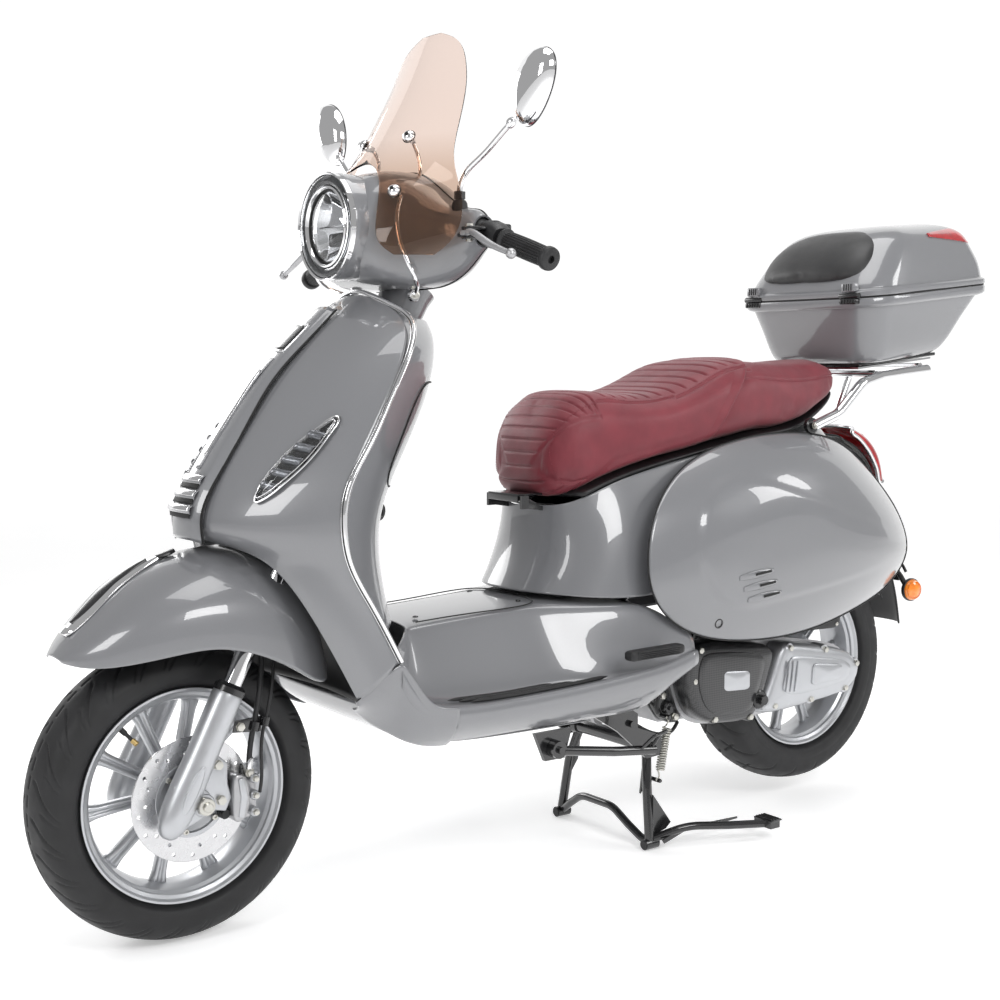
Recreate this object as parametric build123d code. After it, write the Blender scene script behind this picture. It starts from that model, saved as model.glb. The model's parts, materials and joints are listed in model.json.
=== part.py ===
from build123d import *
import math
import os

os.makedirs("parts", exist_ok=True)

# ---------------------------------------------------------------------------
# Moped scooter, 12 inch wheels, on its centre stand.
# Millimetres. +Z up, ground at z = 0. The front faces -Y, the left side is +X.
# Coordinates below have y = 0 midway between the axles; Y_SHIFT then centres
# the bounding box on y = 0 when the parts are written.
# ---------------------------------------------------------------------------
WHEELBASE = 1360.0
TYRE_R_F = 229.0            # 110/70-12
TYRE_R_R = 240.0            # 120/70-12
TYRE_W_F = 110.0
TYRE_W_R = 120.0
RIM_FLANGE_R = 165.5        # 12 inch rim flange
REAR_LIFT = 31.0            # rear tyre off the ground on the centre stand
RAKE = 27.0                 # steering axis from vertical
AXIS_BEHIND_AXLE = 39.0     # steering axis behind the front axle, at axle height
LEG_AHEAD = 35.0            # fork leg axis ahead of the front axle, at axle height
LEG_X = 96.0                # fork leg half spacing
SKIN = 3.0                  # body panel thickness
STAND_PIVOT = (205.0, 186.0)
ENGINE_PIVOT = (150.0, 236.0)
SEAT_HINGE = (-40.0, 646.0)
LID_HINGE = (708.0, 1022.0)
FRONT_END = -(WHEELBASE / 2 + TYRE_R_F)
REAR_END = 1141.0           # rear rim of the top box
Y_SHIFT = -(FRONT_END + REAR_END) / 2

YF, ZF = -WHEELBASE / 2, TYRE_R_F
YR, ZR = WHEELBASE / 2, TYRE_R_R + REAR_LIFT
RK = math.radians(RAKE)
AX = (0.0, math.sin(RK), math.cos(RK))          # up the steering axis
PERP = (0.0, -math.cos(RK), math.sin(RK))       # forward and up, square to it
YA = YF + AXIS_BEHIND_AXLE                      # steering axis at axle height

nodes = {}


def put(name, *solids):
    """Adds solids to a node, shifted to the row frame."""
    for s in solids:
        for one in s.solids():
            nodes.setdefault(name, []).append(one.moved(Location((0, Y_SHIFT, 0))))


def on_axis(z, off=0.0, x=0.0):
    """A point at height z on the steering axis, moved forward by off."""
    return (x, YA + (z - ZF) * math.tan(RK) + off * PERP[1], z + off * PERP[2])


def leg(z, x=LEG_X):
    """A point at height z on a fork leg's axis."""
    return (x, YF - LEG_AHEAD + (z - ZF) * math.tan(RK), z)


def vec(p):
    return p if isinstance(p, Vector) else Vector(*p)


def cyl(a, b, r):
    a, b = vec(a), vec(b)
    return Solid.make_cylinder(r, (b - a).length, Plane(origin=a, z_dir=b - a))


def cone(a, b, r1, r2):
    a, b = vec(a), vec(b)
    return Solid.make_cone(r1, r2, (b - a).length, Plane(origin=a, z_dir=b - a))


def pipe(a, b, ro, ri):
    a, b = vec(a), vec(b)
    d = (b - a).normalized() * 2
    return cyl(a, b, ro) - cyl(a - d, b + d, ri)


def box(lo, hi):
    c = [(p + q) / 2 for p, q in zip(lo, hi)]
    s = [abs(q - p) for p, q in zip(lo, hi)]
    return Pos(*c) * Box(*s)


def rod(points, r, bend=None, ri=0.0):
    """A round bar along straight runs joined by tangent arcs."""
    pts = [vec(p) for p in points]
    radii = []
    for i in range(1, len(pts) - 1):
        u, v = pts[i] - pts[i - 1], pts[i + 1] - pts[i]
        turn = math.radians(u.get_angle(v))
        big = 0.45 * min(u.length, v.length) / math.tan(turn / 2)
        radii.append(min(big, bend) if bend else big)
    if len(pts) == 2:
        return cyl(pts[0], pts[1], r)
    path = FilletPolyline(*pts, radius=radii)
    start = Plane(origin=pts[0], z_dir=pts[1] - pts[0])
    out = sweep(start * Circle(r), path=path, transition=Transition.ROUND)
    if ri:
        out = out - sweep(start * Circle(ri), path=path, transition=Transition.ROUND)
    return out


def polyhedron(verts, tris):
    faces = []
    for a, b, c in tris:
        pa, pb, pc = verts[a], verts[b], verts[c]
        if (pb - pa).cross(pc - pa).length > 1e-4:
            faces.append(Face(Wire.make_polygon([pa, pb, pc], close=True)))
    s = Solid(Shell(faces))
    return s if s.volume > 0 else Solid(s.wrapped.Reversed())


def skin(verts, faces, t, inside=-1):
    """A closed sheet of thickness t behind the given faces (3 or 4 corners each)."""
    verts = [vec(v) for v in verts]
    tris = []
    for f in faces:
        tris.append((f[0], f[1], f[2]))
        if len(f) == 4:
            tris.append((f[0], f[2], f[3]))
    normal = [Vector(0, 0, 0) for _ in verts]
    for a, b, c in tris:
        n = (verts[b] - verts[a]).cross(verts[c] - verts[a])
        for k in (a, b, c):
            normal[k] = normal[k] + n
    off = [v + (n.normalized() * (t * inside) if n.length > 1e-9 else n) for v, n in zip(verts, normal)]
    m = len(verts)
    edges = {}
    for a, b, c in tris:
        for e in ((a, b), (b, c), (c, a)):
            edges[e] = True
    out = list(tris) + [(c + m, b + m, a + m) for a, b, c in tris]
    for a, b in edges:
        if (b, a) not in edges:
            out.append((b, a, a + m))
            out.append((b, a + m, b + m))
    return polyhedron(verts + off, out)


def mirrored(rows, wrap=False):
    """Verts and faces of a grid of half rows (x >= 0) and its mirror image."""
    verts, faces, idx, midx = [], [], {}, {}
    for i, row in enumerate(rows):
        for j, p in enumerate(row):
            idx[i, j] = len(verts)
            verts.append(Vector(*p))
            if abs(p[0]) < 1e-6:
                midx[i, j] = idx[i, j]
            else:
                midx[i, j] = len(verts)
                verts.append(Vector(-p[0], p[1], p[2]))
    for i in range(len(rows) - 1):
        for j in range(len(rows[i]) - 1):
            q = [(i, j), (i + 1, j), (i + 1, j + 1), (i, j + 1)]
            faces.append(tuple(idx[k] for k in q))
            faces.append(tuple(midx[k] for k in reversed(q)))
    clean = []
    for f in faces:
        g = [k for n, k in enumerate(f) if k != f[n - 1]]
        if len(set(g)) >= 3:
            clean.append(tuple(g))
    return verts, clean


def loft_loops(loops):
    """A closed solid through closed loops of equal point count."""
    n = len(loops[0])
    verts = [Vector(*p) for lp in loops for p in lp]
    tris = []
    for i in range(len(loops) - 1):
        for j in range(n):
            a, b = i * n + j, i * n + (j + 1) % n
            c, d = a + n, b + n
            tris += [(a, b, d), (a, d, c)]
    for base, order in ((0, -1), ((len(loops) - 1) * n, 1)):
        ctr = sum((verts[base + j] for j in range(n)), Vector(0, 0, 0)) / n
        k = len(verts)
        verts.append(ctr)
        for j in range(n):
            a, b = base + j, base + (j + 1) % n
            tris.append((k, a, b) if order > 0 else (k, b, a))
    return polyhedron(verts, tris)


def loop_skin(loops, t, cap_first=False, cap_last=False):
    """A sheet through closed loops, open at the ends unless capped."""
    n = len(loops[0])
    verts = [p for lp in loops for p in lp]
    faces = []
    for i in range(len(loops) - 1):
        for j in range(n):
            a, b = i * n + j, i * n + (j + 1) % n
            faces.append((a, b, b + n, a + n))
    for cap, base in ((cap_first, 0), (cap_last, (len(loops) - 1) * n)):
        if cap:
            ctr = tuple(sum(verts[base + j][k] for j in range(n)) / n for k in range(3))
            k = len(verts)
            verts.append(ctr)
            for j in range(n):
                a, b = base + j, base + (j + 1) % n
                faces.append((k, b, a) if base == 0 else (k, a, b))
    return skin(verts, faces, t)


def ring_yz(x, y0, y1, z0, z1, n=16, e=2.4):
    """A closed superellipse loop in the plane at x."""
    out = []
    for k in range(n):
        a = 2 * math.pi * k / n
        c, s = math.cos(a), math.sin(a)
        u = math.copysign(abs(c) ** (2 / e), c)
        w = math.copysign(abs(s) ** (2 / e), s)
        out.append((x, (y0 + y1) / 2 + u * (y1 - y0) / 2, (z0 + z1) / 2 + w * (z1 - z0) / 2))
    return out


def ring_xz(y, hw, z0, z1, n=16, e=2.6, x0=0.0):
    out = []
    for k in range(n):
        a = 2 * math.pi * k / n
        c, s = math.cos(a), math.sin(a)
        u = math.copysign(abs(c) ** (2 / e), c)
        w = math.copysign(abs(s) ** (2 / e), s)
        out.append((x0 + u * hw, y, (z0 + z1) / 2 + w * (z1 - z0) / 2))
    return out


def plate(outline, x0, x1):
    """A flat plate: outline of (y, z) points, from x0 to x1."""
    f = Face(Wire.make_polygon([Vector(x0, y, z) for y, z in outline], close=True))
    return Solid.extrude(f, Vector(x1 - x0, 0, 0))


def lerp(p, q, u):
    return tuple(a + (b - a) * u for a, b in zip(p, q))


def turned(profile, centre):
    """A ring turned about an X axis through centre: profile of (x, r) points."""
    pts = [Vector(x, 0, r) for x, r in profile]
    f = Face(Wire.make_polygon(pts, close=True))
    s = Solid.revolve(f, 360, Axis((0, 0, 0), (1, 0, 0)))
    return s.moved(Location((0, centre[0], centre[1])))


# ---------------------------------------------------------------- frame -----
HEAD_LO, HEAD_HI = 650.0, 850.0
head_tube = pipe(on_axis(HEAD_LO), on_axis(HEAD_HI), 27, 23)
down = rod([on_axis(700, -34), (0, -368, 560), (0, -368, 400), (0, -290, 316), (0, -100, 311), (0, 60, 318)], 19, 90)
frame_solids = [head_tube, down - cyl(on_axis(HEAD_LO - 20), on_axis(HEAD_HI + 20), 26.5)]
cross = cyl((-112, 60, 318), (112, 60, 318), 17) - down
for s in (1, -1):
    frame_solids.append(rod([(s * 96, 60 + 16.6, 330), (s * 96, 120, 440), (s * 104, 230, 560), (s * 104, 420, 640), (s * 78, 620, 682), (s * 54, 735, 682)], 14, 90))
    # hanger ears and stand ears, welded under the cross tube
    frame_solids.append(plate([(20, 302), (92, 302), (168, 252), (168, 226), (226, 204), (226, 168), (190, 166), (120, 226), (20, 288)], s * 112, s * 118)
                        - cyl((s * 100, ENGINE_PIVOT[0], ENGINE_PIVOT[1]), (s * 130, ENGINE_PIVOT[0], ENGINE_PIVOT[1]), 6.1)
                        - cyl((s * 100, STAND_PIVOT[0], STAND_PIVOT[1]), (s * 130, STAND_PIVOT[0], STAND_PIVOT[1]), 8.1))
frame_solids.append(cyl((-134, 40, 292), (134, 40, 292), 12) - plate([(20, 302), (92, 302), (168, 252), (168, 226), (226, 204), (226, 168), (190, 166), (120, 226), (20, 288)], -118.05, -111.95) - plate([(20, 302), (92, 302), (168, 252), (168, 226), (226, 204), (226, 168), (190, 166), (120, 226), (20, 288)], 111.95, 118.05))
frame_solids[1] = frame_solids[1]
put("main_frame", *frame_solids, cross)

bearings = []
for z0, z1 in ((HEAD_LO + 2, HEAD_LO + 14), (HEAD_HI - 14, HEAD_HI - 2)):
    bearings.append(pipe(on_axis(z0), on_axis(z1), 22.9, 14.05))
put("head_bearings", *bearings)

put("main_frame", cyl((-126, *STAND_PIVOT), (126, *STAND_PIVOT), 8.0))
put("main_frame", cyl((-126, *ENGINE_PIVOT), (126, *ENGINE_PIVOT), 6.0))

# ----------------------------------------------------------- leg shield -----
# Half rows from the centre line (or the wheel arch) out to the edge trim.
SHIELD = [
    ((0, -352, 994), (100, -342, 970)),
    ((0, -398, 966), (150, -343, 946)),
    ((0, -450, 920), (182, -368, 900)),
    ((0, -518, 857), (202, -412, 834)),
    ((0, -574, 780), (216, -461, 761)),
    ((0, -626, 705), (221, -500, 698)),
    ((0, -654, 655), (222, -508, 650)),
    ((0, -651, 618), (222, -505, 618)),
    ((100, -593, 603), (222, -498, 590)),
    ((150, -568, 570), (221, -483, 560)),
    ((182, -545, 521), (221, -460, 520)),
    ((203, -515, 456), (221, -436, 475)),
    ((216, -478, 378), (221, -408, 428)),
]


def shield_row(s, e, n=6):
    out = []
    for k in range(n + 1):
        u = k / n
        if s[0] < 1:
            x = e[0] * u
            w = u * u
        else:
            x = s[0] + (e[0] - s[0]) * u + 6 * math.sin(math.pi * u)
            w = (u + u * u) / 2
        out.append((x, s[1] + (e[1] - s[1]) * w, s[2] + (e[2] - s[2]) * w))
    return out


rows = [shield_row(s, e) for s, e in SHIELD]
v, f = mirrored(rows)
put("leg_shield", skin(v, f, SKIN))

# Nose panel: a shallow channel on the centre line, 4 mm proud of the shield.
nose = []
for (s, e), hw in zip(SHIELD[1:8], (26, 30, 36, 42, 46, 50, 48)):
    nx, ny, nz = 0, -0.86, 0.5
    row = []
    for u, lift in ((0, 14), (0.6, 13), (1.0, 5)):
        x = hw * u
        w = (x / e[0]) ** 2
        row.append((x, s[1] + (e[1] - s[1]) * w + ny * lift, s[2] + nz * lift - (8 if s is SHIELD[7][0] else 0)))
    nose.append(row)
v, f = mirrored(nose)
put("nose_panel", skin(v, f, 3.5))

# Front indicators: leaf lenses standing proud of the shield.
def shield_y(x, z):
    pts = []
    for s_, e_ in SHIELD[:8]:
        w = (x / e_[0]) ** 2
        pts.append((s_[2] + (e_[2] - s_[2]) * w, s_[1] + (e_[1] - s_[1]) * w))
    for (z0, y0), (z1, y1) in zip(pts, pts[1:]):
        if z1 <= z <= z0:
            return y0 + (y1 - y0) * (z - z0) / (z1 - z0)
    return pts[-1][1]


rows = []
for z, x, w in ((800, 166, 5), (772, 160, 15), (740, 151, 19), (708, 141, 15), (682, 131, 5)):
    row = []
    for u in (-1, 0, 1):
        px = x + u * w * 0.8
        y = shield_y(px, z)
        row.append((px + 0.62 * 12, y - 0.72 * 12, z + 3))
    rows.append(row)
for s in (1, -1):
    flat = [Vector(s * q[0], q[1], q[2]) for r in rows for q in r]
    fs = []
    for i in range(4):
        for j in range(2):
            q = (i * 3 + j, i * 3 + j + 3, i * 3 + j + 4, i * 3 + j + 1)
            fs.append(q if s > 0 else tuple(reversed(q)))
    put("indicators", skin(flat, fs, 7))

# Inner shield, on the rider's side.
INNER = [
    ((0, -216, 946), (95, -332, 962)),
    ((0, -212, 925), (142, -337, 938)),
    ((0, -214, 885), (174, -360, 894)),
    ((0, -234, 822), (193, -404, 828)),
    ((0, -270, 757), (207, -452, 757)),
    ((0, -306, 694), (212, -490, 694)),
    ((0, -330, 640), (213, -498, 640)),
    ((0, -336, 585), (213, -487, 585)),
    ((0, -332, 530), (213, -457, 530)),
    ((0, -328, 482), (213, -427, 478)),
]
rows = []
for s, e in INNER:
    row = []
    for k in range(8):
        u = k / 7
        # a rounded centre bulge that meets a flat rim
        w = u ** 2.0
        row.append((e[0] * u, s[1] + (e[1] - s[1]) * w, s[2] + (e[2] - s[2]) * u))
    rows.append(list(reversed(row)))
v, f = mirrored(rows)
put("inner_shield", skin(v, f, SKIN))

# Chrome edge trim: a round bead round the shield's edge.
trim = [(0, -347, 999), (60, -345, 988), (106, -338, 972), (154, -337, 948), (187, -362, 902), (207, -407, 837), (221, -456, 763), (226, -497, 698), (226.5, -504, 640), (226.5, -494, 588), (226, -456, 520), (225.5, -406, 432)]
half = [rod([(s * x, y, z) for x, y, z in trim], 3.4) for s in (1, -1)]
put("shield_trim", half[0], half[1])

# ---------------------------------------------------------- lower body ------
# Half sections: y, tunnel (x, z), floor (x, z), edge z, bottom z
FLOOR = [
    (-404, 112, 462, 168, 428, 424, 352),
    (-384, 110, 460, 170, 392, 392, 318),
    (-350, 108, 458, 170, 355, 355, 292),
    (-300, 108, 460, 170, 344, 346, 278),
    (-180, 108, 466, 170, 342, 345, 277),
    (-60, 112, 472, 172, 346, 349, 276),
    (-20, 140, 472, 190, 348, 351, 276),
    (40, 172, 470, 203, 352, 355, 275),
    (120, 198, 470, 211, 358, 361, 275),
    (170, 206, 440, 213, 366, 369, 300),
    (215, 208, 412, 214, 378, 382, 330),
]
rows = []
for y, xt, zt, xf, zf, ze, zb in FLOOR:
    yc = y if y > -310 else -322 + (y + 404) * 0.1
    ym = (y + yc) / 2
    rows.append([(0, yc, zt + 6), (xt * 0.6, yc, zt + 4), (xt, yc, zt - 4), ((xt + xf) / 2 + 6, ym, (zt + zf) / 2 - 12), (xf, y, zf), (215, y, zf + 1), (223, y, ze),
                 (226, y, ze - 22), (214, y, (ze + zb) / 2 - 8), (186, y, zb + 4)])
v, f = mirrored([list(reversed(r)) for r in rows])
put("floorboard", skin(v, f, SKIN) - box((-132, 50, 400), (132, 240, 500)))

BELLY = [(-430, 356, 0.96), (-418, 334, 1.0), (-400, 314, 1.0), (-350, 285, 1.0), (-290, 270, 1), (-170, 266, 1), (-60, 265, 1), (10, 264, 1)]
rows = []
for y, zb, w in BELLY:
    rows.append([(0, y, zb - 2), (90 * w, y, zb - 1), (146 * w, y, zb), (174 * w, y, zb + 8)])
v, f = mirrored(rows)
put("belly_pan", skin(v, f, SKIN))

# Splash panel behind the front wheel, between the arch and the belly.
rows = []
for y, z, hw, ye in ((-402, 604, 118, -432), (-404, 570, 146, -436), (-402, 520, 168, -468), (-398, 456, 190, -470), (-404, 388, 200, -448), (-428, 362, 176, -456)):
    rows.append([(0, y, z), (hw * 0.5, y - 6, z), (hw * 0.85, y + (ye - y) * 0.5, z), (hw, ye, z)])
v, f = mirrored(rows)
put("belly_pan", skin(v, f, SKIN))

# Rubber strips along the floor, three a side.
def floor_z(y):
    for a, b in zip(FLOOR, FLOOR[1:]):
        if a[0] <= y <= b[0]:
            return a[4] + (b[4] - a[4]) * (y - a[0]) / (b[0] - a[0])
    return FLOOR[-1][4]


for s in (1, -1):
    for x0, y0, y1 in ((178, -292, -80), (190, -276, -45), (202, -262, 20)):
        put("floor_strips", rod([(s * x0, y0, floor_z(y0) + 5.6), (s * (x0 + 1), (y0 + y1) / 2, floor_z((y0 + y1) / 2) + 5.4), (s * (x0 + 4), y1, floor_z(y1) + 5.6)], 3.6))


# ------------------------------------------------------- seat tub, cowls ----
TUB = [
    ((0, -25, 634), (0, -95, 488)),
    ((60, -15, 634), (70, -80, 487)),
    ((98, 8, 640), (112, -45, 485)),
    ((120, 46, 655), (146, 0, 482)),
    ((130, 100, 677), (172, 60, 479)),
    ((134, 154, 690), (184, 125, 477)),
    ((134, 250, 711), (176, 200, 484)),
    ((134, 340, 725), (170, 300, 486)),
    ((130, 450, 742), (166, 420, 492)),
    ((122, 560, 747), (158, 560, 500)),
    ((106, 630, 753), (146, 690, 512)),
    ((80, 674, 764), (116, 800, 545)),
    ((42, 692, 772), (66, 850, 590)),
    ((0, 698, 774), (0, 866, 618)),
]
rows = []
for t_, b_ in TUB:
    row = []
    for k in range(5):
        u = k / 4
        p = lerp(t_, b_, u)
        y = p[1] + (0 if t_[1] > 60 else 14 * math.sin(math.pi * u) * (1 - max(0, t_[1]) / 60))
        x = p[0] + (10 * math.sin(math.pi * u) if t_[1] > 60 and t_[0] > 1 else -4 * math.sin(math.pi * u) if t_[0] > 1 else 0)
        z = p[2] + (16 * math.sin(math.pi * u) if t_[1] > 640 else 0)
        row.append((x, y, z))
    rows.append(row)
# rows here run round the loop, so transpose to rows by height
rows = [[r[k] for r in rows] for k in range(5)]
v, f = mirrored(rows)
put("seat_tub", skin(v, f, SKIN))

COWL = [
    (150, 358, 739), (160, 235, 700), (188, 156, 649), (202, 120, 601), (214, 106, 519), (216, 123, 469), (217, 176, 424), (217, 244, 397),
    (216, 329, 383), (208, 449, 377), (194, 587, 388), (175, 716, 412), (148, 828, 444), (122, 905, 505), (112, 896, 560), (112, 838, 627), (118, 734, 705), (132, 635, 741), (144, 500, 752),
]
CC = (238, 400, 560)
for s in (1, -1):
    verts, faces = [], []
    n = len(COWL)
    fr = (1.0, 0.93, 0.8, 0.55, 0.28)
    for fct in fr:
        for x, y, z in COWL:
            xx = CC[0] + (x - CC[0]) * (fct ** 3.2)
            verts.append((s * xx, CC[1] + (y - CC[1]) * fct, CC[2] + (z - CC[2]) * fct))
    verts.append((s * CC[0], CC[1], CC[2]))
    for i in range(len(fr) - 1):
        for j in range(n):
            a, b = i * n + j, i * n + (j + 1) % n
            q = (a, b, b + n, a + n)
            faces.append(q if s < 0 else tuple(reversed(q)))
    base = (len(fr) - 1) * n
    for j in range(n):
        q = (base + j, base + (j + 1) % n, len(verts) - 1)
        faces.append(q if s < 0 else tuple(reversed(q)))
    put("side_cowls", skin(verts, faces, SKIN))

# Helmet bucket, fuel tank and battery under the seat.
bucket = []
for z, hw, y0, y1 in ((520, 88, 60, 380), (600, 96, 48, 400), (690, 104, 40, 420)):
    loop = []
    for k in range(16):
        a = 2 * math.pi * k / 16
        c, s_ = math.cos(a), math.sin(a)
        loop.append((math.copysign(abs(c) ** 0.7, c) * hw, (y0 + y1) / 2 + math.copysign(abs(s_) ** 0.7, s_) * (y1 - y0) / 2, z if z < 650 else 0))
    if z > 650:
        loop = [(px, py, min(682, 626 + max(0, py - 40) * 0.36)) for px, py, _ in loop]
    bucket.append(loop)
bucket_skin = loop_skin(bucket, 3, cap_first=True)
for s in (1, -1):
    rail = rod([(s * 96, 60 + 16.6, 330), (s * 96, 120, 440), (s * 104, 230, 560), (s * 104, 420, 640), (s * 78, 620, 682), (s * 54, 735, 682)], 16.5, 90)
    bucket_skin = bucket_skin - rail
put("helmet_bucket", bucket_skin)
put("fuel_tank", loft_loops([ring_xz(440, 56, 640, 716), ring_xz(520, 58, 636, 724), ring_xz(600, 52, 640, 728)]),
    cyl((0, 480, 722.0), (0, 480, 736), 20))

# ---------------------------------------------------------------- tail ------
lamp = []
for hw, k in ((6, 0.35), (44, 0.8), (62, 1.0)):
    pass
lamp_sections = []
for y, z, out_, up_ in ((800, 742, 10, 8), (836, 718, 26, 10), (872, 676, 30, 8), (890, 634, 22, 4)):
    lamp_sections.append([(-62, y, z), (-52, y + out_ * 0.9, z + up_), (0, y + out_ * 1.15, z + up_ * 1.3), (52, y + out_ * 0.9, z + up_), (62, y, z), (0, y + 1, z + 1)])
put("tail_lamp", loft_loops([list(reversed(l)) for l in lamp_sections]))

guard = []
for y, z, hw in ((812, 606, 62), (868, 560, 66), (925, 482, 66), (962, 410, 64), (986, 330, 56)):
    guard.append([(0, y, z), (hw * 0.7, y - 3, z), (hw, y - 16, z - 4)])
v, f = mirrored(guard)
guard_plate = skin(v, f, 4)
holes = [cyl((sx, 900, 436), (sx, 1000, 436), 3.25) for sx in (-42.5, 42.5)]
put("plate_bracket", guard_plate, box((-58, 962, 420), (58, 966, 452)) - holes[0] - holes[1])
for s in (1, -1):
    put("indicators", cone((s * 112, 928, 411), (s * 132, 926, 411), 24, 19))
    put("plate_bracket", rod([(s * 70, 922, 452), (s * 90, 930, 430), (s * 107, 928, 416)], 6))

# --------------------------------------------------------- rack and box -----
for s in (1, -1):
    put("rack", rod([(s * 144, 590, 762), (s * 143, 660, 784), (s * 138, 735, 844), (s * 130, 800, 857), (s * 125, 880, 864), (s * 120, 958, 870)], 10, 60))
put("rack", cyl((-109, 950, 876), (109, 950, 876), 8), cyl((-119, 800, 862), (119, 800, 862), 7),
    cyl((-52, 764, 786), (-52, 796, 853), 7), cyl((52, 764, 786), (52, 796, 853), 7))
put("rack", plate([(772, 870.6), (1000, 892.6), (1000, 896.4), (772, 874.4)], -96, 96))

BOX_TILT = math.radians(5.5)


def box_loop(z, hwf, hwr, y0, y1, rc=0.42, n=5):
    """A rounded loop, wide at the front (y0), on the box's tilted plane."""
    out = []
    corners = ((1, 1), (-1, 1), (-1, -1), (1, -1))
    for ci, (sx, sy) in enumerate(corners):
        for k in range(n):
            a = math.radians(90 * (ci + k / (n - 1)))
            hw = hwr if sy > 0 else hwf
            ex = hw * (1 - rc) * sx + hw * rc * math.cos(a)
            half_l = (y1 - y0) / 2
            r2 = hw * rc
            ey = (y0 + y1) / 2 + (half_l - r2) * sy + r2 * math.sin(a)
            out.append((ex, ey, z + (ey - 900) * math.tan(BOX_TILT)))
    return out


base_loops = [box_loop(893, 132, 104, 762, 1012), box_loop(903, 140, 112, 748, 1034), box_loop(960, 160, 130, 726, 1084), box_loop(1020, 182, 150, 706, 1131), box_loop(1027, 190, 156, 700, REAR_END)]
put("top_box_base", loop_skin(base_loops, 4, cap_first=True))
lid_loops = [box_loop(1037, 190, 156, 700, REAR_END), box_loop(1046, 182, 150, 708, 1132), box_loop(1090, 172, 140, 738, 1120), box_loop(1138, 152, 122, 780, 1094), box_loop(1160, 118, 92, 820, 1050), box_loop(1167, 60, 50, 870, 990)]
put("top_box_lid", loop_skin(lid_loops, 4, cap_last=True))
pad = []
for z, hw, y in ((1046, 128, 714), (1052, 140, 706), (1090, 140, 728), (1120, 130, 752), (1142, 108, 778), (1150, 86, 792)):
    ring = []
    for k in range(12):
        a = 2 * math.pi * k / 12
        c, s_ = math.cos(a), math.sin(a)
        ring.append((c * hw, y + s_ * 14 + (abs(c) ** 2) * 8, z - 14 + (10 if s_ < 0 else 0)))
    pad.append(ring)
put("backrest_pad", loft_loops(pad) - loop_skin(lid_loops, 60, cap_last=True))

# ---------------------------------------------------------------- seat ------
SEAT = [
    (-50, 40, 690, 735), (-42, 84, 664, 776), (-18, 112, 648, 812), (20, 130, 652, 829), (80, 142, 674, 834), (160, 152, 698, 826), (240, 156, 714, 834),
    (320, 156, 728, 862), (380, 154, 738, 884), (460, 148, 750, 886), (560, 135, 760, 881), (640, 121, 788, 884), (700, 100, 822, 888), (738, 50, 850, 886),
]
put("seat_cushion", loft_loops([list(reversed(ring_xz(y, hw, z0, z1, n=20, e=3.0))) for y, hw, z0, z1 in SEAT]))
pan_loops = []
for y, hw, z0 in ((-20, 60, 640), (20, 84, 645), (80, 104, 662), (160, 112, 686), (320, 112, 716), (460, 110, 738), (560, 100, 747), (630, 80, 771)):
    pan_loops.append([(-hw, y, z0 - 2), (hw, y, z0 - 2), (hw, y, z0 + 5), (-hw, y, z0 + 5)])
put("seat_pan", loft_loops(pan_loops) - loft_loops([list(reversed(ring_xz(y, hw, z0 - 0.6, z1, n=20, e=3.0))) for y, hw, z0, z1 in SEAT]))
put("main_frame", cyl((-46, *SEAT_HINGE), (46, *SEAT_HINGE), 5),
    box((-52, SEAT_HINGE[0] - 6, SEAT_HINGE[1] - 16), (-46.4, SEAT_HINGE[0] + 9, SEAT_HINGE[1] + 7)),
    box((46.4, SEAT_HINGE[0] - 6, SEAT_HINGE[1] - 16), (52, SEAT_HINGE[0] + 9, SEAT_HINGE[1] + 7)))

# ------------------------------------------------------------ front fork ----
CROWN_Z = 566.0
put("steering_stem", cyl(on_axis(CROWN_Z + 8), on_axis(1010), 14.0),
    )
crown_pts = [on_axis(CROWN_Z, 0), on_axis(CROWN_Z, (LEG_AHEAD + AXIS_BEHIND_AXLE) * math.cos(RK))]
c0, c1 = crown_pts
crown_pl = Plane(origin=((c0[0] + c1[0]) / 2, (c0[1] + c1[1]) / 2, (c0[2] + c1[2]) / 2), z_dir=AX, x_dir=(1, 0, 0))
# the crown narrows towards the stem so that it clears the splash panel at full lock
crown_half = [(104, -55), (118, -50), (118, -14), (78, 14), (36, 53)]
crown_out = crown_half + [(-x, y) for x, y in reversed(crown_half)]
crown = crown_pl * Pos(0, 0, -8) * extrude(make_face(Polyline(*crown_out, close=True)), 16)
leg_hi = leg(CROWN_Z + 60)
for s in (1, -1):
    crown = crown - cyl(leg(300, s * LEG_X), leg(700, s * LEG_X), 15.1)
crown = crown - cyl(on_axis(500), on_axis(700), 14.05)
put("steering_stem", crown)
for s in (1, -1):
    put("fork_stanchions", cyl(leg(330, s * LEG_X), leg(CROWN_Z + 38, s * LEG_X), 15.0))
    slider = cyl(leg(196, s * LEG_X), leg(392, s * LEG_X), 24) - cyl(leg(250, s * LEG_X), leg(420, s * LEG_X), 15.05)
    lug = plate([(YF - 22, ZF - 20), (YF + 18, ZF - 16), (YF + 20, ZF + 14), (YF - 2, ZF + 40), (YF - 26, ZF + 30)], s * (LEG_X - 10), s * (LEG_X + 10))
    slider = slider + lug
    slider = slider - cyl((s * 40, YF, ZF), (s * 140, YF, ZF), 7.55)
    put("fork_sliders", slider)
put("fork_sliders", cyl((-118, YF, ZF), (118, YF, ZF), 7.5), pipe((62.2, YF, ZF), (84.6, YF, ZF), 12, 7.55), pipe((-84.6, YF, ZF), (-52.2, YF, ZF), 12, 7.55))


def yz_rot(p, centre, deg):
    a = math.radians(deg)
    y, z = p[0] - centre[0], p[1] - centre[1]
    return (centre[0] + y * math.cos(a) - z * math.sin(a), centre[1] + y * math.sin(a) + z * math.cos(a))


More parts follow.
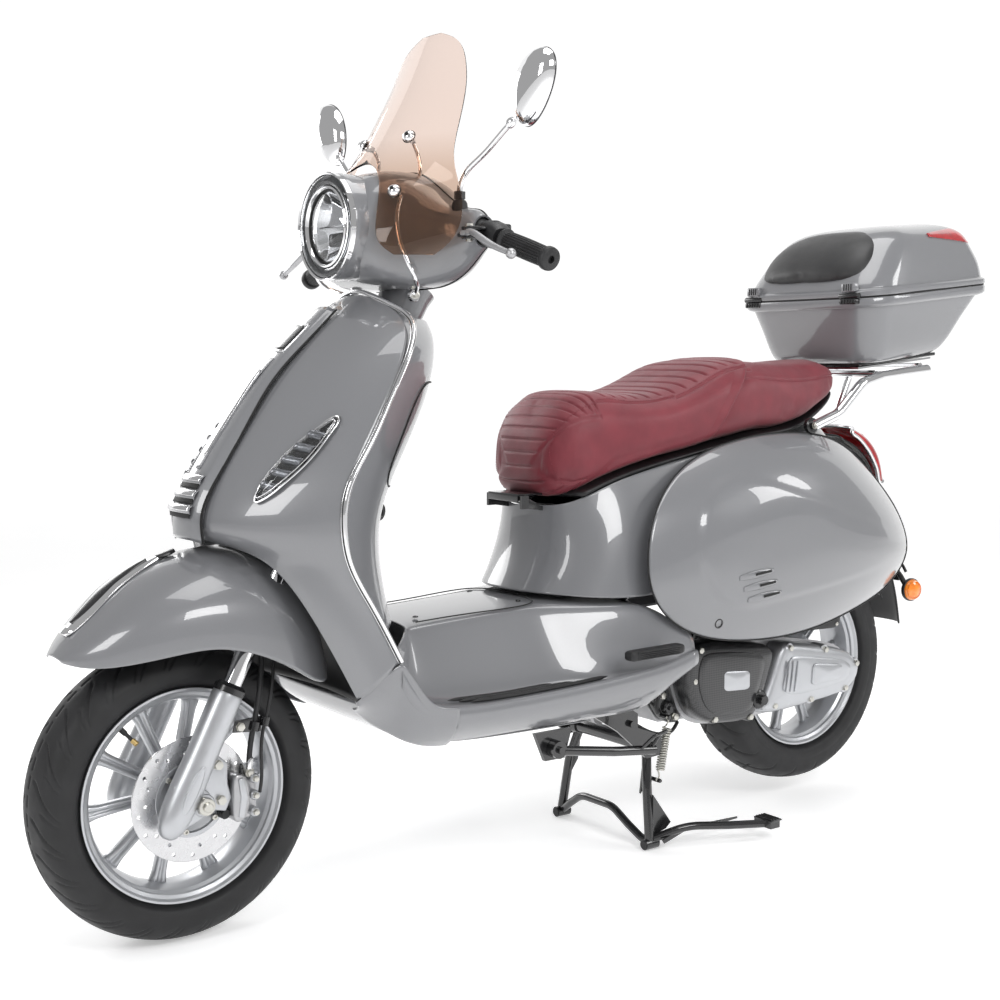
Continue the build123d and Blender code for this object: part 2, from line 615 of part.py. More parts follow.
CAL = (YF + 76, ZF - 4)
caliper = box((46, CAL[0] - 24, CAL[1] - 40), (88, CAL[0] + 26, CAL[1] + 40)) - box((57.4, YF - 10, CAL[1] - 60), (68.6, CAL[0] + 22, CAL[1] + 60))
caliper = caliper - box((40, YF, CAL[1] - 60), (57.4, CAL[0] - 2, CAL[1] + 60))
arm = plate([(YF + 20.2, ZF - 12), (CAL[0] - 24.2, CAL[1] - 18), (CAL[0] - 24.2, CAL[1] + 24), (YF + 21.0, ZF + 12)], 78, 87)
put("brake_caliper", caliper)
put("brake_caliper", arm)
HOSE = [(78, CAL[0] + 10, CAL[1] + 42), (82, -590, 300), (90, -582, 342), (90, -576, 380), (82, -570, 418), (70, -566, 450)]
hose = rod(HOSE, 4.2)
put("brake_hose", hose)
put("brake_caliper", box((78, -640, 318), (100, -572, 330)) - rod(HOSE, 4.5) - cyl(leg(280), leg(360), 24.1))

# Front fender: a saddle round the wheel, wide enough for the fork legs.
FEND = [
    # y, z on the ridge, half width, lower edge y, z
    (-866, 458, 30, -862, 452),
    (-846, 486, 62, -846, 447),
    (-818, 514, 92, -815, 448),
    (-779, 552, 118, -770, 456),
    (-730, 578, 134, -715, 466),
    (-680, 592, 140, -665, 470),
    (-630, 596, 141, -612, 458),
    (-580, 582, 140, -575, 444),
    (-544, 556, 136, -546, 422),
    (-518, 522, 130, -518, 402),
    (-501, 486, 124, -490, 394),
    (-492, 460, 116, -474, 399),
]
rows = []
for y, z, hw, ye, ze in FEND:
    rows.append([(0, y, z), (hw * 0.42, y + (ye - y) * 0.1, z - (z - ze) * 0.10), (hw * 0.76, y + (ye - y) * 0.3, z - (z - ze) * 0.32), (hw * 0.96, y + (ye - y) * 0.65, z - (z - ze) * 0.66), (hw, ye, ze)])
v, f = mirrored(rows)
fender = skin(v, [tuple(reversed(k)) for k in f], SKIN) if False else skin(v, f, SKIN)
for s in (1, -1):
    fender = fender - cyl(leg(300, s * LEG_X), leg(700, s * LEG_X), 17)
fender = fender - cyl(on_axis(540), on_axis(720), 22)
fender = fender - Plane(origin=on_axis(CROWN_Z, 33), z_dir=AX, x_dir=(1, 0, 0)) * Box(2 * LEG_X + 52, 122, 24)
put("front_fender", fender)
crest = []
for y, z, hw in ((-838, 503, 14), (-806, 536, 24), (-770, 566, 24), (-728, 587, 16), (-700, 594, 7)):
    crest.append([(0, y - 6, z + 6), (hw, y - 2, z + 3)])
v, f = mirrored(crest)

# ---------------------------------------------------------------- wheels ----
def rim(centre, w, hub_r, hub_w, bore, spokes, disc_face=None):
    """An alloy wheel turned about X with straight spokes."""
    b = w / 2
    prof = [(-b - 5, 165.5), (-b - 5, 161), (-b, 156), (-b + 9, 152), (-12, 143), (12, 143), (b - 9, 152), (b, 156), (b + 5, 161), (b + 5, 165.5),
            (b + 1, 165.5), (b - 1, 158), (b - 9, 156), (10, 147), (-10, 147), (-b + 9, 156), (-b + 1, 158), (-b - 1, 165.5)]
    barrel = turned(prof, centre)
    hub = turned([(-hub_w, bore), (hub_w, bore), (hub_w, hub_r), (-hub_w, hub_r)], centre)
    out = barrel + hub
    for k in range(spokes):
        a = 360 * k / spokes
        s = Pos(0, 0, (hub_r - 4 + 146) / 2) * Box(22, 15, 146 - hub_r + 4)
        out = out + s.moved(Location((0, 0, 0), (a, 0, 0))).moved(Location((0, centre[0], centre[1])))
    return out


def tyre(centre, r, w, b):
    h = w / 2
    prof = [(-(b - 9), 158), (-(b - 1.6), 159.4), (-(b + 0.2), 167.2), (-h + 2, 175), (-h, 190), (-h + 4, r - 24), (-h * 0.66, r - 8), (-h * 0.34, r - 2), (0, r), (h * 0.34, r - 2), (h * 0.66, r - 8), (h - 4, r - 24),
            (h, 190), (h - 2, 175), (b + 0.2, 167.2), (b - 1.6, 159.4), (b - 9, 158),
            (b - 9, 170), (h - 11, 180), (h - 13, r - 28), (h * 0.5, r - 17), (0, r - 13), (-h * 0.5, r - 17), (-h + 13, r - 28), (-h + 11, 180), (-(b - 9), 170)]
    return turned(prof, centre)


put("front_rim", rim((YF, ZF), 80, 34, 52, 7.55, 10))
put("front_tyre", tyre((YF, ZF), TYRE_R_F, TYRE_W_F, 40))
disc = turned([(61.0, 52), (65.0, 52), (65.0, 96), (61.0, 96)], (YF, ZF)) + turned([(52.1, 16), (58, 16), (61.0, 50), (65.0, 50), (65.0, 52), (61.0, 54), (58, 54), (52.1, 30)], (YF, ZF))
for k in range(12):
    a = 2 * math.pi * k / 12
    disc = disc - cyl((55, YF + 74 * math.cos(a), ZF + 74 * math.sin(a)), (75, YF + 74 * math.cos(a), ZF + 74 * math.sin(a)), 4)
put("brake_disc", disc)
put("rear_rim", rim((YR, ZR), 88, 62, 44, 9.05, 10))
put("rear_tyre", tyre((YR, ZR), TYRE_R_R, TYRE_W_R, 44))

# ---------------------------------------------------------------- engine ----
put("engine_case", cyl((-92, YR, ZR), (66, YR, ZR), 9.0), cyl((-100, YR, ZR), (-92, YR, ZR), 15))
case = plate([(276, 362), (268, 300), (300, 240), (440, 214), (700, 226), (738, 256), (740, 286), (700, 312), (560, 340), (400, 356)], 68, 100) - cyl((60, YR, ZR), (110, YR, ZR), 15)
crank = plate([(230, 344), (226, 262), (262, 214), (400, 208), (408, 290), (372, 352)], -88, 68)
put("engine_case", case + crank)
put("engine_case", pipe((-34, *ENGINE_PIVOT), (34, *ENGINE_PIVOT), 17, 6.05) + (plate([(162, 250), (228, 290), (225.9, 262), (166, 226)], -24, 24) - cyl((-40, *ENGINE_PIVOT), (40, *ENGINE_PIVOT), 8)))
put("engine_case", box((-70, 146, 296), (34, 225.8, 344)))
put("drive_cover_front", plate([(286, 372), (272, 352), (266, 290), (290, 236), (330, 212), (438, 204), (478, 268), (512, 346), (400, 360)], 101, 148))
put("drive_cover_rear", plate([(440, 205), (700, 222), (742, 250), (748, 280), (706, 314), (560, 342), (514, 347), (480, 268)], 101, 144))
put("airbox", loft_loops([[(68, 560, 362), (128, 560, 362), (128, 560, 420), (68, 560, 420)], [(68, 700, 350), (124, 700, 350), (124, 700, 420), (68, 700, 420)]]))
put("muffler", loft_loops([[(-166 + 44 * math.cos(a_ * math.pi / 6) * k_, y_, 262 + dz_ + 56 * math.sin(a_ * math.pi / 6) * k_) for a_ in range(12)] for y_, dz_, k_ in ((430, -6, 0.6), (470, 0, 1.0), (760, 40, 1.0), (800, 46, 0.55))]),
    rod([(-70.3, 190, 320), (-106, 190, 320), (-114, 262, 276), (-140, 350, 246), (-165, 429, 254)], 13, 40))

# ------------------------------------------------------------ rear shock ----
SH_TOP, SH_LOW = (-100.0, 690.0, 560.0), (-100.0, 652.0, 312.0)
sd = (vec(SH_TOP) - vec(SH_LOW)).normalized()
st, sl = vec(SH_TOP), vec(SH_LOW)

# ---------------------------------------------------------------- stands ----
leg_pts = lambda s: [(s * 98, STAND_PIVOT[0] + 2, STAND_PIVOT[1] - 14), (s * 112, 196, 120), (s * 128, 190, 12)]
stand = pipe((-104, *STAND_PIVOT), (104, *STAND_PIVOT), 14, 8.1)
for s in (1, -1):
    stand = stand + rod(leg_pts(s), 9, 120)
    stand = stand + cyl((s * 128, 176, 10), (s * 128, 206, 10), 10)
stand = stand + rod([(-124, 190, 14), (-96, 186, 34), (-60, 184, 58), (30, 184, 58), (76, 184, 34), (108, 188, 16), (124, 190, 14)], 7.5, 60)
stand = stand + rod([(130, 196, 18), (160, 250, 40), (190, 330, 34), (214, 404, 30)], 7.5, 120) + box((190, 396, 24), (232, 420, 37)) + plate([(196, 24), (196, 100), (240, 42), (228, 32)], 126, 130)
put("centre_stand", stand)

# Side stand, folded rearward along the left side.
SIDE_PIVOT = (168.0, -60.0, 232.0)
put("main_frame", plate([(-100, 262), (-20, 262), (-36, 212), (-78, 212)], 152, 160) - cyl((140, SIDE_PIVOT[1], SIDE_PIVOT[2]), (180, SIDE_PIVOT[1], SIDE_PIVOT[2]), 6.1))
put("main_frame", cyl((150, SIDE_PIVOT[1], SIDE_PIVOT[2]), (184, SIDE_PIVOT[1], SIDE_PIVOT[2]), 6.0))
side = pipe((161, SIDE_PIVOT[1], SIDE_PIVOT[2]), (178, SIDE_PIVOT[1], SIDE_PIVOT[2]), 15, 6.05)
side = side + (rod([(170, -48, 228), (180, 60, 212), (182, 150, 202)], 8.5, 200) - cyl((150, SIDE_PIVOT[1], SIDE_PIVOT[2]), (190, SIDE_PIVOT[1], SIDE_PIVOT[2]), 10))
side = side + rod([(182, 140, 203), (190, 158, 232), (208, 160, 240), (208, 128, 236), (190, 118, 214), (183, 112, 206)], 3.2, 12)
put("side_stand", side)

# Folding pillion footrests.
for s in (1, -1):
    n = "left_footrest" if s > 0 else "right_footrest"
    put(n, loft_loops([[(s * 233, 34, 386), (s * 233, 150, 388), (s * 233, 150, 400), (s * 233, 34, 398)][::s], [(s * 256, 42, 384), (s * 256, 146, 386), (s * 256, 146, 402), (s * 256, 42, 400)][::s]]))

# ------------------------------------------------------------ handlebar -----
BAR = [(0, -238, 1086), (172, -238, 1098), (354, -228, 1038)]
full_bar = [(-x, y, z) for x, y, z in reversed(BAR[1:])] + BAR[1:]
put("handlebar", rod(full_bar, 11, 110))
bar_dir = (vec(BAR[2]) - vec(BAR[1])).normalized()


def on_bar(x, s=1):
    u = (x - BAR[1][0]) / (BAR[2][0] - BAR[1][0])
    p = lerp(BAR[1], BAR[2], u)
    return (s * p[0], p[1], p[2])


put("left_grip", pipe(on_bar(252), on_bar(360), 16, 11.0) + pipe(on_bar(247), on_bar(252.5), 20, 11.0))
put("throttle_grip", pipe(on_bar(250, -1), on_bar(360, -1), 16.5, 11.1))
for s in (1, -1):
    perch = pipe(on_bar(210, s), on_bar(236, s), 18, 11.0)
    px, py, pz = on_bar(222, s)
    perch = perch + (box((px - 13, py - 52, pz - 8), (px + 13, py - 12, pz + 10)) - cyl(on_bar(190, s), on_bar(250, s), 12))
    perch = perch - box((px - 20, py - 60, pz - 4.3), (px + 20, py - 23, pz + 4.3))
    perch = perch - cyl((px, py - 42, pz - 20), (px, py - 42, pz + 20), 3.55)
    put("lever_perches", perch)
    put("lever_perches", cyl((px, py - 42, pz - 9), (px, py - 42, pz + 11), 3.5))
    lev = box((px - 10, py - 54, pz - 4), (px + 10, py - 31, pz + 4)) - cyl((px, py - 42, pz - 20), (px, py - 42, pz + 20), 3.55)
    lever_tip = on_bar(346, s)
    tip = (lever_tip[0], lever_tip[1] - 62, lever_tip[2] + 2)
    mid = ((px + tip[0]) / 2 + s * 6, tip[1] - 4, (pz + tip[2]) / 2 + 1)
    lev = lev + rod([(px + s * 4, py - 49, pz), (px + s * 24, py - 56, pz - 0.5), mid, tip], 4) + Pos(*tip) * Sphere(8)
    if s > 0:
        put("left_lever", lev)
        put("right_lever", lev.mirror(Plane.YZ))
# switch housings, with a button each
for s in (1, -1):
    px, py, pz = on_bar(222, s)
    hs = (box((px - 15, py + 8, pz - 16), (px + 15, py + 30, pz + 16)) - cyl(on_bar(180, s), on_bar(260, s), 18.3)) - cyl((px, py + 16, pz), (px, py + 40, pz), 6.1)
    put("lever_perches", hs)
    put("horn_button" if s > 0 else "starter_button", cyl((px, py + 25, pz), (px, py + 34, pz), 6.0))

# ---------------------------------------------------------- head shell ------
HEAD_SEC = [(204, -258, -214, 1062, 1112, 2.0), (184, -260, -208, 1052, 1122, 2.2), (150, -280, -199, 1028, 1128, 2.3), (112, -330, -186, 1008, 1150, 2.4), (86, -372, -176, 1003, 1172, 2.5),
            (52, -388, -170, 1002, 1188, 2.5), (0, -390, -168, 1001, 1194, 2.5)]
loops = [ring_yz(*h[:5], e=h[5]) for h in HEAD_SEC] + [ring_yz(-h[0], *h[1:5], e=h[5]) for h in reversed(HEAD_SEC[:-1])]
head = loop_skin([list(reversed(l)) for l in loops], 3)
HL = (0, -388, 1100)
head = head - cyl((0, -440, 1100 + 2), (0, -340, 1100), 80)
head = head - cyl(on_axis(960), on_axis(1030), 24)
head = head - cyl((0, -200, 1130), (0, -150, 1150), 44)
for s in (1, -1):
    head = head - cyl((s * 152, -246, 1090), (s * 152, -246, 1150), 7.2)
put("head_shell", head)
put("headlight_body", turned([(-14, 70), (16, 70), (16, 79), (6, 86), (-14, 79)], (0, 0)).moved(Location((0, 0, 0), (0, 0, 90))).moved(Location((0, -394, 1100))))
refl = []
for y, r in ((-386, 68), (-360, 60), (-334, 34), (-324, 14)):
    refl.append([(r * math.cos(2 * math.pi * k / 16), y, 1100 + r * math.sin(2 * math.pi * k / 16)) for k in range(16)])
put("headlight_body", loop_skin(refl, 2, cap_last=True))
put("headlight_lens", cyl((0, -400, 1100), (0, -396, 1100), 69.6))
put("head_shell", cyl((0, -196, 1129), (0, -168, 1141.4), 42.5) - cyl((0, -172, 1139.6), (0, -160, 1144.4), 39))
put("head_shell", pipe(on_axis(952), on_axis(990), 40, 34))
put("handlebar", pipe(on_axis(1030), on_axis(1068), 22, 14.0) - rod(full_bar, 11.0, 110))

# Windscreen: a curved sheet with a notch over the headlight.
SCREEN = [
    # z, x_in, y_in, x_out, y_out
    (1424, 0, -198, 28, -196), (1412, 0, -204, 66, -195), (1395, 0, -211, 88, -196), (1372, 0, -222, 102, -199), (1333, 0, -242, 119, -208), (1286, 0, -270, 134, -228), (1240, 0, -300, 141, -246),
    (1214, 0, -322, 148, -256), (1186, 62, -340, 162, -262), (1160, 84, -352, 180, -266), (1128, 100, -366, 196, -270), (1096, 108, -376, 199, -276), (1068, 114, -378, 188, -288), (1050, 134, -358, 168, -306),
]
rows = []
for z, xi, yi, xo, yo in SCREEN:
    row = []
    for k in range(7):
        u = k / 6
        x = xi + (xo - xi) * u
        w = u * u if xi == 0 else (u * (0.55 + 0.45 * u))
        row.append((x, yi + (yo - yi) * w, z))
    rows.append(row)
v, f = mirrored(rows)
put("windscreen", skin(v, f, 3))
for s in (1, -1):
    put("screen_rods", rod([(s * 150, -318, 1036), (s * 132, -318, 1008), (s * 112, -304, 990), (s * 84, -294, 984), (s * 66, -290, 992)], 3.5, 14))

# Mirrors: bent stems, ball joints, teardrop heads.
for s in (1, -1):
    put("mirror_stems", rod([(s * 152, -246, 1113), (s * 152, -246, 1160), (s * 196, -234, 1204), (s * 262, -222, 1252)], 4.6, 26) + Pos(s * 262, -222, 1252) * Sphere(6.0),
        pipe((s * 152, -246, 1136), (s * 152, -246, 1146), 10, 4.65))
    MC = (s * 300, -216, 1292)
    tear = []
    for k, (y, sc) in enumerate(((-234, 0.55), (-228, 0.86), (-216, 1.0), (-211, 1.0))):
        lp = []
        for j in range(16):
            a = 2 * math.pi * j / 16
            rx, rz = 50 * math.cos(a), 56 * math.sin(a)
            lean = -0.28 * rz
            lp.append((s * (300 + rx * sc * (0.86 + 0.14 * math.sin(a)) + 0.3 * rz * sc), y, 1296 + rz * sc))
        tear.append(lp)
    head_ = loft_loops(tear if s < 0 else [list(reversed(l)) for l in tear])
    shell_ = head_ - Pos(s * 262, -222, 1252) * Sphere(6.5) - cyl((s * 262, -222, 1252), (s * 196, -234, 1204), 10)
    glass = Pos(0, 0, 0) * loft_loops([[(p[0] * 1.0, -210.6, p[2]) for p in [(MC[0] + (q[0] - MC[0]) * 0.9, 0, 1296 + (q[2] - 1296) * 0.9) for q in tear[3]]][::(1 if s < 0 else -1)],
                                       [(p[0], -208.2, p[2]) for p in [(MC[0] + (q[0] - MC[0]) * 0.9, 0, 1296 + (q[2] - 1296) * 0.9) for q in tear[3]]][::(1 if s < 0 else -1)]])
    put("left_mirror" if s > 0 else "right_mirror", shell_)
    put("left_mirror" if s > 0 else "right_mirror", glass)

# ---------------------------------------------------------------- shock -----
put("shock_body", cyl(st - sd * 106, st - sd * 14, 17) + cyl(st + Vector(-14, 0, 0), st + Vector(14, 0, 0), 11) - cyl(st - sd * 120, st - sd * 30, 6.4))
put("shock_rod", cyl(sl + sd * 8, sl + sd * 168, 6) + cyl(sl + Vector(-13, 0, 0), sl + Vector(13, 0, 0), 10))

if __name__ == "__main__":
    for name, solids in nodes.items():
        shape = solids[0] if len(solids) == 1 else Compound(children=solids)
        export_step(shape, f"parts/{name}.step")
    lo = [min(tuple(s.bounding_box().min)[k] for g in nodes.values() for s in g) for k in range(3)]
    hi = [max(tuple(s.bounding_box().max)[k] for g in nodes.values() for s in g) for k in range(3)]
    print(len(nodes), "nodes", [round(v, 2) for v in lo], [round(v, 2) for v in hi])
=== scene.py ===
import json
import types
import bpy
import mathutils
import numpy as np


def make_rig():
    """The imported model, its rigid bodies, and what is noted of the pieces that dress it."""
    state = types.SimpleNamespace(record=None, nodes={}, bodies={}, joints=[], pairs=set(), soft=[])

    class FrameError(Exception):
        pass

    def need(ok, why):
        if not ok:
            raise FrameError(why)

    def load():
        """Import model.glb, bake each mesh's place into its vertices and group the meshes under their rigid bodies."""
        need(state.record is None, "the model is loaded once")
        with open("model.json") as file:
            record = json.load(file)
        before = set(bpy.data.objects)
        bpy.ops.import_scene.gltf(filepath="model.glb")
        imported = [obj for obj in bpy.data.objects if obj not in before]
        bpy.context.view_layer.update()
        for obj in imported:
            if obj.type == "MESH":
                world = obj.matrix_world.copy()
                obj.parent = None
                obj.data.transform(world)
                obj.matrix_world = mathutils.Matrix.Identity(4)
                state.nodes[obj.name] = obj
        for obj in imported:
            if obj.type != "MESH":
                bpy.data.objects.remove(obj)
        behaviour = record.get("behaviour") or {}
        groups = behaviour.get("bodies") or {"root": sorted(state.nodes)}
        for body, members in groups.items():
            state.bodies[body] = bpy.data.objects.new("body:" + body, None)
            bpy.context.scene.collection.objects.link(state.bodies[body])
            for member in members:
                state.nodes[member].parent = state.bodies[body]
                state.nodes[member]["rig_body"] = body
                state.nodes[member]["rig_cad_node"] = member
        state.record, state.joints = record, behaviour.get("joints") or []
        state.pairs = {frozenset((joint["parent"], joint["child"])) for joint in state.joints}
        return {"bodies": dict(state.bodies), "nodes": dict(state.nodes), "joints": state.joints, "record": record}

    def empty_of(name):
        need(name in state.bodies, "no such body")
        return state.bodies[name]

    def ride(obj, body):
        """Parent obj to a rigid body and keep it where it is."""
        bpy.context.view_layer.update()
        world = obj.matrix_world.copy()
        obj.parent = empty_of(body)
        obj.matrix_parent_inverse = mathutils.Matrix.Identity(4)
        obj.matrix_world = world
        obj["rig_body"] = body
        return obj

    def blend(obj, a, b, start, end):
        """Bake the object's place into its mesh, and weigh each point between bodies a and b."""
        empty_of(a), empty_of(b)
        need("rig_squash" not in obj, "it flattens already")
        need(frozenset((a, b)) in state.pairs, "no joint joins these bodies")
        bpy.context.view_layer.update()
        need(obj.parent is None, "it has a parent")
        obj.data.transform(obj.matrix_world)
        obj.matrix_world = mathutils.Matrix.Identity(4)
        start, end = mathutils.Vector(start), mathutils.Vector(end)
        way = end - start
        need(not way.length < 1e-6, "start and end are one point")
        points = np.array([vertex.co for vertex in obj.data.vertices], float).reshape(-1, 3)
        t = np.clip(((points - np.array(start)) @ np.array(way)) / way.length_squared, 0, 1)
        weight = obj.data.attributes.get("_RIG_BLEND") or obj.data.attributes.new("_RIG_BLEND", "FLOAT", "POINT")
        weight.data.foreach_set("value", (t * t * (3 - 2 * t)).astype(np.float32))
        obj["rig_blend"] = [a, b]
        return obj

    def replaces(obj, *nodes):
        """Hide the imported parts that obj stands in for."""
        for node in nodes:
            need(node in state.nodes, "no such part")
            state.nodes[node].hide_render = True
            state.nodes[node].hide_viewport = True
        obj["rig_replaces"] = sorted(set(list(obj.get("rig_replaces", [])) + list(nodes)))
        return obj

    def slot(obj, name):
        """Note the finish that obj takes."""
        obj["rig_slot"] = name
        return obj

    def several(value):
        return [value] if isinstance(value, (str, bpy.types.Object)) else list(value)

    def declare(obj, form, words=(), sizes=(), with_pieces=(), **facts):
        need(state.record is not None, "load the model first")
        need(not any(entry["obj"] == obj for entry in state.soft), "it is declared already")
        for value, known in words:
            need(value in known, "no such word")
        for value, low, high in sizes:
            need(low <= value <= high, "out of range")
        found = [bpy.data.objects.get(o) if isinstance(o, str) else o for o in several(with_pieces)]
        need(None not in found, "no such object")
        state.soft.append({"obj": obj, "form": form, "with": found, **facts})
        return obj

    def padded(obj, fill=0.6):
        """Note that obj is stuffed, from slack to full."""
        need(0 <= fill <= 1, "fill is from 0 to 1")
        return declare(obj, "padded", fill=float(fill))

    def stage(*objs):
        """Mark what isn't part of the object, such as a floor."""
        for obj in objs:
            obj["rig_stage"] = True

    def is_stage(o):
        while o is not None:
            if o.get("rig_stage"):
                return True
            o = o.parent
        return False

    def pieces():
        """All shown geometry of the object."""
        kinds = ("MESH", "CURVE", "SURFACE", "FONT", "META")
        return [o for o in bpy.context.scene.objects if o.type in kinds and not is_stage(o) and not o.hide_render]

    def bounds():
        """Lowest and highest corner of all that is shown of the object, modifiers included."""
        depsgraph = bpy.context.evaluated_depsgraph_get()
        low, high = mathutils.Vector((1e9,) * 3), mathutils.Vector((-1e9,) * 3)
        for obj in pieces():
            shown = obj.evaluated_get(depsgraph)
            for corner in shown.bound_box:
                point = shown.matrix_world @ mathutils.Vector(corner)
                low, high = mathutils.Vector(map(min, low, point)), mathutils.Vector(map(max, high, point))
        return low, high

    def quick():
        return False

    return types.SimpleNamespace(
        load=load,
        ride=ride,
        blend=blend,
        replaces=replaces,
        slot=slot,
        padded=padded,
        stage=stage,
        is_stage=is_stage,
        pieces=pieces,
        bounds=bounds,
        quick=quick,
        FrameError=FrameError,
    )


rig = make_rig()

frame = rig.load()

import json
import math
import random

import bmesh
import bpy
import numpy as np
from mathutils import Matrix, Vector

CAD_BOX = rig.bounds()
scene = bpy.context.scene
SHIFT = 116.0          # the drawing's y is 116 mm ahead of the frame's y
random.seed(7)

# ------------------------------------------------------------- materials ---
def new_mat(name):
    m = bpy.data.materials.new(name)
    m.use_nodes = True
    nt = m.node_tree
    return m, nt, nt.nodes["Principled BSDF"]


def node(nt, kind, **inputs):
    n = nt.nodes.new(kind)
    for k, v in inputs.items():
        n.inputs[k.replace("_", " ")].default_value = v
    return n


def add_noise_bump(nt, b, scale, strength, distance, detail=3.0, kind="ShaderNodeTexNoise", socket="Normal", coord="Object"):
    tc = nt.nodes.new("ShaderNodeTexCoord")
    tex = nt.nodes.new(kind)
    tex.inputs["Scale"].default_value = scale
    if "Detail" in tex.inputs:
        tex.inputs["Detail"].default_value = detail
    nt.links.new(tc.outputs[coord], tex.inputs["Vector"])
    bump = nt.nodes.new("ShaderNodeBump")
    bump.inputs["Strength"].default_value = strength
    bump.inputs["Distance"].default_value = distance
    out = tex.outputs["Fac"] if "Fac" in tex.outputs else tex.outputs["Distance"]
    nt.links.new(out, bump.inputs["Height"])
    nt.links.new(bump.outputs["Normal"], b.inputs[socket])
    return tex, bump


def vary(nt, b, c0, c1, scale, detail=4.0, lo=0.35, hi=0.65, target="Base Color"):
    tc = nt.nodes.new("ShaderNodeTexCoord")
    tex = nt.nodes.new("ShaderNodeTexNoise")
    tex.inputs["Scale"].default_value = scale
    tex.inputs["Detail"].default_value = detail
    nt.links.new(tc.outputs["Object"], tex.inputs["Vector"])
    ramp = nt.nodes.new("ShaderNodeValToRGB")
    ramp.color_ramp.elements[0].position = lo
    ramp.color_ramp.elements[1].position = hi
    ramp.color_ramp.elements[0].color = (*c0, 1)
    ramp.color_ramp.elements[1].color = (*c1, 1)
    nt.links.new(tex.outputs["Fac"], ramp.inputs["Fac"])
    nt.links.new(ramp.outputs["Color"], b.inputs[target])
    return ramp


def vary_rough(nt, b, r0, r1, scale):
    tc = nt.nodes.new("ShaderNodeTexCoord")
    tex = nt.nodes.new("ShaderNodeTexNoise")
    tex.inputs["Scale"].default_value = scale
    tex.inputs["Detail"].default_value = 5.0
    nt.links.new(tc.outputs["Object"], tex.inputs["Vector"])
    mr = nt.nodes.new("ShaderNodeMapRange")
    mr.inputs["From Min"].default_value = 0.3
    mr.inputs["From Max"].default_value = 0.7
    mr.inputs["To Min"].default_value = r0
    mr.inputs["To Max"].default_value = r1
    nt.links.new(tex.outputs["Fac"], mr.inputs["Value"])
    nt.links.new(mr.outputs["Result"], b.inputs["Roughness"])


MATS = {}


def paint(name, col, rough=0.3, coat=1.0):
    m, nt, b = new_mat(name)
    k = [c * 0.93 for c in col]
    vary(nt, b, k, col, 1400.0, 2.0)
    b.inputs["Roughness"].default_value = rough
    b.inputs["Coat Weight"].default_value = coat
    b.inputs["Coat Roughness"].default_value = 0.015
    b.inputs["Coat IOR"].default_value = 1.6
    tex, bump = add_noise_bump(nt, b, 900.0, 0.02, 0.0002, socket="Normal")
    MATS[name] = m
    return m


def plain(name, col, rough, metal=0.0, bump=None, var=None, coat=0.0, rough2=None, spec=0.5):
    m, nt, b = new_mat(name)
    b.inputs["Base Color"].default_value = (*col, 1)
    b.inputs["Roughness"].default_value = rough
    b.inputs["Metallic"].default_value = metal
    b.inputs["Specular IOR Level"].default_value = spec
    if coat:
        b.inputs["Coat Weight"].default_value = coat
        b.inputs["Coat Roughness"].default_value = 0.05
    if var:
        vary(nt, b, [c * (1 - var[0]) for c in col], [min(1, c * (1 + var[0])) for c in col], var[1])
    if rough2 is not None:
        vary_rough(nt, b, rough, rough2, 60.0)
    if bump:
        add_noise_bump(nt, b, *bump)
    MATS[name] = m
    return m


paint("body_grey", (0.192, 0.195, 0.206))
plain("chrome", (0.86, 0.86, 0.87), 0.03, 1.0, rough2=0.07)
plain("chrome_soft", (0.80, 0.80, 0.81), 0.10, 1.0, rough2=0.18)
plain("silver_alloy", (0.50, 0.51, 0.53), 0.32, 0.75, bump=(1800.0, 0.06, 0.0003), rough2=0.40, coat=0.35)
plain("raw_alloy", (0.46, 0.46, 0.47), 0.36, 0.9, bump=(900.0, 0.22, 0.0005), rough2=0.52)
plain("brake_steel", (0.62, 0.62, 0.63), 0.20, 1.0, rough2=0.34)
plain("black_steel", (0.013, 0.013, 0.014), 0.20, 0.0, bump=(300.0, 0.06, 0.0004), coat=0.7)
plain("black_plastic", (0.010, 0.010, 0.011), 0.42, 0.0, bump=(2600.0, 0.14, 0.0002), var=(0.25, 40.0))
plain("satin_black", (0.012, 0.012, 0.013), 0.26, 0.0, bump=(1600.0, 0.05, 0.0002), var=(0.2, 60.0), coat=0.3)
plain("rubber", (0.011, 0.011, 0.012), 0.50, 0.0, bump=(1500.0, 0.16, 0.0002), var=(0.25, 50.0))
plain("tyre", (0.010, 0.010, 0.011), 0.52, 0.0, bump=(900.0, 0.12, 0.0003), var=(0.30, 30.0), rough2=0.66)
# near-black: painted shade standing in for the shade inside gaps, seams, slots and sockets, and also the real black of
# the seals, the headlight gasket and the switch rocker
plain("dark_gap", (0.004, 0.004, 0.004), 0.6, 0.0, bump=(900.0, 0.05, 0.0002))
plain("mirror_silver", (0.93, 0.93, 0.94), 0.01, 1.0, bump=(8.0, 0.01, 0.0001))
plain("amber_lens", (0.95, 0.25, 0.02), 0.08, 0.0, bump=(500.0, 0.2, 0.0006), coat=1.0, var=(0.12, 90.0))
plain("red_lens", (0.42, 0.008, 0.012), 0.06, 0.0, bump=(260.0, 0.3, 0.0008), coat=1.0, var=(0.2, 50.0))
plain("bearing_steel", (0.6, 0.6, 0.62), 0.25, 1.0, rough2=0.35)
plain("zinc", (0.55, 0.54, 0.50), 0.25, 1.0, rough2=0.4)
plain("led_panel", (0.16, 0.165, 0.18), 0.18, 0.55, bump=(1100.0, 0.35, 0.0006), coat=0.6)
plain("brass", (0.72, 0.52, 0.22), 0.3, 1.0, rough2=0.42)
plain("bare_tank", (0.03, 0.03, 0.032), 0.35, 0.0, bump=(200.0, 0.1, 0.0004))


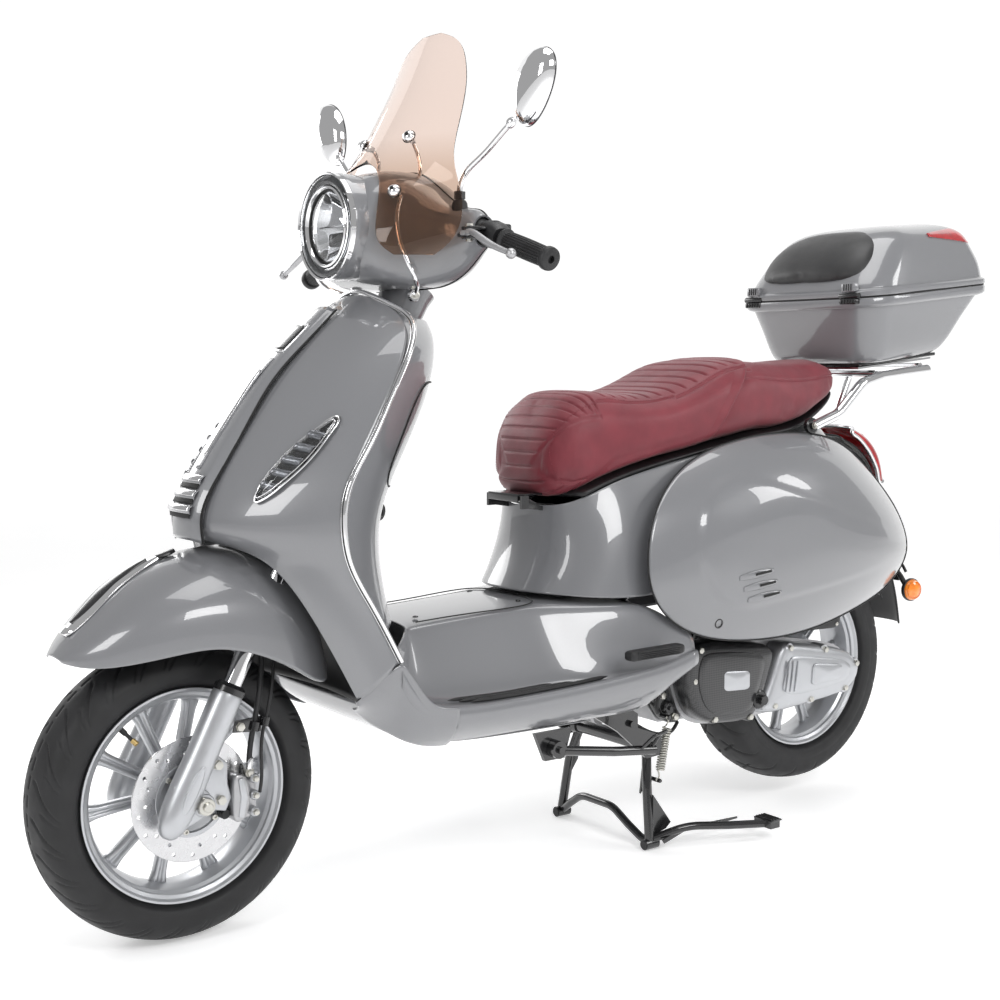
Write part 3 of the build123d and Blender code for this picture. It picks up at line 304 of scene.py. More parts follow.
def leather(name, c0, c1, rough, grain=420.0):
    m, nt, b = new_mat(name)
    vary(nt, b, c0, c1, 26.0, 6.0, 0.3, 0.7)
    b.inputs["Roughness"].default_value = rough
    tc = nt.nodes.new("ShaderNodeTexCoord")
    vor = nt.nodes.new("ShaderNodeTexVoronoi")
    vor.feature = "DISTANCE_TO_EDGE"
    vor.inputs["Scale"].default_value = grain
    nz = nt.nodes.new("ShaderNodeTexNoise")
    nz.inputs["Scale"].default_value = grain * 0.22
    nz.inputs["Detail"].default_value = 5.0
    nt.links.new(tc.outputs["Object"], vor.inputs["Vector"])
    nt.links.new(tc.outputs["Object"], nz.inputs["Vector"])
    mr = nt.nodes.new("ShaderNodeMapRange")
    mr.inputs["From Max"].default_value = 0.12
    nt.links.new(vor.outputs["Distance"], mr.inputs["Value"])
    mx = nt.nodes.new("ShaderNodeMath")
    mx.operation = "MULTIPLY_ADD"
    mx.inputs[1].default_value = 0.5
    nt.links.new(mr.outputs["Result"], mx.inputs[0])
    nt.links.new(nz.outputs["Fac"], mx.inputs[2])
    bump = nt.nodes.new("ShaderNodeBump")
    bump.inputs["Strength"].default_value = 0.22
    bump.inputs["Distance"].default_value = 0.0004
    nt.links.new(mx.outputs["Value"], bump.inputs["Height"])
    nt.links.new(bump.outputs["Normal"], b.inputs["Normal"])
    vary_rough(nt, b, rough, rough + 0.12, 30.0)
    b.inputs["Sheen Weight"].default_value = 0.12
    MATS[name] = m


leather("seat_leather", (0.150, 0.016, 0.026), (0.195, 0.022, 0.034), 0.44)
leather("black_leather", (0.012, 0.012, 0.013), (0.020, 0.020, 0.021), 0.40)
plain("thread", (0.22, 0.035, 0.05), 0.7, 0.0, bump=(3000.0, 0.4, 0.0003))


def glass(name, col, rough=0.0, ior=1.45, bump=None):
    m, nt, b = new_mat(name)
    b.inputs["Base Color"].default_value = (*col, 1)
    b.inputs["Roughness"].default_value = rough
    b.inputs["IOR"].default_value = ior
    b.inputs["Transmission Weight"].default_value = 1.0
    if bump:
        add_noise_bump(nt, b, *bump)
    MATS[name] = m
    return m


glass("clear_lens", (0.97, 0.98, 0.99), bump=(6.0, 0.01, 0.0001))

# Tinted screen: paler at the middle, warm at the edges, dark over the body.
m, nt, b = new_mat("screen_tint")
tc = nt.nodes.new("ShaderNodeTexCoord")
sep = nt.nodes.new("ShaderNodeSeparateXYZ")
nt.links.new(tc.outputs["Object"], sep.inputs["Vector"])
ramp = nt.nodes.new("ShaderNodeValToRGB")
mr = nt.nodes.new("ShaderNodeMapRange")
mr.inputs["From Min"].default_value = 1.04
mr.inputs["From Max"].default_value = 1.43
nt.links.new(sep.outputs["Z"], mr.inputs["Value"])
nz = nt.nodes.new("ShaderNodeTexNoise")
nz.inputs["Scale"].default_value = 3.0
nt.links.new(tc.outputs["Object"], nz.inputs["Vector"])
ad = nt.nodes.new("ShaderNodeMath"); ad.operation = "MULTIPLY_ADD"; ad.inputs[1].default_value = 0.04
nt.links.new(nz.outputs["Fac"], ad.inputs[0]); nt.links.new(mr.outputs["Result"], ad.inputs[2])
cr = ramp.color_ramp
cr.elements[0].position = 0.0; cr.elements[0].color = (0.50, 0.34, 0.24, 1)
cr.elements[1].position = 1.0; cr.elements[1].color = (0.88, 0.73, 0.66, 1)
e = cr.elements.new(0.40); e.color = (0.70, 0.52, 0.42, 1)
e = cr.elements.new(0.55); e.color = (0.87, 0.71, 0.63, 1)
nt.links.new(ad.outputs["Value"], ramp.inputs["Fac"])
nt.links.new(ramp.outputs["Color"], b.inputs["Base Color"])
b.inputs["Roughness"].default_value = 0.0
b.inputs["IOR"].default_value = 1.35
b.inputs["Transmission Weight"].default_value = 1.0
MATS["screen_tint"] = m

# Carbon-look weave on the front drive cover.
m, nt, b = new_mat("carbon_black")
tc = nt.nodes.new("ShaderNodeTexCoord")
mp = nt.nodes.new("ShaderNodeMapping"); mp.inputs["Rotation"].default_value = (math.radians(45), 0, 0)
nt.links.new(tc.outputs["Object"], mp.inputs["Vector"])
ck = nt.nodes.new("ShaderNodeTexChecker"); ck.inputs["Scale"].default_value = 330.0
ck.inputs["Color1"].default_value = (0.010, 0.010, 0.011, 1); ck.inputs["Color2"].default_value = (0.032, 0.032, 0.034, 1)
nt.links.new(mp.outputs["Vector"], ck.inputs["Vector"])
nt.links.new(ck.outputs["Color"], b.inputs["Base Color"])
bp = nt.nodes.new("ShaderNodeBump"); bp.inputs["Strength"].default_value = 0.12; bp.inputs["Distance"].default_value = 0.0002
nt.links.new(ck.outputs["Fac"], bp.inputs["Height"]); nt.links.new(bp.outputs["Normal"], b.inputs["Normal"])
b.inputs["Roughness"].default_value = 0.32
b.inputs["Coat Weight"].default_value = 0.5; b.inputs["Coat Roughness"].default_value = 0.12
MATS["carbon_black"] = m


# --------------------------------------------------------------- helpers ---
def W(p):
    return (p[0] / 1000.0, (p[1] - SHIFT) / 1000.0, p[2] / 1000.0)


def finish_obj(ob, body, mat, nodes=(), slot=None):
    ob.data.materials.clear()
    ob.data.materials.append(MATS[mat])
    scene.collection.objects.link(ob) if ob.name not in scene.collection.objects else None
    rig.ride(ob, body)
    if nodes:
        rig.replaces(ob, *nodes)
    rec = {s["slot"] for s in frame["record"]["materials"]}
    s = slot or (mat if mat in rec else None)
    if s:
        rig.slot(ob, s)
    return ob


def mesh_obj(name, verts, faces, body, mat, nodes=(), slot=None, smooth=True, world=False):
    me = bpy.data.meshes.new(name)
    me.from_pydata([tuple(v) if world else W(v) for v in verts], [], [tuple(f) for f in faces])
    me.validate()
    me.update()
    for p in me.polygons:
        p.use_smooth = smooth
    ob = bpy.data.objects.new(name, me)
    scene.collection.objects.link(ob)
    return finish_obj(ob, body, mat, nodes, slot)


def clean(ob, closed=True, dist=2e-5):
    bm = bmesh.new(); bm.from_mesh(ob.data)
    bmesh.ops.remove_doubles(bm, verts=bm.verts, dist=dist)
    bmesh.ops.dissolve_degenerate(bm, edges=bm.edges, dist=1e-6)
    if closed:
        bmesh.ops.recalc_face_normals(bm, faces=bm.faces)
    bm.to_mesh(ob.data); bm.free()


def outward(ob, ref):
    """Turns an open sheet's faces away from ref (drawing mm)."""
    bm = bmesh.new(); bm.from_mesh(ob.data)
    bmesh.ops.remove_doubles(bm, verts=bm.verts, dist=2e-5)
    bmesh.ops.recalc_face_normals(bm, faces=bm.faces)
    r = Vector(W(ref))
    s = sum((f.calc_center_median() - r).normalized().dot(f.normal) * f.calc_area() for f in bm.faces)
    if s < 0:
        bmesh.ops.reverse_faces(bm, faces=bm.faces)
    bm.to_mesh(ob.data); bm.free()


def mod(ob, kind, **kw):
    m = ob.modifiers.new(kind.lower(), kind)
    for k, v in kw.items():
        setattr(m, k, v)
    return m


def apply_all(ob):
    dg = bpy.context.evaluated_depsgraph_get()
    dg.update()
    me = bpy.data.meshes.new_from_object(ob.evaluated_get(dg))
    old = ob.data
    ob.modifiers.clear()
    ob.data = me
    bpy.data.meshes.remove(old)
    return ob


def mirrored(rows):
    verts, faces, idx, mid = [], [], {}, {}
    for i, row in enumerate(rows):
        for j, p in enumerate(row):
            idx[i, j] = len(verts); verts.append(tuple(p))
            if abs(p[0]) < 1e-6:
                mid[i, j] = idx[i, j]
            else:
                mid[i, j] = len(verts); verts.append((-p[0], p[1], p[2]))
    for i in range(len(rows) - 1):
        for j in range(len(rows[i]) - 1):
            q = [(i, j), (i + 1, j), (i + 1, j + 1), (i, j + 1)]
            faces.append([idx[k] for k in q])
            faces.append([mid[k] for k in reversed(q)])
    out = []
    for f in faces:
        g = [k for n, k in enumerate(f) if k != f[n - 1]]
        if len(set(g)) >= 3:
            out.append(g)
    return verts, out


def spline(pts, n, closed=False):
    """n points along a centripetal-ish cubic through pts (numpy)."""
    P = np.asarray(pts, float)
    if closed:
        P = np.vstack([P[-3:], P, P[:3]])
    d = np.maximum(np.linalg.norm(np.diff(P, axis=0), axis=1), 1e-6) ** 0.7
    t = np.concatenate([[0], np.cumsum(d)])
    m = len(t)
    h = np.diff(t)
    A = np.zeros((m, m)); B = np.zeros((m, P.shape[1]))
    A[0, 0] = A[-1, -1] = 1
    for i in range(1, m - 1):
        A[i, i - 1] = h[i - 1]; A[i, i] = 2 * (h[i - 1] + h[i]); A[i, i + 1] = h[i]
        B[i] = 6 * ((P[i + 1] - P[i]) / h[i] - (P[i] - P[i - 1]) / h[i - 1])
    M = np.linalg.solve(A, B)
    lo, hi = (t[3], t[-3]) if closed else (t[0], t[-1])
    u = np.linspace(lo, hi, n, endpoint=not closed)
    k = np.clip(np.searchsorted(t, u, side="right") - 1, 0, m - 2)
    hk = h[k][:, None]
    a = (t[k + 1] - u)[:, None]; b_ = (u - t[k])[:, None]
    return M[k] * a ** 3 / (6 * hk) + M[k + 1] * b_ ** 3 / (6 * hk) + (P[k] / hk - M[k] * hk / 6) * a + (P[k + 1] / hk - M[k + 1] * hk / 6) * b_


def grid_faces(nr, nc, wrap=False, flip=False):
    out = []
    for i in range(nr - 1):
        for j in range(nc if wrap else nc - 1):
            a, b_ = i * nc + j, i * nc + (j + 1) % nc
            q = (a, b_, b_ + nc, a + nc)
            out.append(q[::-1] if flip else q)
    return out


def sheet(name, verts, faces, t, ref, body, mat, nodes=(), sub=2, slot=None, bevel=0.0):
    ob = mesh_obj(name, verts, faces, body, mat, nodes, slot)
    outward(ob, ref)
    if sub:
        mod(ob, "SUBSURF", levels=sub, render_levels=sub, boundary_smooth="PRESERVE_CORNERS")
    mod(ob, "SOLIDIFY", thickness=t / 1000.0, offset=-1.0, use_even_offset=True)
    if bevel:
        mod(ob, "BEVEL", width=bevel / 1000.0, segments=2, limit_method="ANGLE", angle_limit=math.radians(60))
    return apply_all(ob)


def loft(name, loops, body, mat, nodes=(), sub=0, slot=None, cap=True, smooth=True, angle=None):
    n = len(loops[0])
    verts = [p for lp in loops for p in lp]
    faces = grid_faces(len(loops), n, wrap=True)
    if cap:
        faces.append(tuple(range(n))[::-1])
        faces.append(tuple(range((len(loops) - 1) * n, len(loops) * n)))
    ob = mesh_obj(name, verts, faces, body, mat, nodes, slot, smooth)
    clean(ob)
    if sub:
        mod(ob, "SUBSURF", levels=sub, render_levels=sub)
        apply_all(ob)
    if angle:
        sharp(ob, angle)
    return ob


def sharp(ob, angle=35.0):
    """Smooth shading with edges over the angle kept sharp."""
    me = ob.data
    bm = bmesh.new(); bm.from_mesh(me)
    lim = math.radians(angle)
    for f in bm.faces:
        f.smooth = True
    for e_ in bm.edges:
        e_.smooth = not (len(e_.link_faces) != 2 or e_.calc_face_angle(0) > lim)
    bm.to_mesh(me); bm.free()
    return ob


def tube(name, pts, r, body, mat, nodes=(), slot=None, n=None, seg=16, closed=False, caps=True, rz=None):
    """A round bar along a smooth line through pts; rz flattens it."""
    P = spline(pts, n or max(24, len(pts) * 10), closed) if len(pts) > 2 or closed else np.asarray([np.array(pts[0]) + (np.array(pts[1]) - np.array(pts[0])) * u for u in (0, 1)])
    m = len(P)
    T = np.gradient(P, axis=0) if not closed else (np.roll(P, -1, 0) - np.roll(P, 1, 0))
    T /= np.linalg.norm(T, axis=1)[:, None]
    up = np.array([0, 0, 1.0]) if abs(T[0][2]) < 0.9 else np.array([1.0, 0, 0])
    N = np.cross(T[0], up); N /= np.linalg.norm(N)
    verts = []
    rr = r if hasattr(r, "__len__") else [r] * m
    if len(rr) != m:
        rr = np.interp(np.linspace(0, 1, m), np.linspace(0, 1, len(rr)), rr)
    for i in range(m):
        N = N - T[i] * np.dot(N, T[i]); N /= np.linalg.norm(N)
        Bn = np.cross(T[i], N)
        for k in range(seg):
            a = 2 * math.pi * k / seg
            verts.append(P[i] + rr[i] * (math.cos(a) * N + (rz or 1.0) * math.sin(a) * Bn))
    faces = grid_faces(m, seg, wrap=True)
    if closed:
        base = (m - 1) * seg
        for j in range(seg):
            faces.append((base + j, base + (j + 1) % seg, (j + 1) % seg, j))
    elif caps:
        faces.append(tuple(range(seg))[::-1]); faces.append(tuple(range((m - 1) * seg, m * seg)))
    ob = mesh_obj(name, verts, faces, body, mat, nodes, slot)
    bm = bmesh.new(); bm.from_mesh(ob.data)
    bmesh.ops.recalc_face_normals(bm, faces=bm.faces)
    bm.to_mesh(ob.data); bm.free()
    return sharp(ob, 50)


def turned(name, prof, a, axis, body, mat, nodes=(), slot=None, seg=64, closed=False, angle=32):
    """Revolves (along, radius) points about the axis through a (drawing mm)."""
    ax = Vector(axis).normalized()
    u = ax.orthogonal().normalized(); v = ax.cross(u)
    verts, n = [], len(prof)
    for s, r in prof:
        for k in range(seg):
            t = 2 * math.pi * k / seg
            verts.append(tuple(Vector(a) + ax * s + (u * math.cos(t) + v * math.sin(t)) * max(r, 0.001)))
    faces = grid_faces(n, seg, wrap=True)
    if closed:
        base = (n - 1) * seg
        for j in range(seg):
            faces.append((base + j, base + (j + 1) % seg, (j + 1) % seg, j))
    ob = mesh_obj(name, verts, faces, body, mat, nodes, slot)
    clean(ob, dist=3e-6)
    return sharp(ob, angle)


def block(name, outline, x0, x1, body, mat, nodes=(), slot=None, bevel=2.0, seg=3, smooth=False):
    """A plate from a (y, z) outline between x0 and x1, with rounded edges."""
    n = len(outline)
    verts = [(x0, y, z) for y, z in outline] + [(x1, y, z) for y, z in outline]
    faces = [tuple(range(n))[::-1], tuple(range(n, 2 * n))] + [(k, (k + 1) % n, (k + 1) % n + n, k + n) for k in range(n)]
    ob = mesh_obj(name, verts, faces, body, mat, nodes, slot, smooth=True)
    clean(ob)
    if bevel:
        mod(ob, "BEVEL", width=bevel / 1000.0, segments=seg, limit_method="ANGLE", angle_limit=math.radians(28))
        apply_all(ob)
    return sharp(ob, 30)


def cube(name, c, size, body, mat, rot=None, bevel=1.0, slot=None, nodes=()):
    """A box with rounded edges, centred on c."""
    hx, hy, hz = [s / 2 for s in size]
    vs = [Vector((x, y, z)) for x in (-hx, hx) for y in (-hy, hy) for z in (-hz, hz)]
    R = rot or Matrix.Identity(3)
    vs = [tuple(Vector(c) + R @ v) for v in vs]
    fs = [(0, 1, 3, 2), (4, 6, 7, 5), (0, 4, 5, 1), (2, 3, 7, 6), (0, 2, 6, 4), (1, 5, 7, 3)]
    ob = mesh_obj(name, vs, fs, body, mat, nodes, slot)
    clean(ob)
    if bevel:
        mod(ob, "BEVEL", width=bevel / 1000.0, segments=3)
        apply_all(ob)
    return sharp(ob, 30)


def join(name, obs):
    """Joins meshes of one body and finish into the first one."""
    bm = bmesh.new()
    mats = []
    for o in obs:
        k = len(mats)
        mt = o.data.materials[0]
        if mt in mats:
            k = mats.index(mt)
        else:
            mats.append(mt)
        start = len(bm.faces)
        bm.from_mesh(o.data)
        bm.faces.ensure_lookup_table()
        for f in bm.faces[start:]:
            f.material_index = k
    me = obs[0].data
    bm.to_mesh(me); bm.free()
    me.materials.clear()
    for mt in mats:
        me.materials.append(mt)
    obs[0].name = name
    for o in obs[1:]:
        bpy.data.objects.remove(o)
    return obs[0]


def bolt(name, p, axis, r, body, mat="zinc", kind="hex", h=None):
    """A screw head standing on p along axis."""
    h = h or r * 0.8
    if kind == "hex":
        ob = turned(name, [(0, r * 1.12), (h * 0.25, r * 1.12), (h * 0.25, r), (h, r), (h + 0.4, r * 0.7), (h + 0.4, 0)], p, axis, body, mat, seg=6 if r > 0 else 24, angle=20)
    elif kind == "dome":
        prof = [(0, r)] + [(h * math.sin(math.pi / 2 * k / 7), r * math.cos(math.pi / 2 * k / 7)) for k in range(8)]
        ob = turned(name, prof, p, axis, body, mat, seg=32, angle=60)
    else:
        ob = turned(name, [(0, r), (h, r), (h + 0.5, r - 0.6), (h + 0.5, r * 0.5), (h * 0.4, r * 0.45), (h * 0.4, 0)], p, axis, body, mat, seg=28, angle=30)
    return ob

# ----------------------------------------------------- camera, light, floor
cam = bpy.data.cameras.new("camera")
cam.lens = 54.78
cam.sensor_width = 36.0
cam_ob = bpy.data.objects.new("camera", cam)
scene.collection.objects.link(cam_ob)
cam_ob.location = (2.145, -1.755, 0.883)
cam_ob.rotation_euler = Vector((-0.8012, 0.5917, -0.0896)).to_track_quat("-Z", "Y").to_euler()
scene.camera = cam_ob

world = bpy.data.worlds.new("studio")
scene.world = world
world.use_nodes = True
world.node_tree.nodes["Background"].inputs["Color"].default_value = (1, 1, 1, 1)
world.node_tree.nodes["Background"].inputs["Strength"].default_value = 0.40
scene.view_settings.view_transform = "Standard"


def area(name, loc, target, sx, sy, power, spread=180.0):
    l = bpy.data.lights.new(name, "AREA")
    l.shape = "RECTANGLE"; l.size = sx; l.size_y = sy; l.energy = power
    l.spread = math.radians(spread)
    o = bpy.data.objects.new(name, l)
    scene.collection.objects.link(o)
    o.location = loc
    o.rotation_euler = (Vector(target) - Vector(loc)).to_track_quat("-Z", "Y").to_euler()
    return o


LIGHTS = [
    area("key", (2.9, -0.4, 2.3), (0, -0.1, 0.6), 1.5, 1.0, 40),
    area("front", (0.7, -3.3, 2.0), (0, -0.4, 0.6), 1.0, 1.3, 26),
    area("rear", (2.2, 2.6, 2.0), (0, 0.4, 0.6), 1.0, 1.2, 23),
    area("top", (0.2, 0.1, 3.4), (0, 0, 0.5), 2.6, 1.5, 38),
    area("far", (-2.8, -0.6, 1.8), (0, 0, 0.6), 1.6, 1.2, 26),
]

fl = bpy.data.meshes.new("floor")
fl.from_pydata([(-40, -40, -0.0005), (40, -40, -0.0005), (40, 40, -0.0005), (-40, 40, -0.0005)], [], [(0, 1, 2, 3)])
floor = bpy.data.objects.new("floor", fl)
scene.collection.objects.link(floor)
m, nt, b = new_mat("floor_white")
vary(nt, b, (0.93, 0.93, 0.935), (0.95, 0.95, 0.95), 3.0)
b.inputs["Roughness"].default_value = 0.7
b.inputs["Specular IOR Level"].default_value = 0.15
b.inputs["Emission Color"].default_value = (1, 1, 1, 1)
b.inputs["Emission Strength"].default_value = 0.36
fl.materials.append(m)
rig.stage(floor)

# A lit white sweep, far behind the scooter as the camera sees it.
sw = bpy.data.meshes.new("sweep")
fwd_, rgt_ = Vector((-0.8046, 0.5942, 0)), Vector((0.5942, 0.8046, 0))
c_ = Vector((2.145, -1.755, 0)) + fwd_ * 11.0
sw.from_pydata([tuple(c_ - rgt_ * 12 + Vector((0, 0, -0.2))), tuple(c_ + rgt_ * 12 + Vector((0, 0, -0.2))), tuple(c_ + rgt_ * 12 + Vector((0, 0, 9))), tuple(c_ - rgt_ * 12 + Vector((0, 0, 9)))], [], [(0, 1, 2, 3)])
sweep = bpy.data.objects.new("sweep", sw)
scene.collection.objects.link(sweep)
m, nt, b = new_mat("sweep_white")
vary(nt, b, (0.05, 0.05, 0.05), (0.06, 0.06, 0.06), 3.0)
b.inputs["Roughness"].default_value = 0.9
b.inputs["Specular IOR Level"].default_value = 0.0
b.inputs["Emission Color"].default_value = (1, 1, 1, 1)
b.inputs["Emission Strength"].default_value = 1.0
sw.materials.append(m)
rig.stage(sweep)

# --------------------------------------------- finishes of the CAD nodes ---
for s in frame["record"]["subparts"]:
    ob = frame["nodes"].get(s["node"])
    if ob is None:
        continue
    mname = {"screen_rods": "chrome", "fork_sliders": "silver_alloy"}.get(s["node"], s["material_slot"])
    if not ob.material_slots:
        ob.data.materials.append(MATS[mname])
    for sl in ob.material_slots:
        sl.material = MATS[mname]

# ------------------------------------------------------------ leg shield ---
SHIELD = [
    ((0, -352, 994), (100, -342, 970)), ((0, -398, 966), (150, -343, 946)), ((0, -450, 920), (182, -368, 900)),
    ((0, -518, 857), (202, -412, 834)), ((0, -574, 780), (216, -461, 761)), ((0, -626, 705), (221, -500, 698)),
    ((0, -654, 655), (222, -508, 650)), ((0, -651, 618), (222, -505, 618)), ((100, -593, 603), (222, -498, 590)),
    ((150, -568, 570), (221, -483, 560)), ((182, -545, 521), (221, -460, 520)), ((203, -515, 456), (221, -436, 475)),
    ((216, -478, 378), (221, -408, 428)),
]


def shield_row(s, e, n=6):
    out = []
    for k in range(n + 1):
        u = k / n
        if s[0] < 1:
            x, w = e[0] * u, u * u
        else:
            x = s[0] + (e[0] - s[0]) * u + 6 * math.sin(math.pi * u)
            w = (u + u * u) / 2
        out.append((x, s[1] + (e[1] - s[1]) * w, s[2] + (e[2] - s[2]) * w))
    return out


def shield_y(x, z):
    pts = []
    for s_, e_ in SHIELD[:8]:
        w = (x / e_[0]) ** 2
        pts.append((s_[2] + (e_[2] - s_[2]) * w, s_[1] + (e_[1] - s_[1]) * w))
    for (z0, y0), (z1, y1) in zip(pts, pts[1:]):
        if z1 <= z <= z0:
            return y0 + (y1 - y0) * (z - z0) / (z1 - z0)
    return pts[-1][1]


v, f = mirrored([shield_row(s, e) for s, e in SHIELD])
sheet("shield_skin", v, f, 3, (0, -300, 700), "frame", "body_grey", ["leg_shield"], sub=3)

# Nose panel: a raised channel with side lines, a centre strip and louvres.
def nose_rows(hws, lifts, z_cut=0):
    rows = []
    for (s, e), hw in zip(SHIELD[1:8], hws):
        row = []
        for u, lift in lifts:
            x = hw * u
            w = (x / e[0]) ** 2
            row.append((x, s[1] + (e[1] - s[1]) * w - 0.86 * lift, s[2] + 0.5 * lift - (8 if s is SHIELD[7][0] else 0)))
        rows.append(row)
    return rows


HW = (26, 30, 36, 42, 46, 50, 48)
v, f = mirrored(nose_rows(HW, ((0, 14), (0.35, 13.6), (0.62, 12.6), (0.72, 11.5), (0.94, 6.0), (1.0, 4.6))))
sheet("nose_cover", v, f, 3.5, (0, -300, 700), "frame", "body_grey", ["nose_panel"], sub=3, slot="body_grey")


def nose_pt(x, z, lift):
    return (x, shield_y(x, z) - 0.86 * lift, z + 0.5 * lift)


parts = []
for s in (1, -1):
    line = []
    for (a, e), hw in zip(SHIELD[1:8], HW):
        w = (hw / e[0]) ** 2
        line.append((s * hw, a[1] + (e[1] - a[1]) * w - 0.86 * 3.2, a[2] + 0.5 * 3.2 - (8 if a is SHIELD[7][0] else 0)))
    # the side lines are near-black tubes: painted shade for the gap at each edge of the nose panel
    parts.append(tube("nose_line", line, 1.3, "frame", "dark_gap", n=70, seg=8))
    parts.append(tube("nose_edge", [(p[0] * 1.055, p[1] + 0.8, p[2]) for p in line], 1.2, "frame", "body_grey", n=70, seg=8))
join("nose_gap_lines", parts)


def strip_grid(name, zs, hws, lift, mat, t=1.6, sub=2, crown=1.0):
    rows = []
    for z, hw in zip(zs, hws):
        rows.append([nose_pt(hw * u, z, lift + crown * (1 - u * u)) for u in (0, 0.5, 1)])
    v_, f_ = mirrored(rows)
    return sheet(name, v_, f_, t, (0, -300, 700), "frame", mat, sub=sub)


zs = np.linspace(884, 716, 10)
strip_grid("nose_strip_bed", zs, [7.5] * 10, 14.4, "body_grey", crown=0.2)
strip_grid("nose_strip_trim", zs[1:-1], [4.2, 5.2, 5.6, 5.8, 6.0, 6.2, 5.6, 4.4], 15.6, "chrome", crown=1.4)
strip_grid("nose_inset_frame", np.linspace(938, 894, 5), [15, 16, 16.5, 16.5, 15.5], 15.0, "chrome", t=3, crown=0.6)
strip_grid("nose_inset", np.linspace(934, 898, 5), [11.5, 12.5, 13, 13, 12], 17.4, "satin_black", crown=0.4)
for k, z in enumerate((700, 678, 656)):
    hw = 33 + k * 2.5
    scoop = []
    for dz, lift in ((7, 13.4), (4, 16.4), (0, 17.6), (-4, 17.2), (-7, 14.2)):
        scoop.append([nose_pt(hw * u * (1 - 0.06 * abs(dz) / 7), z + dz, lift - 0.8 * u * u) for u in (0, 0.4, 0.75, 1.0)])
    v, f = mirrored(scoop)
    sheet(f"louvre_{k}", v, f, 1.2, (0, -300, 700), "frame", "body_grey", sub=2)
    # a near-black sheet under each louvre: painted shade in the opening
    dark = [[nose_pt(hw * 0.9 * u, z + dz, 15.2 - 0.8 * u * u) for u in (0, 0.5, 1.0)] for dz in (-5.5, -13.5)]
    v, f = mirrored(dark)
    sheet(f"louvre_gap_{k}", v, f, 0.8, (0, -300, 700), "frame", "dark_gap", sub=2)
    lip = [[nose_pt(hw * 0.92 * u, z + dz, lift - 0.8 * u * u) for u in (0, 0.5, 1.0)] for dz, lift in ((5.5, 17.2), (1.5, 18.4), (-3.5, 18.2))]
    v, f = mirrored(lip)
    sheet(f"louvre_face_{k}", v, f, 0.8, (0, -300, 700), "frame", "chrome_soft", sub=2)

# Front indicators: a black leaf recess, five clear segments, a clear cover.
LEAF = [(802, 168.5, 2.0), (788, 164.5, 9.0), (768, 158.5, 15.5), (744, 152, 19.0), (720, 145, 18.5), (698, 138, 14.5), (684, 132, 8.5), (677, 128, 2.0)]


def leaf_grid(k_w, lift0, dome):
    zc = 740
    rows_ = []
    L = spline([(z, x, w) for z, x, w in LEAF], 22)
    for z, x, w in L:
        zz = zc + (z - zc) * (0.55 + 0.45 * k_w)
        row = []
        for u in np.linspace(-1, 1, 11):
            px = x + u * w * 0.92 * k_w
            d = lift0 + dome * (1 - u * u) * (1 - ((z - zc) / 66) ** 4)
            row.append((px + 0.45 * d, shield_y(px, zz) - 0.78 * d, zz + 0.40 * d))
        rows_.append(row)
    return rows_


for s, side in ((1, "left"), (-1, "right")):
    for nm, kw, lift, dome, mt, t in (("bed", 1.0, 3.4, 1.0, "satin_black", 3.0), ("lens", 0.93, 6.2, 6.5, "clear_lens", 1.6)):
        rows = leaf_grid(kw, lift, dome)
        verts = [(s * p[0], p[1], p[2]) for r in rows for p in r]
        ob = sheet(f"{side}_indicator_{nm}", verts, grid_faces(22, 11), t, (0, -300, 700), "frame", mt, sub=0, nodes=["indicators"] if nm == "bed" else [])
    rim_pts = [(s * r[0][0], r[0][1], r[0][2]) for r in leaf_grid(1.0, 5.0, 0)] + [(s * r[-1][0], r[-1][1], r[-1][2]) for r in leaf_grid(1.0, 5.0, 0)][::-1]
    tube(f"{side}_indicator_rim", rim_pts[::3], 1.7, "frame", "chrome", n=110, seg=10, closed=True)
    inner = [(s * r[0][0], r[0][1], r[0][2]) for r in leaf_grid(0.80, 8.0, 0)] + [(s * r[-1][0], r[-1][1], r[-1][2]) for r in leaf_grid(0.80, 8.0, 0)][::-1]
    tube(f"{side}_indicator_line", inner[::3], 0.8, "frame", "chrome_soft", n=110, seg=8, closed=True)
    segs = []
    for k in range(5):
        z = 774 - k * 18.5
        xc = np.interp(z, [q[0] for q in LEAF][::-1], [q[1] for q in LEAF][::-1]) - 1.5
        wd = np.interp(z, [q[0] for q in LEAF][::-1], [q[2] for q in LEAF][::-1]) * 0.62
        y = shield_y(xc, z)
        rows_ = []
        for dz, l in ((6.0, 4.5), (4.6, 8.2), (0, 9.4), (-4.4, 8.6), (-6.0, 4.5)):
            rows_.append([(s * (xc + u * wd + 0.3 * dz + 0.45 * l), shield_y(xc + u * wd, z + dz) - 0.78 * l, z + dz - 3.0 * u + 0.40 * l) for u in (-1, -0.5, 0, 0.5, 1)])
        segs.append(sheet("seg", [p for r in rows_ for p in r], grid_faces(5, 5), 1.0, (0, -300, 700), "frame", "led_panel", sub=2))
    join(f"{side}_indicator_segments", segs)

# Rear indicators and their stalks.
for s, side in ((1, "left"), (-1, "right")):
    ax = Vector((s, -0.1, 0))
    turned(f"{side}_rear_indicator_base", [(0, 0), (0, 22.5), (3, 24), (8, 24), (9, 22.5), (9, 0)], (s * 112, 928, 411), ax, "frame", "black_plastic", seg=56, slot="black_plastic")
    prof = [(9, 22)] + [(9 + 11 * math.sin(t), 22 * math.cos(t) + 0.01) for t in np.linspace(0.15, math.pi / 2, 9)]
    turned(f"{side}_rear_indicator_lens", prof, (s * 112, 928, 411), ax, "frame", "amber_lens", seg=56, angle=60)
    turned(f"{side}_rear_indicator_ring", [(15, 19.5), (16.8, 18.8), (17.4, 17.4), (15.8, 17.6)], (s * 112, 928, 411), ax, "frame", "amber_lens", seg=56, closed=True)

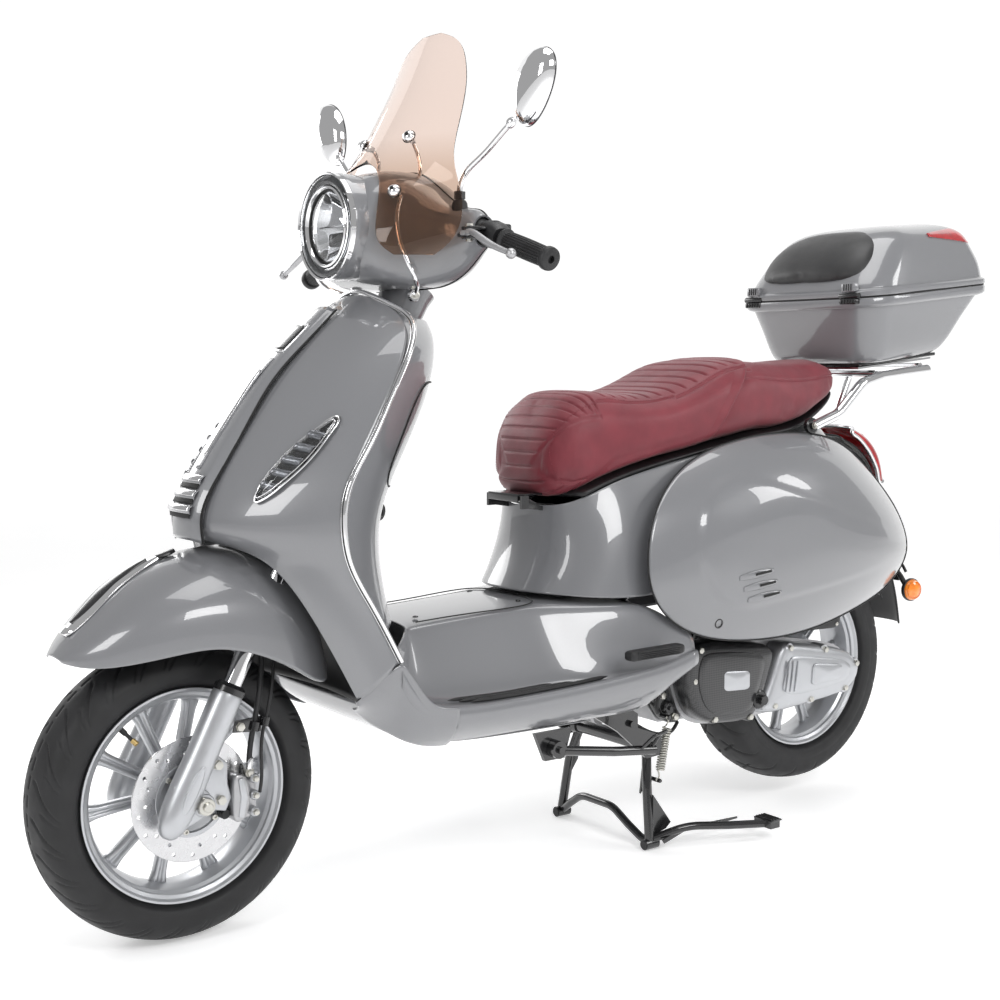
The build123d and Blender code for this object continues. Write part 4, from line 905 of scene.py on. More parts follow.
# ---------------------------------------------------------- inner shield ---
INNER = [
    ((0, -216, 946), (95, -332, 962)), ((0, -212, 925), (142, -337, 938)), ((0, -214, 885), (174, -360, 894)), ((0, -234, 822), (193, -404, 828)),
    ((0, -270, 757), (207, -452, 757)), ((0, -306, 694), (212, -490, 694)), ((0, -330, 640), (213, -498, 640)), ((0, -336, 585), (213, -487, 585)),
    ((0, -332, 530), (213, -457, 530)), ((0, -328, 482), (213, -427, 478)),
]
rows = []
for s, e in INNER:
    row = []
    for k in range(10):
        u = k / 9
        w = u ** 2.0
        row.append((e[0] * u, s[1] + (e[1] - s[1]) * w, s[2] + (e[2] - s[2]) * u))
    rows.append(list(reversed(row)))
v, f = mirrored([list(reversed(r)) for r in rows])
sheet("inner_shield_skin", v, f, 3, (0, -600, 700), "frame", "body_grey", ["inner_shield"], sub=3)

# Glove box door outline, its lock and the bag hook, on the rider's side.
def inner_pt(x, z, lift=0.0):
    ys, zs_ = [], []
    for s_, e_ in INNER:
        u = abs(x) / e_[0]
        ys.append(s_[1] + (e_[1] - s_[1]) * u * u); zs_.append(s_[2] + (e_[2] - s_[2]) * u)
    return (x, float(np.interp(z, zs_[::-1], ys[::-1])) + lift, z)


loop = [inner_pt(x, z, 1.2) for x, z in ((-120, 846), (-60, 852), (0, 854), (60, 852), (120, 846), (138, 820), (142, 770), (136, 716), (118, 694), (60, 686), (0, 684), (-60, 686), (-118, 694), (-136, 716), (-142, 770), (-138, 820))]
# the door's outline is a near-black tube: painted shade in the door's gap
tube("glove_box_line", loop, 1.4, "frame", "dark_gap", n=160, seg=8, closed=True)
p = inner_pt(0, 812)
turned("glove_box_lock", [(-3, 13), (3, 13), (5, 11), (5, 4), (3.4, 3.6), (3.4, 0)], p, (0, 1, 0.5), "frame", "chrome", seg=40)
p = inner_pt(0, 884)
turned("ignition_switch", [(-4, 17), (6, 17), (9, 14), (9, 6), (6, 5), (6, 0)], p, (0, 1, 0.35), "frame", "black_plastic", seg=40)
hp = inner_pt(0, 655)
tube("bag_hook", [(0, hp[1] - 2, 655), (0, hp[1] + 16, 652), (0, hp[1] + 26, 640), (0, hp[1] + 20, 626), (0, hp[1] + 10, 628)], [6, 5, 4.4, 4, 4], "frame", "satin_black", n=40, seg=14)

# Chrome edge trim: a round bead with a finer bead beside it.
TRIM = [(0, -347, 999), (60, -345, 988), (106, -338, 972), (154, -337, 948), (187, -362, 902), (207, -407, 837), (221, -456, 763), (226, -497, 698), (226.5, -504, 640), (226.5, -494, 588), (226, -456, 520), (225.5, -406, 432)]
full = [(-x, y, z) for x, y, z in TRIM[:0:-1]] + TRIM
tube("shield_trim_bead", full, 3.6, "frame", "chrome", ["shield_trim"], n=260, seg=14)
fine = [(x - 5.0 * np.sign(x) * min(1, abs(x) / 60), y - 3.2, z - 1.0) for x, y, z in full]
tube("shield_trim_line", fine, 1.5, "frame", "chrome_soft", n=260, seg=10)
# the seal line is near-black: the black of a seal together with painted shade of the crevice between the beads
tube("shield_trim_seal", [(x - 2.6 * np.sign(x) * min(1, abs(x) / 60), y - 2.6, z - 1.2) for x, y, z in full], 1.5, "frame", "dark_gap", n=260, seg=8)

# ------------------------------------------------------------ lower body ---
FLOOR = [
    (-404, 112, 462, 168, 428, 424, 352), (-384, 110, 460, 170, 392, 392, 318), (-350, 108, 458, 170, 355, 355, 292), (-300, 108, 460, 170, 344, 346, 278),
    (-180, 108, 466, 170, 342, 345, 277), (-60, 112, 472, 172, 346, 349, 276), (-20, 140, 472, 190, 348, 351, 276), (40, 172, 470, 203, 352, 355, 275),
    (120, 198, 470, 211, 358, 361, 275), (170, 206, 440, 213, 366, 369, 300), (215, 208, 412, 214, 378, 382, 330),
]
rows = []
for y, xt, zt, xf, zf, ze, zb in FLOOR:
    yc = y if y > -310 else -322 + (y + 404) * 0.1
    ym = (y + yc) / 2
    rows.append([(0, yc, zt + 6), (xt * 0.6, yc, zt + 4), (xt * 0.93, yc, zt - 0.5), (xt, yc, zt - 6), ((xt + xf) / 2 + 4, ym, (zt + zf) / 2 - 16), (xf, y, zf), (xf + (215 - xf) * 0.5, y, zf + 0.5), (215, y, zf + 1), (221, y, ze - 1.5),
                 (225, y, ze - 10), (225.5, y, ze - 26), (213, y, (ze + zb) / 2 - 10), (186, y, zb + 4)])
v, f = mirrored([list(reversed(r)) for r in rows])
sheet("floorboard_skin", v, f, 3, (0, -100, 250), "frame", "body_grey", ["floorboard"], sub=2)

BELLY = [(-430, 356, 0.96), (-418, 334, 1.0), (-400, 314, 1.0), (-350, 285, 1.0), (-290, 270, 1), (-170, 266, 1), (-60, 265, 1), (10, 264, 1)]
v, f = mirrored([[(0, y, zb - 2), (90 * w, y, zb - 1), (146 * w, y, zb), (174 * w, y, zb + 8)] for y, zb, w in BELLY])
sheet("belly_cover", v, f, 3, (0, -200, 500), "frame", "body_grey", ["belly_pan"], sub=2)
rows = []
for y, z, hw, ye in ((-402, 604, 118, -432), (-404, 570, 146, -436), (-402, 520, 168, -468), (-398, 456, 190, -470), (-404, 388, 200, -448), (-428, 362, 176, -456)):
    rows.append([(0, y, z), (hw * 0.5, y - 6, z), (hw * 0.85, y + (ye - y) * 0.5, z), (hw, ye, z)])
v, f = mirrored(rows)
sheet("splash_panel", v, f, 3, (0, -200, 500), "frame", "black_plastic", sub=2)
# Lower side fairing: from the shield's lower edge round to the floor's side and down to the belly.
CHEEK = [
    (-482, 378, 216.5, -466, 358, 178), (-462, 392, 218, -452, 346, 174), (-440, 407, 220, -436, 333, 172), (-420, 421, 221.6, -420, 322, 172), (-405, 430, 222.8, -404, 313, 175),
    (-394, 420, 224.0, -390, 304, 179), (-380, 398, 225.2, -378, 297, 182), (-362, 372, 226.2, -362, 290, 184), (-344, 354, 226.8, -344, 284, 186), (-322, 349, 227.0, -322, 280, 187), (-300, 346, 226.6, -300, 279, 187),
]
for s, side in ((1, "left"), (-1, "right")):
    rows = []
    for yt, zt, xt, yb, zb, xb in CHEEK:
        row = []
        for u in (0, 0.15, 0.35, 0.55, 0.75, 0.9, 1.0):
            row.append((s * (xb + (xt - xb) * (1 - u ** 2.6)), yt + (yb - yt) * u, zt + (zb - zt) * u ** 0.92))
        rows.append(row)
    sheet(f"{side}_lower_cheek", [p for r in rows for p in r], grid_faces(len(rows), 7), 2.5, (0, -380, 420), "frame", "body_grey", sub=2)
    # the seam is a near-black tube: painted shade in the panel gap
    tube(f"{side}_cheek_seam", [(s * (xt + 0.4), yt, zt + 0.4) for yt, zt, xt, yb, zb, xb in CHEEK[:5]], 0.9, "frame", "dark_gap", n=40, seg=8)


def floor_z(y):
    for a, b_ in zip(FLOOR, FLOOR[1:]):
        if a[0] <= y <= b_[0]:
            return a[4] + (b_[4] - a[4]) * (y - a[0]) / (b_[0] - a[0])
    return FLOOR[-1][4]


# Rubber floor strips with rounded ends.
for s, side in ((1, "left"), (-1, "right")):
    obs = []
    for x0, y0, y1 in ((178, -292, -80), (190, -276, -45), (202, -262, 20)):
        pts = [(s * (x0 + 4 * u), y0 + (y1 - y0) * u, floor_z(y0 + (y1 - y0) * u) + 3.4) for u in np.linspace(0, 1, 9)]
        obs.append(tube("strip", pts, [0.5, 3.4] + [3.9] * 14 + [3.4, 0.5], "frame", "rubber", n=60, seg=12))
    join(f"{side}_floor_strips", obs)
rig.replaces(bpy.data.objects["left_floor_strips"], "floor_strips")
# Tunnel cover line, a near-black tube of painted shade in the cover's gap, and its screws.
tube("tunnel_line", [(-96, -296, 463.5), (-98, -180, 468), (-98, -60, 474.5), (-60, -44, 478), (0, -42, 479.5), (60, -44, 478), (98, -60, 474.5), (98, -180, 468), (96, -296, 463.5)], 1.1, "frame", "dark_gap", n=120, seg=8)
for k, (x, y) in enumerate(((70, -280), (-70, -280), (72, -70), (-72, -70))):
    bolt(f"tunnel_screw_{k}", (x, y, 466 + (y + 300) * 0.034), (0, 0, 1), 5, "frame", "satin_black", "socket", h=1.6)

# --------------------------------------------------------------- seat tub --
TUB = [
    ((0, -8, 634), (0, -58, 488)), ((60, 0, 634), (70, -46, 487)), ((98, 20, 640), (112, -16, 485)), ((120, 52, 655), (146, 16, 482)),
    ((130, 100, 677), (172, 60, 479)), ((134, 154, 690), (184, 125, 477)), ((134, 250, 711), (176, 200, 484)), ((134, 340, 725), (170, 300, 486)),
    ((130, 450, 742), (166, 420, 492)), ((122, 560, 747), (158, 560, 500)), ((106, 630, 753), (146, 690, 512)), ((80, 674, 764), (116, 800, 545)),
    ((42, 692, 772), (66, 850, 590)), ((0, 698, 774), (0, 866, 618)),
]
rows = []
for t_, b_ in TUB:
    row = []
    for k in range(7):
        u = k / 6
        q = tuple(a + (c - a) * u for a, c in zip(t_, b_))
        y = q[1] + (0 if t_[1] > 60 else 14 * math.sin(math.pi * u) * (1 - max(0, t_[1]) / 60))
        x = q[0] + (10 * math.sin(math.pi * u) if t_[1] > 60 and t_[0] > 1 else -4 * math.sin(math.pi * u) if t_[0] > 1 else 0)
        z = q[2] + (16 * math.sin(math.pi * u) if t_[1] > 640 else 0)
        row.append((x, y, z))
    rows.append(row)
rows = [[r[k] for r in rows] for k in range(7)]
v, f = mirrored(rows)
sheet("seat_tub_skin", v, f, 3, (0, 300, 600), "frame", "body_grey", ["seat_tub"], sub=3)

# Side cowls, with the raised teardrop, three vents and a screw.
COWL = [
    (150, 358, 739), (160, 235, 700), (188, 156, 649), (202, 120, 601), (214, 106, 519), (216, 123, 469), (217, 176, 424), (217, 244, 397),
    (216, 329, 383), (208, 449, 377), (194, 587, 388), (175, 716, 412), (148, 828, 444), (122, 905, 505), (112, 896, 560), (112, 838, 627), (118, 734, 705), (132, 635, 741), (144, 500, 752),
]
CC = (238, 400, 560)
RIMS = spline(COWL, 96, closed=True)


def cowl_pt(fct, j):
    x, y, z = RIMS[j]
    return (CC[0] + (x - CC[0]) * (fct ** 3.2), CC[1] + (y - CC[1]) * fct, CC[2] + (z - CC[2]) * fct)


def bulge(y, z):
    """Height of the raised teardrop: a disc at the front running out to a point behind."""
    cy, cz = 330.0, 565.0
    dy, dz = y - cy, z - cz
    r = 118.0
    if dy > 0:
        r = 118.0 * max(0.0, 1 - dy / 520.0) ** 0.8
        d = abs(dz + dy * 0.10) / max(r, 1.0)
        if dy > 520:
            return 0.0
    else:
        d = math.hypot(dy, dz) / r
    t_ = min(1.0, max(0.0, (1.08 - d) / 0.16))
    return 5.0 * t_ * t_ * (3 - 2 * t_) * (1.0 if dy < 0 else max(0.0, 1 - dy / 520.0))


RIMS[:, 0] += 0.0
FR = list(np.linspace(1.0, 0.04, 44))
for s, side in ((1, "left"), (-1, "right")):
    verts = []
    for fct in FR:
        for j in range(96):
            x, y, z = cowl_pt(fct, j)
            verts.append((s * (x + bulge(y, z)), y, z))
    x, y, z = CC
    verts.append((s * (x + bulge(y, z)), y, z))
    faces = grid_faces(len(FR), 96, wrap=True)
    base = (len(FR) - 1) * 96
    faces += [(base + j, base + (j + 1) % 96, len(verts) - 1) for j in range(96)]
    sheet(f"{side}_cowl", verts, faces, 3, (0, 450, 560), "frame", "body_grey", ["side_cowls"] if s > 0 else [], sub=0)
    # the cowl's edge seam is near-black: painted shade in the gap round the cowl
    tube(f"{side}_cowl_seam", [(s * (p_[0] + 0.2), p_[1], p_[2]) for p_ in RIMS[::4]], 1.3, "frame", "dark_gap", n=200, seg=8, closed=True)


def cowl_x(y, z):
    """Outer x of the left cowl at (y, z)."""
    best = None
    lo_, hi_ = 0.0, 1.0
    ang = math.atan2(z - CC[2], y - CC[1])
    angs = np.arctan2(RIMS[:, 2] - CC[2], RIMS[:, 1] - CC[1])
    j = int(np.argmin(np.abs(np.angle(np.exp(1j * (angs - ang))))))
    rr = math.hypot(RIMS[j, 1] - CC[1], RIMS[j, 2] - CC[2])
    fct = min(1.0, math.hypot(y - CC[1], z - CC[2]) / rr)
    return CC[0] + (RIMS[j, 0] - CC[0]) * fct ** 3.2 + bulge(y, z)

# Three slanted vents and a fixing screw on each cowl.
for s, side in ((1, "left"), (-1, "right")):
    obs = []
    for k, (y0, z0) in enumerate(((296, 502), (308, 481), (320, 460))):
        y1, z1 = y0 + 84, z0 + 8
        rows = []
        for u in np.linspace(0, 1, 14):
            y, z = y0 + (y1 - y0) * u, z0 + (z1 - z0) * u
            hgt = 7.0 * (math.sin(math.pi * min(1, u * 1.15 + 0.02)) ** 0.5 if u * 1.15 < 1 else 0.3)
            hgt = 2.0 + 5.2 * math.sin(math.pi * min(1.0, 0.12 + 0.80 * u))
            rows.append([(s * (cowl_x(y, z + t_ * hgt) + 1.2 + 2.6 * (1 - t_ * t_) * u), y, z + t_ * hgt) for t_ in (-1, -0.5, 0, 0.5, 1)])
        v = [p_ for r in rows for p_ in r]
        obs.append(sheet("vent", v, grid_faces(14, 5), 1.5, (0, 400, 560), "frame", "body_grey", sub=1))
        # a near-black sheet inside each vent: painted shade in the slot
        dark = []
        for u in np.linspace(0.45, 0.92, 8):
            y, z = y0 + (y1 - y0) * u, z0 + (z1 - z0) * u
            dark.append([(s * (cowl_x(y, z) + 4.3), y, z + t_ * 2.2 + 0.6) for t_ in (-1, 0, 1)])
        sheet(f"{side}_vent_slot_{k}", [p_ for r in dark for p_ in r], grid_faces(8, 3), 0.8, (0, 400, 560), "frame", "dark_gap", sub=1)
    join(f"{side}_cowl_vents", obs)
    xx = cowl_x(262, 422)
    turned(f"{side}_cowl_screw", [(-2, 9), (1.0, 9), (1.4, 7), (-1.5, 6.2), (-1.5, 0)], (s * xx, 262, 422), (s, -0.1, -0.15), "frame", "satin_black", seg=32)

# ------------------------------------------------------------------ tail ---
lamp = []
for y, z, o_, u_ in ((800, 742, 10, 8), (836, 718, 26, 10), (872, 676, 30, 8), (890, 634, 22, 4)):
    pts = [(-62, y - 2, z - 1), (-57, y + o_ * 0.6, z + u_ * 0.7), (-36, y + o_ * 1.0, z + u_ * 1.15), (0, y + o_ * 1.15, z + u_ * 1.3), (36, y + o_ * 1.0, z + u_ * 1.15), (57, y + o_ * 0.6, z + u_ * 0.7), (62, y - 2, z - 1)]
    lamp.append(spline(pts, 33))
lamp = [spline([lamp[i][j] for i in range(4)], 24) for j in range(33)]
lamp = [[lamp[j][i] for j in range(33)] for i in range(24)]
ob = sheet("tail_lamp_lens", [tuple(p_) for r in lamp for p_ in r], grid_faces(24, 33), 4, (0, 700, 600), "frame", "red_lens", ["tail_lamp"], sub=0)
edge = [lamp[0][j] for j in range(0, 33, 4)] + [lamp[i][32] for i in range(3, 22, 4)] + [lamp[23][j] for j in range(32, -1, -4)] + [lamp[i][0] for i in range(21, 2, -4)]
tube("tail_lamp_surround", [tuple(p_) for p_ in edge], 4.0, "frame", "chrome", n=180, seg=12, closed=True)
for k in (6, 12, 18):
    tube(f"tail_lamp_rib_{k}", [(p_[0] * 0.96, p_[1] + 0.6, p_[2] + 0.4) for p_ in lamp[k][2:31:4]], 1.1, "frame", "red_lens", n=50, seg=8)
back = [[(lamp[i][j][0] * 0.95, lamp[i][16][1] - 34 - 6 * ((j - 16) / 16) ** 2, lamp[i][j][2] - 14) for j in range(0, 33, 4)] for i in range(0, 24, 3)]
sheet("tail_lamp_housing", [tuple(p_) for r in back for p_ in r], grid_faces(len(back), len(back[0])), 3, (0, 700, 600), "frame", "satin_black", sub=1)

guard = []
for y, z, hw in ((812, 606, 62), (868, 560, 66), (925, 482, 66), (962, 410, 64), (986, 330, 56)):
    guard.append([(0, y, z), (hw * 0.7, y - 3, z), (hw * 0.93, y - 9, z - 2), (hw, y - 16, z - 4)])
v, f = mirrored(guard)
sheet("rear_mudflap", v, f, 3.6, (0, 700, 300), "frame", "black_plastic", ["plate_bracket"], sub=2, bevel=0.6)
block("plate_carrier", [(962.2, 420), (966, 420), (966, 452), (962.2, 452)], -58, 58, "frame", "satin_black", bevel=1.2, slot="black_plastic")
turned("plate_reflector", [(0, 0), (0, 17), (2, 18.5), (5, 18), (6, 0)], (0, 968, 398), (0, 1, 0.1), "frame", "red_lens", seg=40)
for s, side in ((1, "left"), (-1, "right")):
    tube(f"{side}_indicator_arm", [(s * 50, 944, 446), (s * 66, 930, 452), (s * 86, 928, 440), (s * 100, 927, 424), (s * 110, 928, 413)], 7.0, "frame", "satin_black", n=50, seg=18, rz=0.6)
    tube(f"{side}_arm_rib", [(s * 60, 934, 462), (s * 84, 930, 466), (s * 102, 930, 446)], 3.2, "frame", "satin_black", n=30, seg=12)
    bolt(f"{side}_plate_bolt", (s * 42.5, 966, 436), (0, 1, 0), 5.2, "frame", "zinc")

# Rear mudguard over the tyre, under the tail.
rows = []
for a_ in np.linspace(math.radians(28), math.radians(118), 20):
    r_ = 268
    rows.append([(x, 680 + (r_ - d) * math.cos(a_), 271 + (r_ - d) * math.sin(a_)) for x, d in ((0, 0), (34, 1), (56, 6), (68, 20))])
v, f = mirrored(rows)
sheet("rear_inner_guard", v, f, 2.5, (0, 680, 271), "frame", "black_plastic", sub=1)

# -------------------------------------------------------------- rack, box --
for s, side in ((1, "left"), (-1, "right")):
    turned(f"{side}_rack_foot", [(0, 0), (0, 15), (4, 16), (9, 15), (11, 12), (11, 0)], (s * 132, 592, 762), (s, -0.1, 0.1), "frame", "satin_black", seg=30)
    bolt(f"{side}_rack_bolt", (s * 146, 590, 763), (s, 0, 0.1), 6.5, "frame", "zinc")
block("carrier_gasket", [(766, 883), (1006, 906), (1006, 899.5), (766, 876.5)], -104, 104, "frame", "satin_black", bevel=2.0, slot="black_plastic")

BOX_TILT = math.radians(5.5)


def box_loop(z, hwf, hwr, y0, y1, rc=0.42, n=9, bow=0.0):
    out = []
    for ci, (sx, sy) in enumerate(((1, 1), (-1, 1), (-1, -1), (1, -1))):
        for k in range(n):
            a = math.radians(90 * (ci + k / (n - 1)))
            hw = hwr if sy > 0 else hwf
            r2 = hw * rc
            ex = hw * (1 - rc) * sx + hw * rc * math.cos(a)
            ey = (y0 + y1) / 2 + ((y1 - y0) / 2 - r2) * sy + r2 * math.sin(a)
            out.append((ex, ey, z + (ey - 900) * math.tan(BOX_TILT)))
    return out


def smooth_loops(secs, n):
    P = spline(secs, n)
    return [box_loop(*row) for row in P]


base = smooth_loops([(894, 128, 100, 764, 1010), (903, 140, 112, 748, 1034), (930, 151, 122, 735, 1062), (960, 160, 130, 726, 1084), (990, 170, 139, 716, 1108), (1012, 178, 146, 709, 1126)], 16)
base = [box_loop(893, 96, 72, 790, 976)] + base
n4 = len(base[0])
verts = [p_ for lp in base for p_ in lp]
faces = grid_faces(len(base), n4, wrap=True) + [tuple(range(n4))]
ob = sheet("box_base", verts, faces, 4, (0, 900, 960), "frame", "body_grey", ["top_box_base"], sub=1)
flange = [box_loop(1008, 179, 147, 708, 1128), box_loop(1011, 187, 154, 702, 1137), box_loop(1014, 189.5, 156, 700, 1140.5), box_loop(1024, 190, 156.3, 699.8, 1141), box_loop(1027.5, 188.6, 155, 701, 1139.6), box_loop(1027.5, 178, 146, 709, 1128)]
ob = mesh_obj("box_base_rim", [p_ for lp in flange for p_ in lp], grid_faces(6, n4, wrap=True), "frame", "body_grey")
outward(ob, (0, 900, 1018)); mod(ob, "SOLIDIFY", thickness=0.0015, offset=-1); apply_all(ob); sharp(ob, 40)
lid = smooth_loops([(1044, 183, 151, 707, 1133), (1056, 181, 149, 712, 1131), (1075, 177, 145, 726, 1127), (1095, 171, 139, 742, 1118), (1118, 162, 131, 762, 1106), (1138, 150, 121, 782, 1092), (1152, 132, 105, 802, 1072), (1161, 106, 82, 828, 1044), (1166, 70, 54, 862, 1008)], 26)
lid.append(box_loop(1167.5, 30, 24, 900, 970))
verts = [p_ for lp in lid for p_ in lp]
faces = grid_faces(len(lid), n4, wrap=True) + [tuple(range((len(lid) - 1) * n4, len(lid) * n4))]
sheet("box_lid", verts, faces, 4, (0, 900, 1060), "box_lid", "body_grey", ["top_box_lid"], sub=1)
flange = [box_loop(1046, 181, 149, 709, 1131), box_loop(1043, 186.5, 153, 703, 1137), box_loop(1040.5, 189.6, 156, 700.2, 1140.6), box_loop(1033, 190, 156.3, 699.8, 1141), box_loop(1031, 188.6, 155, 701, 1139.6), box_loop(1031, 178, 146, 709, 1128)]
ob = mesh_obj("box_lid_rim", [p_ for lp in flange for p_ in lp], grid_faces(6, n4, wrap=True), "box_lid", "body_grey")
outward(ob, (0, 900, 1038)); mod(ob, "SOLIDIFY", thickness=0.0015, offset=-1); apply_all(ob); sharp(ob, 40)
# the line between lid and base is near-black: the seal's black together with painted shade of the gap
gl = box_loop(1029.3, 186.5, 153.5, 703, 1137.5, n=9)
tube("box_seal", [gl[k] for k in range(0, n4)], 1.6, "frame", "dark_gap", n=240, seg=8, closed=True)
# Front corner hinges, the lid's red side lenses, the rear latch.
for s, side in ((1, "left"), (-1, "right")):
    hx, hy, hz = s * 128, 703, 1018
    cube(f"{side}_hinge_lower", (hx, hy + 3, 1003.5), (42, 18, 11), "frame", "satin_black", bevel=3.0, slot="body_grey")
    cube(f"{side}_hinge_upper", (hx, hy + 3, 1031), (34, 16, 18), "box_lid", "body_grey", bevel=3.0)
    turned(f"{side}_hinge_pin", [(-24, 0), (-24, 5.6), (-22, 6.4), (22, 6.4), (24, 5.6), (24, 0)], (hx, hy + 1.5, 1014.5), (1, 0, 0), "frame", "satin_black", seg=30)
    # near-black slots and grooves on the hinges: painted shade in the recesses
    for k in range(4):
        cube(f"{side}_hinge_slot_{k}", (hx - 9 + 6 * k, hy - 5.2, 1031), (2.2, 1.6, 13), "box_lid", "dark_gap", bevel=0.3)
    for k in range(5):
        cube(f"{side}_hinge_rib_{k}", (hx - 14 + 7 * k, hy - 6.2, 1003), (2.4, 2.0, 8), "frame", "dark_gap", bevel=0.4)
# side lenses follow the lid's loops
L2 = np.array(lid)
def lid_pt(yq, zq_frac, s):
    """A point on the lid's side at distance along y and height fraction."""
    i = zq_frac * (len(lid) - 2)
    i0 = int(i); w = i - i0
    best = []
    for ii in (i0, min(i0 + 1, len(lid) - 2)):
        lp = L2[ii]
        side_ = lp[lp[:, 0] > 0.5]
        side_ = side_[np.argsort(side_[:, 1])]
        xs = np.interp(yq, side_[:, 1], side_[:, 0]); z_ = np.interp(yq, side_[:, 1], side_[:, 2])
        best.append((xs, z_))
    x = best[0][0] * (1 - w) + best[1][0] * w
    z = best[0][1] * (1 - w) + best[1][1] * w
    return (s * x, yq, z)
for s, side in ((1, "left"), (-1, "right")):
    rows = []
    for u in np.linspace(0, 1, 12):
        yq = 930 + u * 160
        lo_, hi_ = 0.50 - 0.12 * u, 0.56 + 0.12 * u
        rows.append([tuple(np.array(lid_pt(yq, lo_ + (hi_ - lo_) * t_, s)) + np.array((s * (2.2 + 1.4 * math.sin(math.pi * t_)), 0, 0.6))) for t_ in np.linspace(0, 1, 6)])
    sheet(f"{side}_box_lens", [p_ for r in rows for p_ in r], grid_faces(12, 6), 2.4, (0, 980, 1050), "box_lid", "red_lens", sub=1, bevel=0.5)
cube("box_latch", (0, 1143, 1052), (58, 10, 34), "box_lid", "satin_black", bevel=4.0, slot="body_grey")
cube("box_latch_key", (0, 1148, 1052), (16, 3, 16), "box_lid", "chrome_soft", bevel=1.0)

# Backrest pad: black leatherette on the lid's front slope, a soft crowned shield shape.
PADC = [(1048, 128, 712), (1062, 139, 712), (1080, 141, 719), (1100, 139, 732), (1120, 131, 750), (1138, 116, 772), (1152, 88, 794), (1158, 50, 806)]


def pad_mesh(name):
    P = spline([(z, hw, y) for z, hw, y in PADC], 30)
    rows = []
    for i, (z, hw, y) in enumerate(P):
        i_ = i / 29
        row = []
        for u in np.linspace(-1, 1, 33):
            edge = (1 - abs(u) ** 6) ** 0.5 * (1 - (2 * i_ - 1) ** 8) ** 0.5
            wrap = 18 * abs(u) ** 3.0
            row.append((u * hw, y + 22 + wrap - 27.0 * edge, z - 8 - 1.5 * edge))
        rows.append(row)
    back = [[(p_[0] * 0.985, y_ + 38 + 18 * abs(p_[0] / max(1, hw_)) ** 3, p_[2]) for p_ in r] for r, (z_, hw_, y_) in zip(rows, P)]
    verts = [p_ for r in rows for p_ in r] + [p_ for r in back for p_ in r]
    nr, nc = 30, 33
    m_ = nr * nc
    faces = grid_faces(nr, nc) + [tuple(k + m_ for k in q[::-1]) for q in grid_faces(nr, nc)]
    ring = [j for j in range(nc)] + [i * nc + nc - 1 for i in range(1, nr)] + [(nr - 1) * nc + j for j in range(nc - 2, -1, -1)] + [i * nc for i in range(nr - 2, 0, -1)]
    for k in range(len(ring)):
        a, b_ = ring[k], ring[(k + 1) % len(ring)]
        faces.append((b_, a, a + m_, b_ + m_))
    ob = mesh_obj(name, verts, faces, "box_lid", "black_leather", ["backrest_pad"])
    clean(ob)
    return ob


def inflate(ob, voxel, pressure, cap, frames=20, pin=None):
    """Fills a closed cover with the cloth solver, and caps how far a point may move."""
    mod(ob, "REMESH", mode="VOXEL", voxel_size=voxel, use_smooth_shade=True)
    apply_all(ob)
    start = np.empty(len(ob.data.vertices) * 3); ob.data.vertices.foreach_get("co", start)
    start = start.reshape(-1, 3).copy()
    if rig.quick():
        return start
    if pin:
        vg = ob.vertex_groups.new(name="pin")
        for v_ in ob.data.vertices:
            w_ = pin(v_.co)
            if w_ > 0:
                vg.add([v_.index], w_, "REPLACE")
    c = ob.modifiers.new("cloth", "CLOTH")
    st = c.settings
    st.quality = 5; st.mass = 0.3
    st.tension_stiffness = 15; st.compression_stiffness = 15; st.shear_stiffness = 5; st.bending_stiffness = 0.5
    st.use_pressure = True; st.uniform_pressure_force = pressure
    st.effector_weights.gravity = 0
    if pin:
        st.vertex_group_mass = "pin"
    c.collision_settings.use_collision = False
    c.point_cache.frame_start = 1; c.point_cache.frame_end = frames
    for fr in range(1, frames + 1):
        scene.frame_set(fr)
    dg = bpy.context.evaluated_depsgraph_get()
    ev = ob.evaluated_get(dg).to_mesh()
    co = np.empty(len(ev.vertices) * 3); ev.vertices.foreach_get("co", co)
    co = co.reshape(-1, 3).copy()
    ob.evaluated_get(dg).to_mesh_clear()
    ob.modifiers.clear()
    d = co - start
    ln = np.linalg.norm(d, axis=1)
    k = np.where(ln > cap, cap / np.maximum(ln, 1e-9), 1.0)
    ob.data.vertices.foreach_set("co", (start + d * k[:, None]).reshape(-1))
    ob.data.update()
    scene.frame_set(1)
    return start


def relax(ob, times, factor=0.5):
    bm = bmesh.new(); bm.from_mesh(ob.data)
    for _ in range(times):
        bmesh.ops.smooth_vert(bm, verts=bm.verts, factor=factor, use_axis_x=True, use_axis_y=True, use_axis_z=True)
    bm.to_mesh(ob.data); bm.free()


def co_get(ob):
    a = np.empty(len(ob.data.vertices) * 3); ob.data.vertices.foreach_get("co", a)
    return a.reshape(-1, 3)


def co_set(ob, a):
    ob.data.vertices.foreach_set("co", a.reshape(-1)); ob.data.update()


def normals(ob):
    a = np.empty(len(ob.data.vertices) * 3); ob.data.vertices.foreach_get("normal", a)
    return a.reshape(-1, 3)


pad = pad_mesh("backrest_cover")
inflate(pad, 0.0045, 3.0, 0.003, frames=14)
relax(pad, 2)
mod(pad, "SUBSURF", levels=1, render_levels=1); apply_all(pad)
for p_ in pad.data.polygons:
    p_.use_smooth = True
c_ = co_get(pad); n_ = normals(pad)
pad_piece = pad
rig.padded(pad, fill=0.8)

# ------------------------------------------------------------------ seat ---
SEAT = [
    (-50, 40, 690, 735), (-42, 84, 664, 776), (-18, 112, 648, 812), (20, 130, 652, 829), (80, 142, 674, 834), (160, 152, 698, 826), (240, 156, 714, 834),
    (320, 156, 728, 862), (380, 154, 738, 884), (460, 148, 750, 886), (560, 135, 760, 881), (640, 121, 788, 884), (700, 100, 822, 888), (738, 50, 850, 886),
]


